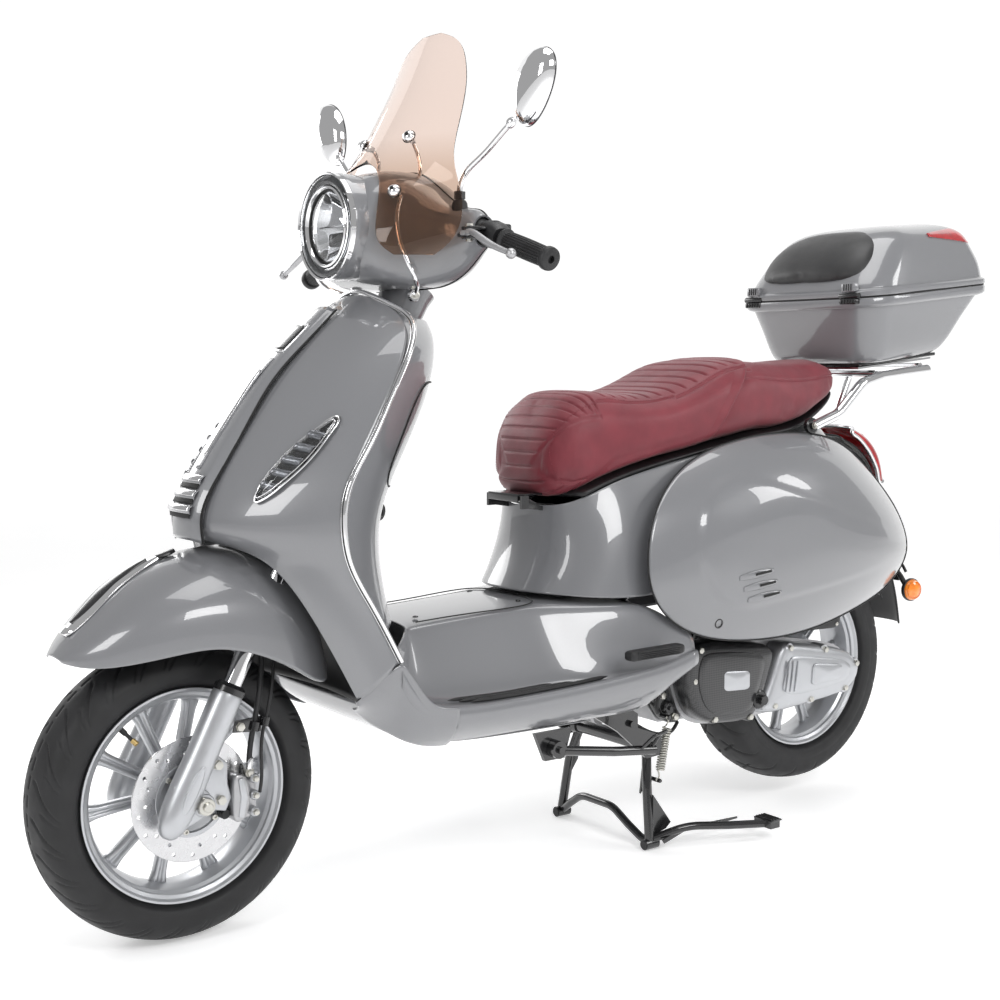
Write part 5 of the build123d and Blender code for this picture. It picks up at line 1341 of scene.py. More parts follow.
def seat_ring(y, hw, z0, z1, n=72, top=3.2):
    out = []
    zc, hz = (z0 + z1) / 2, (z1 - z0) / 2
    for k in range(n):
        a = 2 * math.pi * k / n
        c, s_ = math.cos(a), math.sin(a)
        e_ = top if s_ > 0 else 3.6
        u = math.copysign(abs(c) ** (2 / e_), c); w = math.copysign(abs(s_) ** (2 / e_), s_)
        out.append((u * hw, y, zc + w * hz))
    return out


S = spline([tuple(float(q) for q in r) for r in SEAT], 90)
INS = 4.0
loops = [seat_ring(y, max(8, hw - INS), z0 + 1.0, z1 - INS) for y, hw, z0, z1 in S]
seat = loft("seat_cover", loops, "seat", "seat_leather", ["seat_cushion"])


def low_pin(co):
    y = co.y * 1000 + SHIFT
    i = int(np.clip(np.searchsorted(S[:, 0], y), 0, len(S) - 1))
    return 1.0 if co.z * 1000 < S[i, 2] + 14 else 0.0


inflate(seat, 0.0065 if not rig.quick() else 0.009, 4.0, 0.007, frames=20, pin=low_pin)
relax(seat, 2)
mod(seat, "SUBSURF", levels=1 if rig.quick() else 2, render_levels=1 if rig.quick() else 2); apply_all(seat)
# Sewn channels: grooves pressed in at even steps along y, and fanned round the nose roll.

# Sewn channels: arc length along the seat's top line places the ribs.
topl = np.array([(r[0], r[3]) for r in S])
front = np.array([(-50 + 0.0, z) for z in (652, 668, 690, 712)])
co = co_get(seat); nm = normals(seat)
Y = co[:, 1] * 1000 + SHIFT; X = co[:, 0] * 1000; Z = co[:, 2] * 1000
HWY = np.interp(Y, S[:, 0], S[:, 1]); TOPY = np.interp(Y, S[:, 0], S[:, 3]); BOTY = np.interp(Y, S[:, 0], S[:, 2])
# centre of the nose roll, for ribs that fan round the front
NC = (62.0, 742.0)
ang = np.degrees(np.arctan2(Z - NC[1], -(Y - NC[0])))          # 0 ahead, 90 up, -90 down


def groove(d, w):
    """A soft V of half width w."""
    return np.exp(-(d / w) ** 2)


depth = np.zeros(len(Y))
in_nose = (Y < 62) & (np.abs(X) < HWY * 0.80 + 3)
edge_u = np.abs(X) / np.maximum(HWY, 1)
for a_ in range(-58, 92, 13):
    R_ = np.hypot(Y - NC[0], Z - NC[1])
    d = np.radians(ang - a_) * R_
    depth += np.where(Y < 70, groove(d, 2.3) * 3.4, 0) * np.clip((0.86 - edge_u) / 0.06, 0, 1)
panel_top = (Z > TOPY - 40)
for y_ in np.arange(62 + 26, 440, 27.0):
    side_lim = np.where(Y < 250, 0.70, 0.74)
    d = (Y - y_ - 10 * (edge_u ** 2))
    depth += np.where((Y >= 62) & panel_top, groove(d, 2.5) * 3.6, 0) * np.clip((side_lim - edge_u) / 0.06, 0, 1)
# the seam round the ribbed panel, both sides
seam_d = np.where(Y < 62, (edge_u - 0.87) * HWY, (edge_u - np.where(Y < 250, 0.745, 0.785)) * HWY)
on = np.where(Y < 62, (ang > -64), panel_top & (Y < 446))
depth += np.where(on, groove(seam_d, 2.0) * 2.6, 0)
# the step behind the rider's part: a lip that runs down the side
stepy = 446 - 9 * (X / 150.0) ** 2 - np.clip(TOPY - Z, 0, 200) * 0.95
d = Y - stepy
lip = np.where((d > -26) & (d < 0), 5.0 * np.exp(-((d + 2) / 16.0) ** 2), 0) + np.where(d >= 0, -4.5 * np.exp(-(d / 22.0) ** 2), 0)
lip *= np.clip((Z - BOTY - 12) / 40, 0, 1)
# a seam round the top edge of the passenger part
zr = TOPY - 30
depth += np.where(Y > stepy + 6, groove(Z - zr, 1.8) * 1.8, 0)
# the side panel's faint draw lines near the bottom edge
wr = np.sin((Y * 0.055 + np.sin(Z * 0.04) * 1.6)) * np.exp(-((Z - BOTY - 14) / 16.0) ** 2) * 0.7
co = co - nm * (depth[:, None] / 1000.0) + nm * ((lip + wr)[:, None] / 1000.0)
co_set(seat, co)
for p_ in seat.data.polygons:
    p_.use_smooth = True
# the nose roll is drawn back and rounded off
co = co_get(seat)
kn = np.clip((170 - (co[:, 1] * 1000 + SHIFT)) / 220, 0, 1)
hi_ = np.clip((co[:, 2] * 1000 - 650) / 170, 0, 1)
co[:, 1] += 0.034 * kn ** 1.3 + 0.020 * kn ** 2 * hi_ ** 3
co[:, 0] *= 1 - 0.10 * kn ** 2
co[:, 2] -= 0.016 * kn ** 2.4 * hi_ ** 2
co_set(seat, co)
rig.padded(seat, fill=0.85)
PANR = [r for r in S if 30 < r[0] < 716]
loft("seat_tray", [seat_ring(r[0], r[1] * k_, r[2] - 10 + d_, r[2] + 6) for r, k_, d_ in [(PANR[0], 0.70, 4)] + [(r, 0.88, 0) for r in PANR[1:-1]] + [(PANR[-1], 0.6, 4)]], "seat", "black_plastic", ["seat_pan"])
# The seat's nose hinge: an arm each side joins the ears to the column, and a strap hooks the seat over the pin.
for side, x0, x1 in (("left", 46.8, 51.6), ("right", -51.6, -46.8)):
    block(f"seat_hinge_arm_{side}", [(-42, 632), (-42, 648), (-30, 648), (-14, 640), (28, 636), (28, 621), (-30, 630)], x0, x1, "frame", "black_steel", bevel=1.0)
block("seat_hinge_strap", [(-49.5, 642), (-49.5, 656), (16, 656), (16, 651.8), (-46.2, 651.8), (-46.2, 642)], -43, 43, "seat", "black_steel", bevel=0.8)

# A sewn thread beside the panel seam, in short stitches, each side.
def seat_surface(y, x):
    """Top height of the padded seat at (y, x) from the finished mesh."""
    k = np.argmin((Y - y) ** 2 + (X - x) ** 2 + np.where(Z < (BOTY + TOPY) / 2, 1e6, 0))
    return co[k] * 1000


from mathutils.bvhtree import BVHTree
dg = bpy.context.evaluated_depsgraph_get()
seat_bvh = BVHTree.FromObject(seat, dg)


def stitch_run(name, path, step=6.0, ln=3.6, lift=0.25):
    """Short thread stitches lying on the cover along a path of (drawing mm) points."""
    P = spline(path, 500)
    seg_ = np.concatenate([[0], np.cumsum(np.linalg.norm(np.diff(P, axis=0), axis=1))])
    vs, fs = [], []
    for s0 in np.arange(0, seg_[-1] - ln, step):
        q = []
        for s_ in (s0, s0 + ln / 2, s0 + ln):
            pt = np.array([np.interp(s_, seg_, P[:, k]) for k in range(3)])
            loc, nrm, _, _ = seat_bvh.find_nearest(Vector(W(pt)))
            q.append((loc, nrm))
        t_ = (q[2][0] - q[0][0]).normalized()
        base_ = len(vs)
        for i_, (loc, nrm) in enumerate(q):
            side_ = t_.cross(nrm).normalized()
            h_ = lift / 1000 + (0.0005 if i_ == 1 else 0.0001)
            for k in range(6):
                a_ = 2 * math.pi * k / 6
                r_ = 0.00045 * (1.0 if i_ == 1 else 0.7)
                vs.append(loc + nrm * (h_ + r_ * math.sin(a_)) + side_ * (r_ * math.cos(a_)))
        for i_ in range(2):
            for k in range(6):
                fs.append((base_ + i_ * 6 + k, base_ + i_ * 6 + (k + 1) % 6, base_ + (i_ + 1) * 6 + (k + 1) % 6, base_ + (i_ + 1) * 6 + k))
        fs.append(tuple(base_ + k for k in range(6))[::-1]); fs.append(tuple(base_ + 12 + k for k in range(6)))
    return mesh_obj(name, vs, fs, "seat", "thread", world=True, slot="seat_leather")


for s, side in ((1, "left"), (-1, "right")):
    path = []
    for a_ in range(-60, 91, 15):
        r_ = 95
        y, z = NC[0] - r_ * math.cos(math.radians(a_)), NC[1] + r_ * math.sin(math.radians(a_))
        hw = np.interp(y, S[:, 0], S[:, 1])
        path.append((s * (hw * 0.87 + 3.0), y, z))
    for y in (100, 150, 200, 250, 300, 350, 400, 436):
        hw = np.interp(y, S[:, 0], S[:, 1]); tz = np.interp(y, S[:, 0], S[:, 3])
        path.append((s * (hw * (0.745 if y < 250 else 0.785) + 3.2), y, tz))
    stitch_run(f"{side}_seat_stitches", path)
    path = [(s * np.interp(y, S[:, 0], S[:, 1]) * 0.97, y, np.interp(y, S[:, 0], S[:, 3]) - 26.5) for y in range(455, 716, 20)]
    stitch_run(f"{side}_passenger_stitches", path)

# ---------------------------------------------------------------- wheels ---
YF, ZF, YR, ZR = -680.0, 229.0, 680.0, 271.0
RKA = math.radians(27)
AX = np.array([0, math.sin(RKA), math.cos(RKA)])
YA = YF + 39.0


def on_axis(z, off=0.0, x=0.0):
    return (x, YA + (z - ZF) * math.tan(RKA) - off * math.cos(RKA), z + off * math.sin(RKA))


def leg(z, x=96.0):
    return (x, YF - 35.0 + (z - ZF) * math.tan(RKA), z)


def tyre_mesh(name, centre, r, w, b, body, kind, nodes):
    """A tyre turned about X with cut tread grooves."""
    h = w / 2
    prof = [(-(b - 9), 158), (-(b - 1.6), 159.6), (-(b + 0.2), 167.0), (-(b + 4), 170), (-h + 3.5, 175), (-h + 0.6, 183), (-h + 0.1, 192), (-h + 0.8, 200), (-h + 3.2, r - 23), (-h + 8, r - 16), (-h * 0.70, r - 8.6), (-h * 0.52, r - 4.6), (-h * 0.34, r - 2.2), (-h * 0.17, r - 0.6), (0, r - 0.2)]
    prof = prof + [(-x, q) for x, q in prof[-2::-1]]
    P = spline(prof, 61 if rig.quick() else 91)
    P[:, 1] = np.minimum(P[:, 1], r - 0.1); P[:, 0] = np.clip(P[:, 0], -h + 0.05, h - 0.05)
    inner = [(b - 9, 166), (h - 11, 184), (h - 13, r - 28), (h * 0.5, r - 17), (0, r - 13), (-h * 0.5, r - 17), (-h + 13, r - 28), (-h + 11, 184), (-(b - 9), 166)]
    N = 540 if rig.quick() else 900
    th = np.linspace(0, 2 * math.pi, N, endpoint=False)
    verts = []
    npf = len(P)
    # distance across the tread, from the crown
    for (x, rad) in P:
        tread = rad > r - 30
        ux = x / h
        g = np.zeros(N)
        if tread:
            sgn = 1 if x >= 0 else -1
            a = abs(ux)
            pitch = 2 * math.pi / (26 if kind == "front" else 22)
            off = 0.0 if sgn > 0 else pitch / 2
            if kind == "front":
                # swept sipes from near the crown out over the shoulder
                bend = 0.16 * max(0.0, a - 0.15) ** 1.6 * 2.2
                ph = (th - bend + off) % pitch
                d = np.minimum(ph, pitch - ph) * r
                wgt = np.clip((a - 0.20) / 0.10, 0, 1) * np.clip((1.005 - a) / 0.05, 0, 1)
                g += np.exp(-(d / 2.3) ** 4) * 3.4 * wgt
                ph2 = (th - bend * 0.7 + off + pitch / 2) % pitch
                d2 = np.minimum(ph2, pitch - ph2) * r
                wgt2 = np.clip((a - 0.60) / 0.08, 0, 1) * np.clip((0.99 - a) / 0.05, 0, 1)
                g += np.exp(-(d2 / 1.7) ** 4) * 2.4 * wgt2
                g += math.exp(-((x) / 2.2) ** 4) * 3.0 * (0.5 + 0.5 * np.sign(np.sin(th * 52) + 0.55))
            else:
                bend = 0.34 * (a - 0.1)
                ph = (th - bend + off) % pitch
                d = np.minimum(ph, pitch - ph) * r * 0.86
                wgt = np.clip((a - 0.16) / 0.08, 0, 1) * np.clip((1.0 - a) / 0.05, 0, 1)
                g += np.exp(-(d / 2.6) ** 4) * 4.0 * wgt
                ph2 = (th + bend * 0.5 + off + pitch * 0.45) % pitch
                d2 = np.minimum(ph2, pitch - ph2) * r
                wgt2 = np.clip((0.62 - a) / 0.08, 0, 1) * np.clip((a - 0.06) / 0.06, 0, 1)
                g += np.exp(-(d2 / 2.2) ** 4) * 3.4 * wgt2
        rr = rad - g
        # fine rings on the sidewall
        if not tread and rad > 172:
            rr = rr - 0.0
            x_ = x - math.copysign(0.5, x) * (1 if abs(rad - 179) < 0.9 or abs(rad - 196) < 0.9 else 0)
        else:
            x_ = x
        for k in range(N):
            verts.append((centre[0] * 0 + x_, centre[0] + rr[k] * math.cos(th[k]), centre[1] + rr[k] * math.sin(th[k])))
    rows_n = npf
    for x, rad in inner:
        for k in range(N):
            verts.append((x, centre[0] + rad * math.cos(th[k]), centre[1] + rad * math.sin(th[k])))
        rows_n += 1
    V = np.array(verts)
    V[:, 1] = (V[:, 1] - SHIFT); V /= 1000.0
    faces = []
    for i in range(rows_n):
        a0 = i * N; a1 = ((i + 1) % rows_n) * N
        idx = np.arange(N)
        faces.append(np.stack([a0 + idx, a0 + (idx + 1) % N, a1 + (idx + 1) % N, a1 + idx], 1))
    F = np.concatenate(faces)
    me = bpy.data.meshes.new(name)
    me.vertices.add(len(V)); me.vertices.foreach_set("co", V.reshape(-1))
    me.loops.add(F.size); me.loops.foreach_set("vertex_index", F.reshape(-1))
    me.polygons.add(len(F)); me.polygons.foreach_set("loop_start", np.arange(0, F.size, 4)); me.polygons.foreach_set("loop_total", np.full(len(F), 4))
    me.update(calc_edges=True)
    me.polygons.foreach_set("use_smooth", np.ones(len(F), bool))
    ob = bpy.data.objects.new(name, me)
    scene.collection.objects.link(ob)
    bm = bmesh.new(); bm.from_mesh(me)
    if bm.calc_volume(signed=True) < 0:
        bmesh.ops.reverse_faces(bm, faces=bm.faces)
    bm.to_mesh(me); bm.free()
    return finish_obj(ob, body, "tyre", nodes)


tyre_mesh("front_tyre_tread", (YF, ZF), 229, 110, 40, "front_wheel", "front", ["front_tyre"])
tyre_mesh("rear_tyre_tread", (YR, ZR), 240, 120, 44, "rear_wheel", "rear", ["rear_tyre"])


def rim_mesh(name, c, w, hub_r, hub_w, bore, spokes, body, nodes):
    """An alloy wheel: stepped barrel, dished hub, ridged spokes in pairs of faces."""
    b = w / 2
    prof = [(-b - 5, 165.3), (-b - 5, 162), (-b - 3.4, 160.6), (-b - 1, 158.6), (-b + 1.5, 153.5), (-b + 3.5, 152.6), (-b + 6, 152.4), (-b + 10, 148), (-16, 143.2), (-8, 142), (8, 142), (16, 143.2), (b - 10, 148), (b - 6, 152.4), (b - 3.5, 152.6), (b - 1.5, 153.5), (b + 1, 158.6), (b + 3.4, 160.6), (b + 5, 162), (b + 5, 165.3),
            (b + 1.4, 165.3), (b - 0.6, 159.5), (b - 9, 156), (10, 147.4), (-10, 147.4), (-b + 9, 156), (-b + 0.6, 159.5), (-b - 1.4, 165.3)]
    obs = [turned(name, prof, (0, c[0], c[1]), (1, 0, 0), body, "silver_alloy", nodes, seg=200, closed=True, angle=24)]
    hubp = [(-hub_w, bore + 0.3), (-hub_w, hub_r * 0.62), (-hub_w + 3, hub_r * 0.72), (-hub_w + 14, hub_r * 0.80), (-18, hub_r), (-12, hub_r + 3), (12, hub_r + 3), (18, hub_r), (hub_w - 14, hub_r * 0.80), (hub_w - 3, hub_r * 0.72), (hub_w, hub_r * 0.62), (hub_w, bore + 0.3)]
    obs.append(turned("hub", hubp, (0, c[0], c[1]), (1, 0, 0), body, "silver_alloy", seg=120, closed=True, angle=26))
    for k in range(spokes):
        a = 2 * math.pi * k / spokes + 0.1
        loops = []
        for i, u in enumerate(np.linspace(0, 1, 12)):
            rr = hub_r - 3 + (146 - hub_r + 3) * u
            flare = 1 + 0.55 * max(0, (u - 0.80) / 0.2) ** 2 + 0.6 * max(0, (0.16 - u) / 0.16) ** 2
            hw = (8.6 + 2.2 * u) * flare; hd = (12 - 3.4 * u)
            # section: two ridges with a channel between, on both faces
            sec = [(-hw, 0), (-hw * 0.96, hd * 0.62), (-hw * 0.62, hd), (-hw * 0.30, hd * 0.94), (-hw * 0.14, hd * 0.52), (hw * 0.14, hd * 0.52), (hw * 0.30, hd * 0.94), (hw * 0.62, hd), (hw * 0.96, hd * 0.62), (hw, 0),
                   (hw * 0.96, -hd * 0.62), (hw * 0.62, -hd), (hw * 0.2, -hd * 0.9), (-hw * 0.2, -hd * 0.9), (-hw * 0.62, -hd), (-hw * 0.96, -hd * 0.62)]
            ca, sa = math.cos(a), math.sin(a)
            loops.append([(q[1], c[0] + rr * ca - q[0] * sa, c[1] + rr * sa + q[0] * ca) for q in sec])
        obs.append(loft("spoke", loops, body, "silver_alloy", sub=1, angle=50))
    return join(name, obs)


rim_mesh("front_rim_alloy", (YF, ZF), 80, 34, 50, 7.6, 10, "front_wheel", ["front_rim"])
rim_mesh("rear_rim_alloy", (YR, ZR), 88, 62, 44, 9.1, 10, "rear_wheel", ["rear_rim"])
# valve
ca, sa = math.cos(2.25), math.sin(2.25)
turned("front_valve", [(-2, 4.6), (10, 4.2), (12, 3.0), (24, 2.8), (24.5, 4.0), (33, 4.0), (34, 3), (34, 0)], (10, YF + 140 * ca, ZF + 140 * sa), (0.55, -0.83 * ca, -0.83 * sa), "front_wheel", "rubber", seg=24)
turned("front_valve_cap", [(24.6, 4.3), (34, 4.2), (35, 3), (35, 0)], (10, YF + 140 * ca, ZF + 140 * sa), (0.55, -0.83 * ca, -0.83 * sa), "front_wheel", "brass", seg=24)

# Brake disc: drilled ring, dished carrier, six bolts.
def disc_ring(name, r0, r1, x0, x1, body, mat, holes, nodes):
    """An annulus with drilled holes: rows of rings meshed round each hole by boolean."""
    ob = turned(name, [(x0, r0), (x1, r0), (x1, r1 - 0.5), (x1 - 0.5, r1), (x0 + 0.5, r1), (x0, r1 - 0.5)], (0, YF, ZF), (1, 0, 0), body, mat, nodes, seg=180, closed=True)
    cut = bmesh.new()
    for rr, a, hr in holes:
        M = Matrix.Translation(Vector(W(((x0 + x1) / 2, YF + rr * math.cos(a), ZF + rr * math.sin(a))))) @ Matrix.Rotation(math.radians(90), 4, "Y")
        bmesh.ops.create_cone(cut, cap_ends=True, segments=20, radius1=hr / 1000, radius2=hr / 1000, depth=0.02, matrix=M)
    cm = bpy.data.meshes.new("cut"); cut.to_mesh(cm); cut.free()
    co_ = bpy.data.objects.new("cut", cm); scene.collection.objects.link(co_)
    mod(ob, "BOOLEAN", operation="DIFFERENCE", object=co_, solver="EXACT")
    apply_all(ob)
    bpy.data.objects.remove(co_)
    sharp(ob, 30)
    return ob


holes = []
for k in range(12):
    a = 2 * math.pi * k / 12
    holes.append((74 + (12 if k % 2 else 0), a, 3.2))
    holes.append((86 - (12 if k % 2 else 0), a + 0.16, 3.2))
disc_ring("brake_disc_ring", 54, 96, 61.2, 64.8, "front_wheel", "brake_steel", holes, ["brake_disc"])
turned("disc_carrier", [(52.4, 17), (58, 17), (58.6, 30), (60, 44), (62, 50), (65.2, 52), (65.4, 58), (64.9, 58.6), (61.4, 58.6), (60.5, 54), (57, 48), (55, 34), (52.4, 30)], (0, YF, ZF), (1, 0, 0), "front_wheel", "silver_alloy", seg=100, closed=True)
for k in range(6):
    a = 2 * math.pi * k / 6 + 0.3
    bolt(f"disc_bolt_{k}", (64.4, YF + 50 * math.cos(a), ZF + 50 * math.sin(a)), (1, 0, 0), 4.6, "front_wheel", "zinc", "socket", h=3.5)

# ------------------------------------------------------------------ fork ---
# Cast lower legs with a black seal cap, an oval boss and a lug behind.
u_ = (np.array(leg(392)) - np.array(leg(196))); u_ /= np.linalg.norm(u_)
for s, side in ((1, "left"), (-1, "right")):
    x = s * 96
    top = np.array(leg(392, x)); bot = np.array(leg(196, x))
    L_ = np.linalg.norm(top - bot)
    loops = []
    fwd = np.array([0, -math.cos(RKA), math.sin(RKA)])
    for d, rr, bulg, fore in ((-12, 6, 0, 0), (-9, 12, 0, 0), (0, 18.5, 1, 0), (16, 22, 3, 0), (40, 23.0, 5, 0), (80, 23.2, 4, 0), (104, 23.4, 1, 0), (130, 23.8, 0, 0), (L_ - 30, 24, 0, 0), (L_ - 3, 24, 0, 0), (L_, 23.2, 0, 0)):
        cpt = bot + u_ * d
        loops.append([tuple(cpt + np.array([s * (rr + bulg * 0.4) * math.cos(t), 0, 0]) + fwd * (rr + bulg * 0.6) * math.sin(t)) for t in np.linspace(0, 2 * math.pi, 40, endpoint=False)])
    ob = loft(f"{side}_slider", loops, "fork", "silver_alloy", ["fork_sliders"] if s > 0 else [], sub=1, angle=60)
    turned(f"{side}_slider_seal", [(-3, 24.6), (6, 24.6), (9, 22), (12, 18.6), (12, 15.4), (-3, 15.4)], leg(393, x), tuple(u_), "fork", "satin_black", seg=56, closed=True, slot="rubber")
    # axle lug, from the leg's foot back to the axle
    lug = [(YF - 60, ZF - 26), (YF - 34, ZF - 34), (YF - 4, ZF - 22), (YF + 14, ZF - 12), (YF + 17, ZF + 4), (YF + 10, ZF + 18), (YF - 8, ZF + 34), (YF - 26, ZF + 60), (YF - 46, ZF + 34)]
    block(f"{side}_axle_lug", lug, x - 11, x + 11, "fork", "silver_alloy", bevel=5.0)
    turned(f"{side}_axle_boss", [(-14, 8), (-14, 16), (-12, 17.5), (12, 17.5), (14, 16), (14, 8)], (x, YF, ZF), (1, 0, 0), "fork", "silver_alloy", seg=48, closed=True)
# raised oval boss with a flat recess on the outer face of the left leg
for s, side in ((1, "left"), (-1, "right")):
    x = s * 119.5
    cb = np.array(leg(222, s * 96)); ct = np.array(leg(292, s * 96))
    oval, ov2 = [], []
    mid_ = (cb + ct) / 2; half = np.linalg.norm(ct - cb) / 2
    for hw, out_ in ((11.0, 20.0), (10.6, 23.6), (9.2, 24.6), (7.2, 24.8), (6.6, 24.0), (6.0, 23.6)):
        oval.append([tuple(mid_ + u_ * (math.sin(t) * (half - 11 + hw)) + fwd * (math.cos(t) * hw) + np.array([s * out_, 0, 0])) for t in np.linspace(0, 2 * math.pi, 36, endpoint=False)])
    loft(f"{side}_leg_boss", oval, "fork", "silver_alloy", sub=1, angle=60)
turned("front_axle", [(-128, 0), (-128, 7.2), (-127, 8.2), (-124, 8.2), (-124, 7.5), (112, 7.5), (112, 13), (119, 13), (120, 12), (120, 7.6), (124, 7.4), (125, 6), (125, 0)], (0, YF, ZF), (1, 0, 0), "fork", "zinc", seg=40)
bolt("axle_nut", (111, YF, ZF), (1, 0, 0), 12.5, "fork", "zinc", h=9)
turned("axle_spacer", [(63, 7.6), (63, 12), (84, 12), (84, 7.6)], (0, YF, ZF), (1, 0, 0), "fork", "silver_alloy", seg=40, closed=True)
turned("axle_spacer_right", [(-84, 7.6), (-84, 12), (-53, 12), (-53, 7.6)], (0, YF, ZF), (1, 0, 0), "fork", "silver_alloy", seg=40, closed=True)

# Caliper: two castings over the disc, slide pins, banjo and bleed screw.
CAL = (YF + 76, ZF - 4)
loops = []
for d, k in ((0, 0.80), (3, 0.94), (9, 1.0), (17, 1.0), (22, 0.92), (24, 0.78)):
    lp = []
    for t in np.linspace(0, 2 * math.pi, 28, endpoint=False):
        c, s_ = math.cos(t), math.sin(t)
        yy = 15 * math.copysign(abs(c) ** 0.75, c) * k; zz = 37 * math.copysign(abs(s_) ** 0.8, s_) * (0.93 + 0.07 * k)
        lp.append((69.5 + d, CAL[0] - 6 + yy - 5 * (zz / 37) ** 2, CAL[1] + zz))
    loops.append(lp)
loft("caliper_outer", loops, "fork", "raw_alloy", ["brake_caliper"], sub=1, angle=60)
block("caliper_rib", [(CAL[0] - 13, CAL[1] - 30), (CAL[0] - 4, CAL[1] - 32), (CAL[0] + 3, CAL[1]), (CAL[0] - 4, CAL[1] + 32), (CAL[0] - 13, CAL[1] + 30), (CAL[0] - 9, CAL[1])], 90, 95.5, "fork", "silver_alloy", bevel=2.2)
block("caliper_body", [(CAL[0] - 20, CAL[1] - 34), (CAL[0] + 14, CAL[1] - 38), (CAL[0] + 25, CAL[1] - 22), (CAL[0] + 25, CAL[1] + 24), (CAL[0] + 12, CAL[1] + 38), (CAL[0] + 4, CAL[1] + 38), (CAL[0] + 4, CAL[1] - 4), (CAL[0] - 20, CAL[1] - 8)], 69.2, 76, "fork", "raw_alloy", bevel=2.5)
block("caliper_bridge", [(CAL[0] + 22.6, CAL[1] - 30), (CAL[0] + 26, CAL[1] - 28), (CAL[0] + 26, CAL[1] + 28), (CAL[0] + 22.6, CAL[1] + 30)], 48, 76, "fork", "raw_alloy", bevel=1.2)
block("caliper_inner", [(CAL[0] + 0, CAL[1] - 30), (CAL[0] + 25, CAL[1] - 30), (CAL[0] + 25, CAL[1] + 30), (CAL[0] + 0, CAL[1] + 30)], 47, 57, "fork", "raw_alloy", bevel=3)
for k, dz in enumerate((-26, 0, 26)):
    turned(f"caliper_boss_{k}", [(-8, 0), (-8, 7.5), (14, 7.5), (16, 6), (16, 0)], (66 + 10, CAL[0] + 17, CAL[1] + dz), (1, 0, 0), "fork", "silver_alloy", seg=32)
    bolt(f"caliper_bolt_{k}", (92, CAL[0] + 17, CAL[1] + dz), (1, 0, 0), 4.6, "fork", "zinc", h=5)
for k, dz in enumerate((20, -24)):
    turned(f"slide_boot_{k}", [(-10, 0), (-10, 7), (-7, 8.6), (-4, 7), (-1, 8.6), (2, 7), (5, 8.4), (8, 6.6), (8, 0)], (74, CAL[0] - 28, CAL[1] + dz), (1, 0.05, 0), "fork", "rubber", seg=32)
turned("bleed_screw", [(0, 0), (0, 4), (10, 4), (10, 2.6), (16, 2.6), (17, 1.6), (17, 0)], (82, CAL[0] - 2, CAL[1] + 34), (0.2, -0.1, 1), "fork", "satin_black", seg=18)
# bracket between the leg's lug and the caliper, with its two bolts
brk = [(YF - 4, ZF + 30), (YF + 10, ZF + 52), (YF + 34, ZF + 66), (YF + 50, ZF + 52), (YF + 50, ZF + 20), (YF + 56, ZF - 2), (YF + 46, ZF - 22), (YF + 22, ZF - 16), (YF + 14, ZF + 8)]
block("caliper_bracket", brk, 79.5, 86.5, "fork", "silver_alloy", bevel=2.5, slot="raw_alloy")
for k, (y, z) in enumerate(((YF + 33, ZF + 52), (YF + 37, ZF - 3))):
    bolt(f"bracket_bolt_{k}", (86.5, y, z), (1, 0, 0), 7.2, "fork", "zinc", h=7)

# Hoses on the left leg, in their clamp.
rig.replaces(tube("brake_hose_line", [(80, -592, 263), (82, -592, 284), (85, -591, 305), (87, -588, 326), (87, -582, 352), (84, -573, 396), (76, -566, 430), (70, -564, 452)], 4.3, "fork", "rubber", n=90, seg=14), "brake_hose")
tube("sensor_lead", [(92, -580, 229), (95, -578, 255), (96, -579, 285), (95, -576, 318), (94, -568, 348), (92, -558, 386), (84, -550, 420), (76, -547, 444)], 2.7, "fork", "rubber", n=90, seg=12)
turned("banjo", [(-4, 0), (-4, 7), (-3, 8), (3, 8), (4, 7), (4, 0)], (80, CAL[0] + 12, CAL[1] + 34), (1, 0, 0), "fork", "zinc", seg=30)
bolt("banjo_bolt", (84, CAL[0] + 12, CAL[1] + 34), (1, 0, 0), 5.5, "fork", "zinc")
turned("hose_ferrule", [(0, 4.6), (0, 5.4), (16, 5.4), (18, 4.4)], (80, CAL[0] + 12, CAL[1] + 40), (0.1, 0.1, 1), "fork", "chrome_soft", seg=24)
for k, (y, z, w_) in enumerate(((-586, 332, 7.4), (-570, 338, 5.8))):
    turned(f"hose_clamp_{k}", [(-7, w_ - 2.0), (-7, w_), (7, w_), (7, w_ - 2.0)], (90 if k == 0 else 94, y, z), (0.0, 0.28, 1), "fork", "satin_black", seg=28, closed=True)
block("clamp_plate", [(-622, 326), (-574, 322), (-572, 346), (-618, 344)], 85, 88.5, "fork", "black_steel", bevel=1.0)
bolt("clamp_bolt", (88.5, -610, 334), (1, 0, 0), 6.6, "fork", "zinc")

# -------------------------------------------------------- front fender -----
FEND = [
    (-866, 458, 30, -862, 452), (-846, 486, 62, -846, 447), (-818, 514, 92, -815, 448), (-779, 552, 118, -770, 456), (-730, 578, 134, -715, 466),
    (-680, 594, 142, -668, 470), (-630, 602, 146, -618, 458), (-588, 604, 149, -584, 444), (-552, 601, 149, -550, 426),
    (-522, 590, 146, -522, 408), (-502, 570, 140, -500, 397), (-489, 540, 132, -486, 396), (-482, 500, 124, -478, 399),
]
rows = []
for y, z, hw, ye, ze in FEND:
    rows.append([(0, y, z), (hw * 0.24, y + (ye - y) * 0.03, z - (z - ze) * 0.025), (hw * 0.46, y + (ye - y) * 0.1, z - (z - ze) * 0.10), (hw * 0.66, y + (ye - y) * 0.2, z - (z - ze) * 0.20), (hw * 0.82, y + (ye - y) * 0.32, z - (z - ze) * 0.34),
                 (hw * 0.93, y + (ye - y) * 0.46, z - (z - ze) * 0.50), (hw * 0.985, y + (ye - y) * 0.7, z - (z - ze) * 0.72), (hw, ye, ze)])
v, f = mirrored(rows)
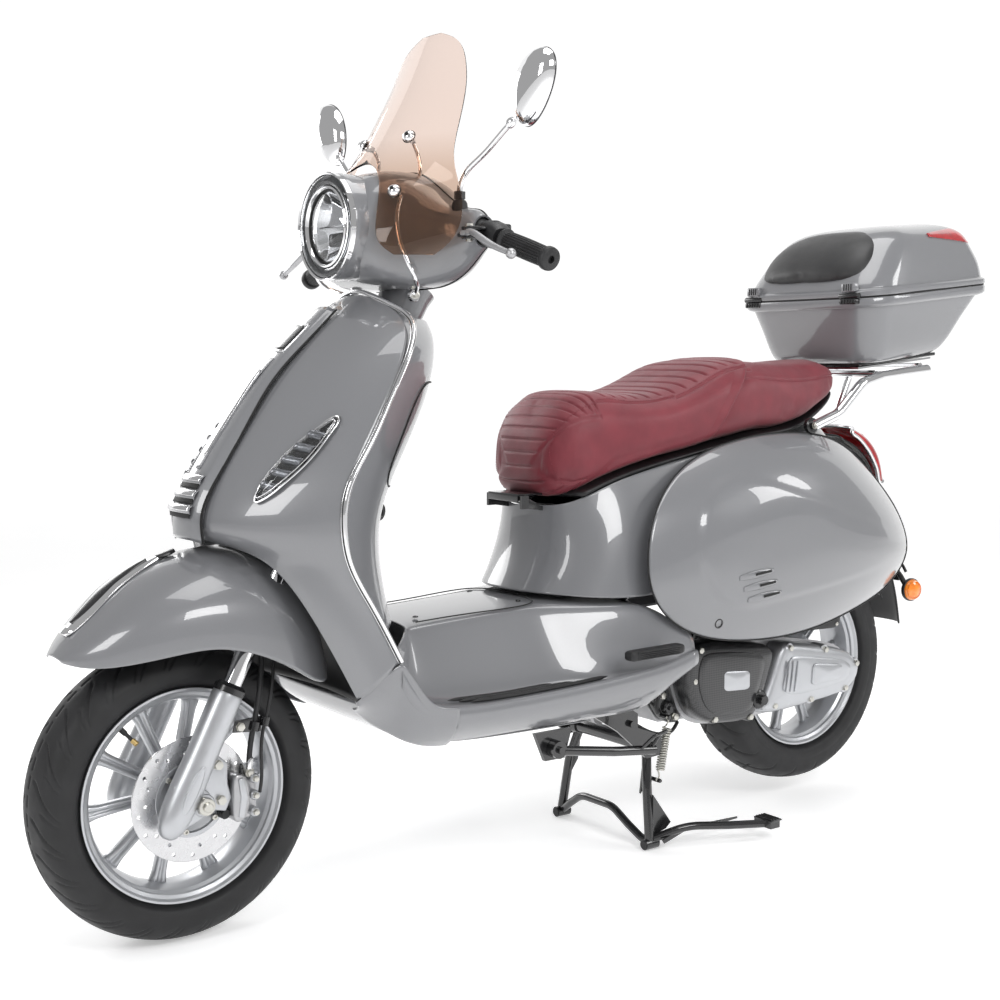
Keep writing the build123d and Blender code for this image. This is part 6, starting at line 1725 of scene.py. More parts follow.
fender = sheet("front_fender_skin", v, f, 3, (0, -680, 300), "steering", "body_grey", ["front_fender"], sub=3)


def fend_pt(x, y, lift=0.0):
    yy = [r[0][1] for r in rows]
    out = []
    for r in rows:
        xs = [q[0] for q in r]
        out.append((np.interp(abs(x), xs, [q[1] for q in r]), np.interp(abs(x), xs, [q[2] for q in r])))
    ys = [o[0] for o in out]; zs_ = [o[1] for o in out]
    k = int(np.clip(np.searchsorted(ys, y), 1, len(ys) - 1))
    z = float(np.interp(y, ys, zs_))
    dy, dz = ys[k] - ys[k - 1], zs_[k] - zs_[k - 1]
    ln = math.hypot(dy, dz)
    ny, nz = -dz / ln, dy / ln
    return (x, y + ny * lift, z + nz * lift)


# Crest on the fender: a chrome leaf with a dark centre.
def leaf_strip(name, ys, hws, lift, mat, t=1.5, sub=3):
    rw = []
    for y, hw in zip(ys, hws):
        rw.append([fend_pt(u * hw, y, lift * (1 - 0.55 * u ** 4)) for u in (0, 0.35, 0.7, 0.9, 1.0)])
    v_, f_ = mirrored(rw)
    return sheet(name, v_, f_, t, (0, -680, 300), "steering", mat, sub=sub)


ys = [-846, -838, -822, -800, -775, -748, -722, -700, -688]
leaf_strip("crest_edge", ys, [12, 20, 27, 30, 28, 23, 17, 10, 4], 6.0, "chrome", t=4)
leaf_strip("crest_centre", [-832, -824, -806, -784, -760, -736, -716], [8, 14, 19, 20, 17, 12, 6], 8.4, "satin_black", t=2)
leaf_strip("crest_bar", [-846, -842, -838], [10, 17, 19], 9.0, "chrome", t=3)
leaf_strip("crest_heel", [-700, -690, -680, -672], [9, 12, 12, 7], 7.0, "satin_black", t=3)

# ------------------------------------------------------------- head shell --
HEAD_SEC = [(204, -258, -214, 1062, 1112, 2.0), (184, -260, -208, 1052, 1122, 2.2), (150, -280, -199, 1028, 1128, 2.3), (112, -330, -186, 1008, 1150, 2.4), (86, -372, -176, 1003, 1172, 2.5),
            (52, -388, -170, 1002, 1188, 2.5), (0, -390, -168, 1001, 1194, 2.5)]
hs = spline(HEAD_SEC, 34)
hs = [tuple(r) for r in hs] + [(-r[0], *r[1:]) for r in hs[-2::-1]]
loops = []
for x, y0, y1, z0, z1, e_ in hs:
    lp = []
    for t in np.linspace(0, 2 * math.pi, 72, endpoint=False):
        c, s_ = math.cos(t), math.sin(t)
        lp.append((x, (y0 + y1) / 2 + math.copysign(abs(c) ** (2 / e_), c) * (y1 - y0) / 2, (z0 + z1) / 2 + math.copysign(abs(s_) ** (2 / e_), s_) * (z1 - z0) / 2))
    loops.append(lp)
verts = [p_ for lp in loops for p_ in lp]
head = mesh_obj("head_shell_skin", verts, grid_faces(len(loops), 72, wrap=True), "steering", "body_grey", ["head_shell"])
outward(head, (0, -280, 1090))
mod(head, "SOLIDIFY", thickness=0.003, offset=-1.0); apply_all(head)
# open the front for the headlight
cut = bmesh.new()
bmesh.ops.create_cone(cut, cap_ends=True, segments=96, radius1=0.0815, radius2=0.0815, depth=0.14, matrix=Matrix.Translation(Vector(W((0, -400, 1100)))) @ Matrix.Rotation(math.radians(90), 4, "X"))
cm = bpy.data.meshes.new("cut"); cut.to_mesh(cm); cut.free()
co_ = bpy.data.objects.new("cut", cm); scene.collection.objects.link(co_)
mod(head, "BOOLEAN", operation="DIFFERENCE", object=co_, solver="EXACT"); apply_all(head)
bpy.data.objects.remove(co_)
sharp(head, 38)
# bucket ring that carries the lamp out of the shell
turned("headlight_bucket", [(-62, 82.0), (-30, 84.5), (0, 85.6), (13, 86.0), (14.5, 85.2), (14.5, 82.0), (-10, 81.6), (-62, 79.5)], (0, -385, 1100), (0, -1, 0), "steering", "body_grey", seg=160, closed=True, angle=30)
# seam between the front and rear halves of the shell: near-black tubes, painted shade in the gap
for s, side in ((1, "left"), (-1, "right")):
    pts = []
    for k in range(0, 34, 3):
        x, y0, y1, z0, z1, e_ = hs[k]
        pts.append((s * x, y0 + (y1 - y0) * 0.62, z0 + 0.5))
    tube(f"{side}_shell_seam", pts, 1.1, "steering", "dark_gap", n=60, seg=8)
for s, side in ((1, "left"), (-1, "right")):
    pts = []
    for k in range(0, 34, 3):
        x, y0, y1, z0, z1, e_ = hs[k]
        pts.append((s * x, y0 + (y1 - y0) * 0.62, z1 - 0.3))
    tube(f"{side}_shell_seam_top", pts, 1.1, "steering", "dark_gap", n=60, seg=8)

# Headlight: a clear ridged ring round a round lens, with its reflector behind.
HC = (0, -388, 1100)
turned("headlight_reflector", [(-56, 0.1), (-56, 14), (-48, 30), (-32, 46), (-12, 57), (0, 62), (0, 64), (-14, 60), (-34, 49), (-51, 32), (-59, 14), (-59, 0.1)], HC, (0, -1, 0), "steering", "chrome", ["headlight_body"], seg=120)
turned("headlight_ring_bed", [(0, 63), (0, 81.4), (-3, 81.4), (-3, 63)], HC, (0, -1, 0), "steering", "chrome_soft", seg=120, closed=True)
# the gasket ring is near-black: the gasket's black together with painted shade of the join
turned("headlight_gasket", [(1, 60.5), (9, 59.5), (11, 58.0), (9, 56.4), (0, 57.5)], HC, (0, -1, 0), "steering", "dark_gap", seg=120, closed=True)
turned("headlight_bezel", [(8, 58.5), (14, 60), (16, 62), (14, 64.5), (6, 64)], HC, (0, -1, 0), "steering", "chrome", seg=140, closed=True)
turned("headlight_rim", [(10, 80.5), (15, 82), (17, 84.5), (15.5, 86), (8, 86.2), (8, 84)], HC, (0, -1, 0), "steering", "chrome", seg=160, closed=True)
# ridges in the clear ring
fins = []
for k in range(96):
    a = 2 * math.pi * k / 96
    ca, sa = math.cos(a), math.sin(a)
    fins.append([(r_ * ca - w_ * sa, HC[1] - d_, HC[2] + r_ * sa + w_ * ca) for r_, w_, d_ in ((66, -0.8, 1), (79, -0.8, 1), (79, 0.8, 1), (66, 0.8, 1), (66, 0, 4.5), (79, 0, 4.5))])
verts, faces = [], []
for q in fins:
    b0 = len(verts); verts += q
    faces += [(b0, b0 + 1, b0 + 5, b0 + 4), (b0 + 3, b0 + 4, b0 + 5, b0 + 2), (b0, b0 + 3, b0 + 2, b0 + 1), (b0, b0 + 4, b0 + 3), (b0 + 1, b0 + 2, b0 + 5)]
mesh_obj("headlight_ring_ridges", verts, faces, "steering", "led_panel", smooth=False)
turned("headlight_cover_ring", [(8, 64), (13.5, 66), (16, 71), (16.2, 76), (14, 81), (12.4, 81), (14.4, 76), (14.2, 71), (12, 67), (6.5, 65)], HC, (0, -1, 0), "steering", "clear_lens", ["headlight_lens"], seg=160, closed=True)
turned("headlight_lens_dome", [(8, 58.2), (11, 50), (14, 36), (15.6, 20), (16, 0.1), (13.6, 0.1), (13.2, 20), (11.6, 36), (8.6, 49), (5.6, 57.6)], HC, (0, -1, 0), "steering", "clear_lens", seg=120)
# lamp unit: a cross vane with a shade, and a bulb dome
cube("lamp_vane", (0, HC[1] + 22, HC[2] + 2), (104, 30, 3), "steering", "chrome", bevel=1.0)
turned("lamp_bulb", [(-50, 0.1), (-50, 15), (-30, 15), (-26, 12), (-22, 6), (-21, 0.1)], HC, (0, -1, 0), "steering", "chrome_soft", seg=48)
cube("lamp_shade", (0, HC[1] + 10, HC[2] - 20), (42, 12, 22), "steering", "satin_black", bevel=4)

# Speedometer on top of the shell, facing the rider.
sp0, spd = Vector((0, -196, 1129)), Vector((0, 0.91, 0.41)).normalized()
turned("speedometer_case", [(-16, 30), (0, 42.5), (26, 42.5), (30, 41.5), (31, 39), (28, 38), (28, 0.1)], tuple(sp0), tuple(spd), "steering", "body_grey", seg=96, slot="body_grey")
turned("speedometer_ring", [(27, 37.5), (31, 38), (33, 40), (31.5, 42.6), (27, 42.9)], tuple(sp0), tuple(spd), "steering", "chrome", seg=96, closed=True)
turned("speedometer_face", [(27.6, 38), (27.9, 0.1)], tuple(sp0), tuple(spd), "steering", "satin_black", seg=96)
turned("speedometer_glass", [(29, 38), (30.6, 30), (31.6, 0.1), (30.6, 0.1), (29.6, 29), (28.3, 37.6)], tuple(sp0), tuple(spd), "steering", "clear_lens", seg=96)
ux = Vector((1, 0, 0)); uy = spd.cross(ux).normalized()
tick = []
for k in range(25):
    a = math.radians(-40 + 260 * k / 24)
    r0 = 29 if k % 4 == 0 else 31.5
    d_ = ux * math.cos(a) + uy * math.sin(a); w_ = ux * -math.sin(a) + uy * math.cos(a)
    q0 = sp0 + spd * 28.25
    b0 = [q0 + d_ * r0 - w_ * 0.45, q0 + d_ * 35 - w_ * 0.45, q0 + d_ * 35 + w_ * 0.45, q0 + d_ * r0 + w_ * 0.45]
    tick.append([tuple(p_) for p_ in b0] + [tuple(p_ + spd * 0.25) for p_ in b0])
verts, faces = [], []
for q in tick:
    b0 = len(verts); verts += q
    faces += [(b0, b0 + 3, b0 + 2, b0 + 1), (b0 + 4, b0 + 5, b0 + 6, b0 + 7)] + [(b0 + k, b0 + (k + 1) % 4, b0 + 4 + (k + 1) % 4, b0 + 4 + k) for k in range(4)]
mesh_obj("speedometer_ticks", verts, faces, "steering", "led_panel", smooth=False)
q0 = sp0 + spd * 28.6; a = math.radians(200)
d_ = ux * math.cos(a) + uy * math.sin(a)
tube("speedometer_needle", [tuple(q0 - d_ * 5), tuple(q0 + d_ * 27)], 0.7, "steering", "amber_lens", seg=8)
turned("needle_hub", [(28.2, 4), (30.4, 3.6), (30.6, 0.1)], tuple(sp0), tuple(spd), "steering", "satin_black", seg=30)

# Neck cover under the shell, over the steering stem.
axv = tuple(AX)
turned("neck_cover", [(-8, 36), (-4, 40), (40, 42), (58, 46), (60, 44), (40, 38), (-4, 36.5)], on_axis(955), axv, "steering", "body_grey", seg=80, closed=True)
turned("neck_sleeve", [(-50, 17), (-50, 25), (0, 27), (0, 17)], on_axis(955), axv, "steering", "satin_black", seg=60, closed=True, slot="black_plastic")

# ------------------------------------------------------------ windscreen ---
SCREEN = [
    (1424, 0, -198, 28, -196), (1412, 0, -204, 66, -195), (1395, 0, -211, 88, -196), (1372, 0, -222, 102, -199), (1333, 0, -242, 119, -208), (1286, 0, -270, 134, -228), (1240, 0, -300, 141, -246),
    (1214, 0, -322, 148, -256), (1186, 62, -340, 162, -262), (1160, 84, -352, 180, -266), (1128, 100, -366, 196, -270), (1096, 108, -376, 199, -276), (1068, 114, -378, 188, -288), (1050, 134, -358, 168, -306),
]
rows = []
for z, xi, yi, xo, yo in SCREEN:
    row = []
    for k in range(9):
        u = k / 8
        w = u * u if xi == 0 else (u * (0.55 + 0.45 * u))
        row.append((xi + (xo - xi) * u, yi + (yo - yi) * w, z))
    rows.append(row)
v, f = mirrored(rows)
sheet("windscreen_sheet", v, f, 3, (0, -60, 1250), "steering", "screen_tint", ["windscreen"], sub=3, bevel=0.8)


def screen_pt(x, z):
    zs_ = [r[0] for r in SCREEN][::-1]
    out = []
    for r in rows[::-1]:
        out.append(np.interp(abs(x), [q[0] for q in r], [q[1] for q in r]))
    return (x, float(np.interp(z, zs_, out)), z)


for s, side in ((1, "left"), (-1, "right")):
    for k, (x, z) in enumerate(((68, 1243), (112, 1150))):
        p0 = Vector(screen_pt(s * x, z))
        nrm = Vector((s * 0.45, -0.80, 0.40)).normalized()
        turned(f"{side}_screen_washer_{k}", [(0, 4), (0, 11.5), (1.5, 11.5), (1.5, 4)], tuple(p0), tuple(nrm), "steering", "rubber", seg=36, closed=True)
        bolt(f"{side}_screen_bolt_{k}", tuple(p0 + nrm * 1.2), tuple(nrm), 10.5, "steering", "chrome", "dome", h=9)
        # the socket in each dome bolt is near-black: painted shade in the recess
        turned(f"{side}_bolt_socket_{k}", [(9.8, 0.1), (10.25, 3.0), (10.35, 3.4), (9.9, 3.6)], tuple(p0 + nrm * 0.9), tuple(nrm), "steering", "dark_gap", seg=6)
        turned(f"{side}_screen_nut_{k}", [(0, 0.1), (0, 8), (-5, 8), (-7, 6), (-14, 5), (-14, 0.1)], tuple(p0 - nrm * 3.4), tuple(nrm), "steering", "chrome_soft", seg=6)
    a0 = Vector(screen_pt(s * 68, 1243)) - Vector((s * 0.45, -0.80, 0.40)).normalized() * 14
    tube(f"{side}_screen_stay", [tuple(a0), tuple(a0 + Vector((-s * 2, 10, -18))), (s * 64, -262, 1196), (s * 60, -262, 1172)], 3.4, "steering", "chrome", n=40, seg=14)
    tube(f"{side}_screen_rod", [tuple(Vector(screen_pt(s * 112, 1150)) + Vector((s * 1.0, 12, -8))), (s * 122, -344, 1112), (s * 134, -346, 1070), (s * 146, -338, 1036), (s * 142, -324, 1014), (s * 120, -306, 1002), (s * 98, -296, 993)], 3.6, "steering", "chrome", ["screen_rods"] if s > 0 else [], n=90, seg=14)
    turned(f"{side}_rod_eye", [(-4, 4), (-4, 9.5), (-3, 10.2), (3, 10.2), (4, 9.5), (4, 4)], (s * 92, -294, 991), (s, 0.1, 0), "steering", "chrome", seg=36, closed=True)
    bolt(f"{side}_rod_bolt", (s * 96, -294, 991), (s, 0.1, 0), 5.5, "steering", "zinc", h=6)
    cube(f"{side}_rod_tab", (s * 92, -292, 1003), (4, 12, 18), "steering", "zinc", bevel=1.0)
    bolt(f"{side}_clip", (s * 134, -346, 1068), (s * 0.5, -0.8, 0), 4.0, "steering", "chrome", "dome", h=4)

# --------------------------------------------------------------- mirrors ---
for s, side in ((1, "left"), (-1, "right")):
    loops = []
    for y, sc in ((-236, 0.10), (-235.4, 0.30), (-233, 0.54), (-229.6, 0.73), (-225, 0.88), (-219.5, 0.96), (-214, 0.995), (-210.5, 1.0), (-209.2, 0.99), (-209.0, 0.955), (-210.6, 0.945)):
        lp = []
        for t in np.linspace(0, 2 * math.pi, 64, endpoint=False):
            rx, rz = 50 * math.cos(t), 56 * math.sin(t)
            lp.append((s * (300 + rx * sc * (0.86 + 0.14 * math.sin(t)) + 0.3 * rz * sc), y, 1296 + rz * sc))
        loops.append(lp)
    loft(f"{side}_mirror_shell", loops, f"{side}_mirror", "chrome", [f"{side}_mirror"], angle=50)
    gl = [(300 + (p_[0] - 300) , p_[1], p_[2]) for p_ in loops[-1]]
    face = [[(s * 300 + (p_[0] - s * 300) * k_, -210.2 + 1.2 * (1 - k_ * k_), 1296 + (p_[2] - 1296) * k_) for p_ in loops[-1]] for k_ in (0.995, 0.8, 0.6, 0.4, 0.2, 0.05)]
    loft(f"{side}_mirror_glass", face, f"{side}_mirror", "mirror_silver", angle=80)
    tube(f"{side}_mirror_rim", [(p_[0] * 1.0, -209.6, p_[2]) for p_ in loops[8]][::4], 1.3, f"{side}_mirror", "satin_black", n=120, seg=8, closed=True)
    tube(f"{side}_mirror_stem", [(s * 152, -246, 1118), (s * 152, -246, 1140), (s * 153, -246, 1158), (s * 164, -243, 1180), (s * 196, -234, 1204), (s * 236, -227, 1233), (s * 258, -223, 1249)], 4.6, "steering", "chrome", ["mirror_stems"] if s > 0 else [], n=110, seg=16)
    turned(f"{side}_mirror_ball", [(-7, 4.6), (-5, 7), (0, 8), (5, 7), (8, 5), (9, 0.1)], (s * 256, -223.6, 1247.5), (s * 0.78, 0.14, 0.6), "steering", "chrome", seg=30)
    turned(f"{side}_mirror_nut", [(-6, 5), (-6, 9), (6, 9), (6, 5)], (s * 152, -246, 1146), (0, 0, 1), "steering", "satin_black", seg=6, closed=True)
    turned(f"{side}_mirror_boot", [(-10, 13), (-6, 13.5), (6, 12), (10, 9.5), (12, 5), (-10, 5)], (s * 152, -246, 1128), (0, 0, 1), "steering", "rubber", seg=40, closed=True)

# ----------------------------------------------- bar, grips and levers ------
def on_bar(x, s=1):
    u = (x - 172) / 182
    return Vector((s * x, -238 + 10 * u, 1098 - 60 * u))


def bar_frame(s):
    d = (on_bar(300, s) - on_bar(200, s)).normalized()
    a = Vector((0, -1, 0)); a = (a - d * a.dot(d)).normalized()
    return d, a, d.cross(a)


def grip(name, s, body, nodes):
    d, a, b = bar_frame(s)
    loops = []
    prof = [(253, 11.2, 0), (253, 15.4, 0), (255, 17.6, 0), (258, 18.0, 0), (260, 16.4, 0), (262, 14.6, 0), (264, 14.2, 0.8), (267, 14.9, 1)]
    prof += [(x, 15.0 + 0.55 * math.sin((x - 267) / 79 * math.pi), 1) for x in np.linspace(271, 342, 22)] + [(346, 14.8, 1), (348, 14.4, 0.8), (349.5, 14.8, 0), (350.5, 17.6, 0), (353, 18.4, 0), (357, 18.4, 0), (360.5, 17.6, 0), (362, 15.6, 0), (362.2, 6.4, 0), (361.6, 5.8, 0), (356, 5.6, 0), (356, 0.1, 0)]
    for x, r, k in prof:
        o = on_bar(x, s)
        lp = []
        for j in range(120):
            t = 2 * math.pi * j / 120
            rib = k * (0.75 if (j % 5) in (1, 2, 3) else -0.45)
            lp.append(tuple(o + (a * math.cos(t) + b * math.sin(t)) * (r + rib)))
        loops.append(lp)
    return loft(name, loops, body, "rubber", nodes, angle=40)


grip("left_grip_rubber", 1, "steering", ["left_grip"])
grip("throttle_grip_rubber", -1, "throttle", ["throttle_grip"])
for s, side in ((1, "left"), (-1, "right")):
    body = "steering"
    d, a, b = bar_frame(s)
    P0 = on_bar(222, s)
    px, py, pz = P0
    # switch and perch housing round the bar: a rounded pod with a parting line
    loops = []
    for x, ra, rb, off in ((207, 12, 12, 0), (207.5, 16, 17, 1), (211, 19, 21, 2), (218, 21, 24, 4), (230, 21, 24, 4), (238, 19.5, 21, 3), (243, 17.5, 18.5, 1), (246.5, 16, 17, 0), (247, 12, 12, 0)):
        o = on_bar(x, s) - a * off
        lp = []
        for j in range(44):
            t = 2 * math.pi * j / 44
            c, s_ = math.cos(t), math.sin(t)
            lp.append(tuple(o + a * (math.copysign(abs(c) ** 0.8, c) * rb) + b * (math.copysign(abs(s_) ** 0.8, s_) * ra)))
        loops.append(lp)
    loft(f"{side}_switch_pod", loops, body, "black_plastic", ["lever_perches"] if s > 0 else [], angle=40)
    # the parting line is a near-black tube: painted shade in the seam
    tube(f"{side}_pod_seam", [tuple(on_bar(222, s) - a * 4 + (a * math.cos(t) * 24.3 + b * math.sin(t) * 21.3)) for t in np.linspace(0, 2 * math.pi, 28, endpoint=False)], 0.7, body, "dark_gap", n=90, seg=8, closed=True)
    # perch, pivot bolt, reservoir-free clamp
    cube(f"{side}_perch_top", (px, py - 34, pz + 7.5), (25, 30, 5.5), body, "satin_black", bevel=2)
    cube(f"{side}_perch_low", (px, py - 34, pz - 7.0), (25, 30, 4.5), body, "satin_black", bevel=2)
    cube(f"{side}_perch_web", (px - s * 6, py - 21, pz + 0.5), (14, 8, 16), body, "satin_black", bevel=2)
    bolt(f"{side}_lever_bolt", (px, py - 42, pz + 10), (0, 0, 1), 6.0, body, "zinc", h=4)
    bolt(f"{side}_lever_nut", (px, py - 42, pz - 9), (0, 0, -1), 5.4, body, "zinc", h=4)
    # lever blade: a flattened bar swept to a ball end
    lt = on_bar(346, s)
    tip = (lt[0], lt[1] - 62, lt[2] + 2)
    mid = ((px + tip[0]) / 2 + s * 6, tip[1] - 4, (pz + tip[2]) / 2 + 1)
    cube(f"{side}_lever_boss", (px, py - 42.5, pz), (20, 22, 7.4), f"{side}_lever", "raw_alloy", bevel=2.2)
    tube(f"{side}_lever_blade", [(px + s * 2, py - 46, pz), (px + s * 12, py - 53, pz - 0.2), (px + s * 24, py - 56, pz - 0.5), mid, tip], [4.6, 5.0, 4.4, 5.2, 5.6, 5.0, 4.4, 4.2], f"{side}_lever", "raw_alloy", [f"{side}_lever"], n=70, seg=20)
    turned(f"{side}_lever_ball", [(-8, 0.1), (-7.4, 3.2), (-5.6, 5.8), (-3, 7.5), (0, 8), (3, 7.5), (5.6, 5.8), (7.4, 3.2), (8, 0.1)], tip, (s * 0.95, 0.05, -0.3), f"{side}_lever", "raw_alloy", seg=36)
    # buttons, rocker and labels left blank
    btn = "horn_button" if s > 0 else "starter_button"
    turned(btn + "_cap", [(24, 0.1), (24, 5.6), (32.5, 5.6), (34, 4.6), (34.4, 0.1)], (px, py, pz), (0, 1, 0), btn, "amber_lens" if s > 0 else "red_lens", [btn], seg=36, slot="amber_lens" if s > 0 else "red_lens")
    cube(f"{side}_switch_box", (px + s * 1, py + 19, pz), (31, 18, 32), body, "black_plastic", bevel=4)
    cube(f"{side}_rocker", (px + s * 2, py + 28.6, pz + 11.5), (12, 2.4, 5), body, "dark_gap", bevel=0.8)
    turned(f"{side}_button_ring", [(0, 6.3), (0, 8), (1.6, 7.6), (1.6, 6.3)], (px, py + 27.6, pz), (0, 1, 0), body, "satin_black", seg=30, closed=True)
    # cable from the perch down into the shell
    tube(f"{side}_lever_cable", [(px - s * 10, py - 40, pz), (px - s * 26, py - 42, pz - 2), (px - s * 40, py - 30, pz + 2), (s * 170, -246, 1090)], 3.2, body, "rubber", n=50, seg=12)
    turned(f"{side}_shell_boot", [(-8, 16), (0, 18), (6, 15), (14, 13), (14, 11.4), (-8, 11.4)], tuple(on_bar(203, s) - d * 8), tuple(d), body, "rubber", seg=40, closed=True)

# --------------------------------------------------------------- engine -----
def smooth_outline(pts, per=10, keep=0.32):
    """Rounds the corners of a closed outline, keeping its straights."""
    out = []
    n = len(pts)
    for i in range(n):
        p0, p1, p2 = (np.array(pts[(i + k) % n], float) for k in (-1, 0, 1))
        a = p1 + (p0 - p1) * keep; b = p1 + (p2 - p1) * keep
        for t in np.linspace(0, 1, per):
            out.append(tuple((1 - t) ** 2 * a + 2 * t * (1 - t) * p1 + t * t * b))
    return out


def shell_cover(name, outline, steps, mat, nodes, slot=None, body="engine", sub=0):
    """A moulded cover: the outline drawn in towards its middle, step by step, as it comes out in x."""
    o = np.array(outline)
    c = o.mean(0)
    nxt, prv = np.roll(o, -1, 0), np.roll(o, 1, 0)
    t = nxt - prv; t /= np.linalg.norm(t, axis=1)[:, None]
    nrm = np.stack([t[:, 1], -t[:, 0]], 1)
    if np.mean(np.sum(nrm * (o - c), 1)) < 0:
        nrm = -nrm
    loops = []
    for x, inset in steps:
        q = o - nrm * inset
        loops.append([(x, y, z) for y, z in q])
    # close the face with shrinking rings so that it can crown
    x1, i1 = steps[-1]
    q = o - nrm * i1
    m = q.mean(0)
    for k, dx in ((0.86, 0.8), (0.6, 2.0), (0.3, 2.8), (0.05, 3.0)):
        loops.append([(x1 + dx * 0.8, m[0] + (y - m[0]) * k, m[1] + (z - m[1]) * k) for y, z in q])
    return loft(name, loops, body, mat, nodes, slot=slot, sub=sub, angle=40)


DCF = smooth_outline([(286, 372), (268, 345), (266, 290), (290, 236), (330, 212), (438, 204), (470, 250), (506, 344), (400, 362)], 9, 0.40)
shell_cover("drive_cover_black", DCF, [(101, 0), (124, 0), (134, 1.5), (140, 5), (143.5, 10), (145, 16)], "carbon_black", ["drive_cover_front"])
DCF2 = smooth_outline([(306, 352), (292, 330), (290, 292), (308, 248), (338, 230), (424, 224), (444, 256), (472, 330), (396, 344)], 9, 0.42)
shell_cover("drive_cover_black_step", DCF2, [(143, 0), (147, 0.6), (148.4, 3)], "carbon_black", [])
shell_cover("drive_cover_plate", smooth_outline([(352, 274), (352, 312), (420, 306), (420, 270)], 8, 0.22), [(148.5, 0), (150.6, 0.5), (151.2, 1.6)], "silver_alloy", [])
DCR = smooth_outline([(446, 206), (700, 222), (740, 248), (748, 280), (708, 314), (560, 342), (516, 347), (484, 268)], 9, 0.38)
shell_cover("drive_cover_silver", DCR, [(101, 0), (122, 0), (132, 1.5), (138, 5), (141.4, 10), (142.6, 15)], "silver_alloy", ["drive_cover_rear"])
DCR2 = smooth_outline([(508, 238), (684, 246), (708, 262), (712, 280), (690, 296), (560, 318), (532, 316)], 9, 0.4)
shell_cover("drive_cover_step", DCR2, [(141, 0), (145.5, 0.8), (147.0, 3)], "silver_alloy", [])
frame_out = smooth_outline([(590, 254), (676, 258), (680, 288), (594, 300)], 8, 0.22)
shell_cover("drive_cover_boss", frame_out, [(147, 0), (151.4, 0.8), (152.4, 2.4)], "silver_alloy", [])
for k, (y0, z0, y1, z1) in enumerate(((522, 252, 530, 310), (534, 250, 542, 309), (546, 249, 554, 308))):
    tube(f"cover_rib_{k}", [(148, y0, z0), (149.4, (y0 + y1) / 2, (z0 + z1) / 2), (148, y1, z1)], 2.4, "engine", "silver_alloy", n=20, seg=12)
for k, (y, z) in enumerate(((292, 356), (278, 300), (330, 222), (424, 214))):
    bolt(f"front_cover_bolt_{k}", (139, y + 8, z), (1, 0, 0), 6.0, "engine", "zinc", h=6)
    turned(f"front_cover_boss_{k}", [(-30, 0.1), (-30, 10), (0, 9.2), (1, 8.4), (1, 0.1)], (138, y + 8, z), (1, 0, 0), "engine", "carbon_black", seg=30)
for k, (y, z) in enumerate(((498, 226), (600, 226), (700, 236), (732, 282), (640, 320), (540, 334))):
    turned(f"rear_cover_boss_{k}", [(-30, 0.1), (-30, 11), (0, 10.2), (1.4, 9.0), (1.4, 0.1)], (137.5, y, z), (1, 0, 0), "engine", "silver_alloy", seg=30)
    bolt(f"rear_cover_bolt_{k}", (139, y, z), (1, 0, 0), 6.0, "engine", "zinc", h=6)
# gasket line between the covers and the case, the case's flange, and the kick-start boss
shell_cover("case_flange", smooth_outline([(276, 366), (262, 344), (260, 290), (284, 232), (326, 206), (440, 198), (702, 216), (748, 246), (756, 282), (712, 320), (560, 348), (400, 366)], 8, 0.36), [(92, 0), (100.6, 0)], "raw_alloy", [])
turned("kick_boss", [(-10, 0.1), (-10, 19), (4, 18), (6, 15), (6, 9.5), (16, 9.5), (17, 8.5), (17, 0.1)], (143, 452, 246), (1, 0, 0), "engine", "satin_black", seg=40)
# cylinder with cooling shroud, fins, intake and lines under the floor
for k in range(9):
    y = 158 + k * 7.4
    block(f"cylinder_fin_{k}", [(y, 284), (y + 2.2, 284), (y + 2.2, 352), (y, 352)], -66, 40, "engine", "silver_alloy", bevel=0.6)
block("crank_shroud", smooth_outline([(232, 340), (228, 264), (262, 216), (300, 212), (300, 346)], 6, 0.3), 60, 92, "engine", "satin_black", bevel=5)
turned("oil_filler", [(-6, 0.1), (-6, 13), (6, 13), (9, 10), (9, 4), (13, 4), (13, 0.1)], (92, 262, 246), (1, 0, 0), "engine", "satin_black", seg=10)
for k, (y, z) in enumerate(((246, 322), (250, 270), (282, 226), (286, 330))):
    bolt(f"crank_bolt_{k}", (92, y, z), (1, 0, 0), 6.5, "engine", "zinc", h=6)
tube("breather_hose", [(78, 300, 352), (84, 280, 372), (80, 250, 372), (70, 232, 356), (64, 226, 330)], 6.0, "engine", "rubber", n=60, seg=16)
tube("fuel_hose", [(96, 264, 300), (106, 240, 300), (112, 226, 280), (104, 226, 256), (92, 238, 240)], 3.6, "engine", "rubber", n=60, seg=12)
tube("clutch_cable", [(102, 280, 218), (112, 250, 204), (104, 214, 208), (84, 190, 224), (70, 168, 244), (52, 150, 262)], 3.4, "engine", "rubber", n=80, seg=12)

# Airbox over the drive, its lid screws, and the blank label plate.
ab = [[(68, 560, 362), (128, 560, 362), (128, 560, 420), (68, 560, 420)], [(68, 700, 350), (124, 700, 350), (124, 700, 420), (68, 700, 420)]]
loops = []
for y, k in ((556, 0.7), (558, 0.9), (564, 0.98), (580, 1), (680, 1), (694, 0.98), (701, 0.9), (703, 0.7)):
    lp = []
    for j in range(40):
        t = 2 * math.pi * j / 40
        c, s_ = math.cos(t), math.sin(t)
        lp.append((97 + math.copysign(abs(c) ** 0.5, c) * 30 * k, y, 388 - (y - 560) * 0.03 + math.copysign(abs(s_) ** 0.5, s_) * 31 * k))
    loops.append(lp)
loft("airbox_body", loops, "engine", "black_plastic", ["airbox"], angle=40)
shell_cover("airbox_lid", smooth_outline([(566, 364), (566, 414), (692, 412), (692, 356)], 8, 0.25), [(126, 0), (130.5, 0.5), (131.6, 2.5)], "black_plastic", [])
shell_cover("airbox_label", smooth_outline([(640, 376), (640, 398), (676, 397), (676, 374)], 6, 0.18), [(131.9, 0), (132.7, 0.2)], "satin_black", [])
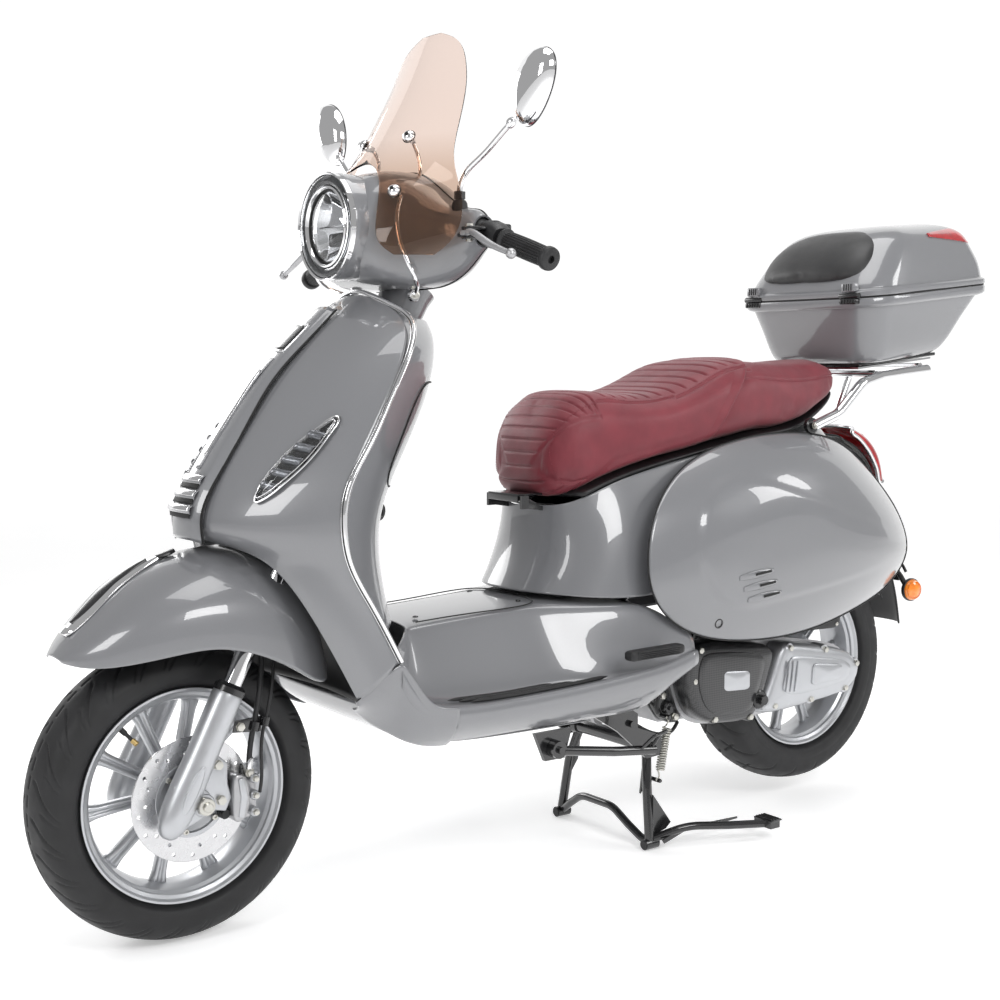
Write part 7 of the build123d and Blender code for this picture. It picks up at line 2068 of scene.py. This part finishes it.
for k, (y, z) in enumerate(((576, 372), (576, 406), (682, 366), (682, 403))):
    bolt(f"airbox_screw_{k}", (131.8, y, z), (1, 0, 0), 4.4, "engine", "zinc", "dome", h=2.6)
tube("intake_tube", [(96, 560, 392), (94, 530, 392), (84, 500, 384), (74, 470, 366), (66, 440, 350)], 17, "engine", "rubber", n=60, seg=30)
for k in range(5):
    turned(f"intake_ring_{k}", [(-2.4, 16), (-1, 19.4), (1, 19.4), (2.4, 16)], (95 - k * 2.2, 548 - k * 11, 392 - k * 1.0), (-0.15, -1, -0.08), "engine", "rubber", seg=40, closed=True)

# Muffler: a rounded can with end cap, heat shield and tail pipe.
loops = []
for y, dz, k in ((418, -8, 0.24), (424, -7, 0.46), (436, -4.6, 0.72), (452, -2.4, 0.90), (470, 0, 0.985), (500, 4, 1.0), (620, 20, 1.0), (740, 37, 1.0), (762, 40.2, 0.985), (778, 43, 0.93), (790, 45, 0.82), (798, 46, 0.66), (800, 46, 0.5)):
    loops.append([(-166 + 44 * math.cos(2 * math.pi * j / 64) * k, y, 262 + dz + 56 * math.sin(2 * math.pi * j / 64) * k) for j in range(64)])
loft("muffler_can", loops, "engine", "satin_black", ["muffler"], angle=50, slot="black_steel")
loops = []
for dr in (0.0, 3.0):
    for y0_, flip in ((0, 0),):
        pass
vs, n_ = [], 26
for y in np.linspace(486, 742, 22):
    vs.append([(-166 - (44 + 3.4) * math.cos(t), y, 262 + (y - 470) * 0.135 + (56 + 3.4) * math.sin(t)) for t in np.linspace(-0.72, 0.95, n_)])
sheet("heat_shield", [p_ for r_ in vs for p_ in r_], grid_faces(len(vs), n_), 1.8, (-166, 610, 280), "engine", "chrome_soft", slot="chrome", sub=1)
# the slots in the heat shield are near-black tubes: painted shade in the openings
for k in range(7):
    y = 520 + k * 31
    tube(f"shield_slot_{k}", [(-166 - 49.4 * math.cos(t), y + 8 * math.sin(t), 262 + (y - 470) * 0.135 + 61.4 * math.sin(t)) for t in np.linspace(-0.35, 0.6, 9)], 2.0, "engine", "dark_gap", n=24, seg=10)
tube("header_pipe", [(-70, 188, 320), (-92, 188, 320), (-106, 196, 313), (-114, 262, 276), (-140, 350, 246), (-165, 429, 254)], 13, "engine", "bearing_steel", n=110, seg=28)
turned("header_flange", [(-4, 0.1), (-4, 22), (3, 22), (5, 18), (5, 0.1)], (-72, 188, 320), (-1, 0, 0), "engine", "zinc", seg=36)
turned("tail_pipe", [(-14, 8), (-14, 11), (20, 11), (22, 10.2), (20, 9), (-14, 8)], (-172, 800, 296), (-0.05, 1, 0.05), "engine", "bearing_steel", seg=40, closed=True)
for k, y in enumerate((520, 610)):
    cube(f"muffler_lug_{k}", (-118, y, 282 + k * 10), (20, 26, 20), "engine", "black_steel", bevel=2)
    bolt(f"muffler_bolt_{k}", (-126, y, 284 + k * 10), (-1, 0, 0), 7, "engine", "zinc", h=6)

# Shock spring, over the telescoping body and rod.
top, low = np.array((-100.0, 690.0, 560.0)), np.array((-100.0, 652.0, 312.0))
sd = (top - low) / np.linalg.norm(top - low)
e1 = np.array((1.0, 0, 0)); e2 = np.cross(sd, e1)
L0, L1 = 52.0, 218.0
pts = []
for k in range(240):
    u = k / 239
    t = u * 7.5 * 2 * math.pi
    h = L0 + (L1 - L0) * (0.02 * u + 0.98 * (u + 0.018 * math.sin(2 * math.pi * u)))
    pts.append(tuple(low + sd * h + 27 * (math.cos(t) * e1 + math.sin(t) * e2)))
spring = tube("shock_spring", pts, 4.6, "shock_upper", "black_steel", n=420, seg=12)
try:
    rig.blend(spring, "shock_lower", "shock_upper", from_point=W(tuple(low + sd * L0)), to_point=W(tuple(low + sd * L1)))
except Exception:
    pass
for nm, h0, bd in (("shock_seat_low", L0 - 8, "shock_lower"), ("shock_seat_top", L1 + 4, "shock_upper")):
    turned(nm, [(-3, 7.4 if "low" in nm else 17.6), (-3, 33), (1, 34), (4, 33), (4, 24), (6, 22), (6, 7.4 if "low" in nm else 17.6)], tuple(low + sd * h0), tuple(sd if "low" in nm else -sd), bd, "satin_black", seg=50, closed=True)

# ----------------------------------------------------- stands and rests -----
loops = []
for s, side in ((1, "left"), (-1, "right")):
    # pillion rest: a rounded ribbed pad on its hinge, folded against the side
    body = f"{side}_footrest"
    loops = []
    for y, k in ((31, 0.55), (33, 0.84), (38, 0.97), (46, 1.0), (138, 1.0), (146, 0.97), (151, 0.84), (153, 0.55)):
        lp = []
        for j in range(32):
            t = 2 * math.pi * j / 32
            c, s_ = math.cos(t), math.sin(t)
            lp.append((s * (245 + math.copysign(abs(c) ** 0.55, c) * 12.6 * k), y, 393 + (y - 92) * 0.014 + math.copysign(abs(s_) ** 0.55, s_) * 9 * k))
        loops.append(lp)
    loft(f"{side}_footrest_pad", loops, body, "rubber", [f"{side}_footrest"], angle=50)
    for k in range(5):
        z = 387 + k * 3.0
        tube(f"{side}_footrest_rib_{k}", [(s * 257.2, 44, z), (s * 258.2, 60, z), (s * 258.2, 124, z + 1), (s * 257.2, 140, z + 1)], 0.9, body, "rubber", n=20, seg=8)

# centre stand: caps on the pivot, gussets, feet pads, the tread and lever web, and the return spring on its hooks
for s, side in ((1, "left"), (-1, "right")):
    turned(f"{side}_stand_cap", [(-8, 8.2), (-8, 17), (4, 18), (6, 16), (6, 8.2)], (s * 96, 205, 186), (s, 0, 0), "centre_stand", "black_steel", seg=40, closed=True)
    block(f"{side}_stand_gusset", [(200, 176), (215, 176), (206, 118), (190, 96), (194, 130)], s * 100 - 3, s * 100 + 3, "centre_stand", "black_steel", bevel=1.2)
    turned(f"{side}_stand_foot", [(-17, 0.1), (-17, 8), (-14, 9.6), (14, 9.6), (17, 8), (17, 0.1)], (s * 128, 191, 10), (0, 1, 0), "centre_stand", "rubber", seg=30)
    bolt(f"{side}_pivot_bolt", (s * 106, 205, 186), (s, 0, 0), 9, "frame", "zinc", h=8)
block("stand_tread", [(396, 36), (424, 37), (424, 40), (396, 39)], 188, 234, "centre_stand", "black_steel", bevel=1.0)
for k in range(4):
    tube(f"tread_rib_{k}", [(192, 400 + k * 6.4, 40.6), (230, 400 + k * 6.4, 40.6)], 1.5, "centre_stand", "black_steel", seg=8)
block("lever_web", [(200, 20), (260, 38), (330, 32), (392, 30), (392, 26), (330, 24), (256, 26), (206, 12)], 148, 151, "centre_stand", "black_steel", bevel=1.0)
hook0, hook1 = np.array((112.0, 248.0, 232.0)), np.array((118.0, 219.0, 122.0))
sd2 = (hook1 - hook0) / np.linalg.norm(hook1 - hook0)
f1 = np.cross(sd2, (1.0, 0, 0)); f1 /= np.linalg.norm(f1); f2 = np.cross(sd2, f1)
ln = float(np.linalg.norm(hook1 - hook0))
pts = [tuple(hook0 + sd2 * (18 + (ln - 36) * k / 379) + 7.5 * (math.cos(k / 379 * 17 * 2 * math.pi) * f1 + math.sin(k / 379 * 17 * 2 * math.pi) * f2)) for k in range(380)]
sp = tube("stand_spring", pts, 1.7, "centre_stand", "zinc", n=700, seg=8)
tube("stand_spring_hook_a", [tuple(hook0 + sd2 * 19 + f1 * 7.5), tuple(hook0 + sd2 * 10), tuple(hook0 + sd2 * 3), tuple(hook0 + f1 * 5), tuple(hook0 - sd2 * 4)], 1.7, "centre_stand", "zinc", n=40, seg=10)
tube("stand_spring_hook_b", [tuple(hook1 - sd2 * 19 + f1 * 7.5), tuple(hook1 - sd2 * 10), tuple(hook1 - sd2 * 3), tuple(hook1 + f1 * 5), tuple(hook1 + sd2 * 4)], 1.7, "centre_stand", "zinc", n=40, seg=10)
turned("stand_hook_pin", [(0, 0.1), (0, 4), (26, 4), (28, 3), (28, 0.1)], (98, 218, 121), (1, 0, 0), "centre_stand", "black_steel", seg=20)
turned("frame_hook_pin", [(0, 0.1), (0, 4.6), (22, 4.6), (24, 3.6), (24, 0.1)], (92, 248, 233), (1, 0, 0), "frame", "black_steel", seg=20)


# ------------------------------------------------------------------ ends ---
SIZE = {"cad": [list(map(float, c)) for c in CAD_BOX], "visual": [list(map(float, c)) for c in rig.bounds()]}
with open("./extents.json", "w") as fh:
    json.dump(SIZE, fh)
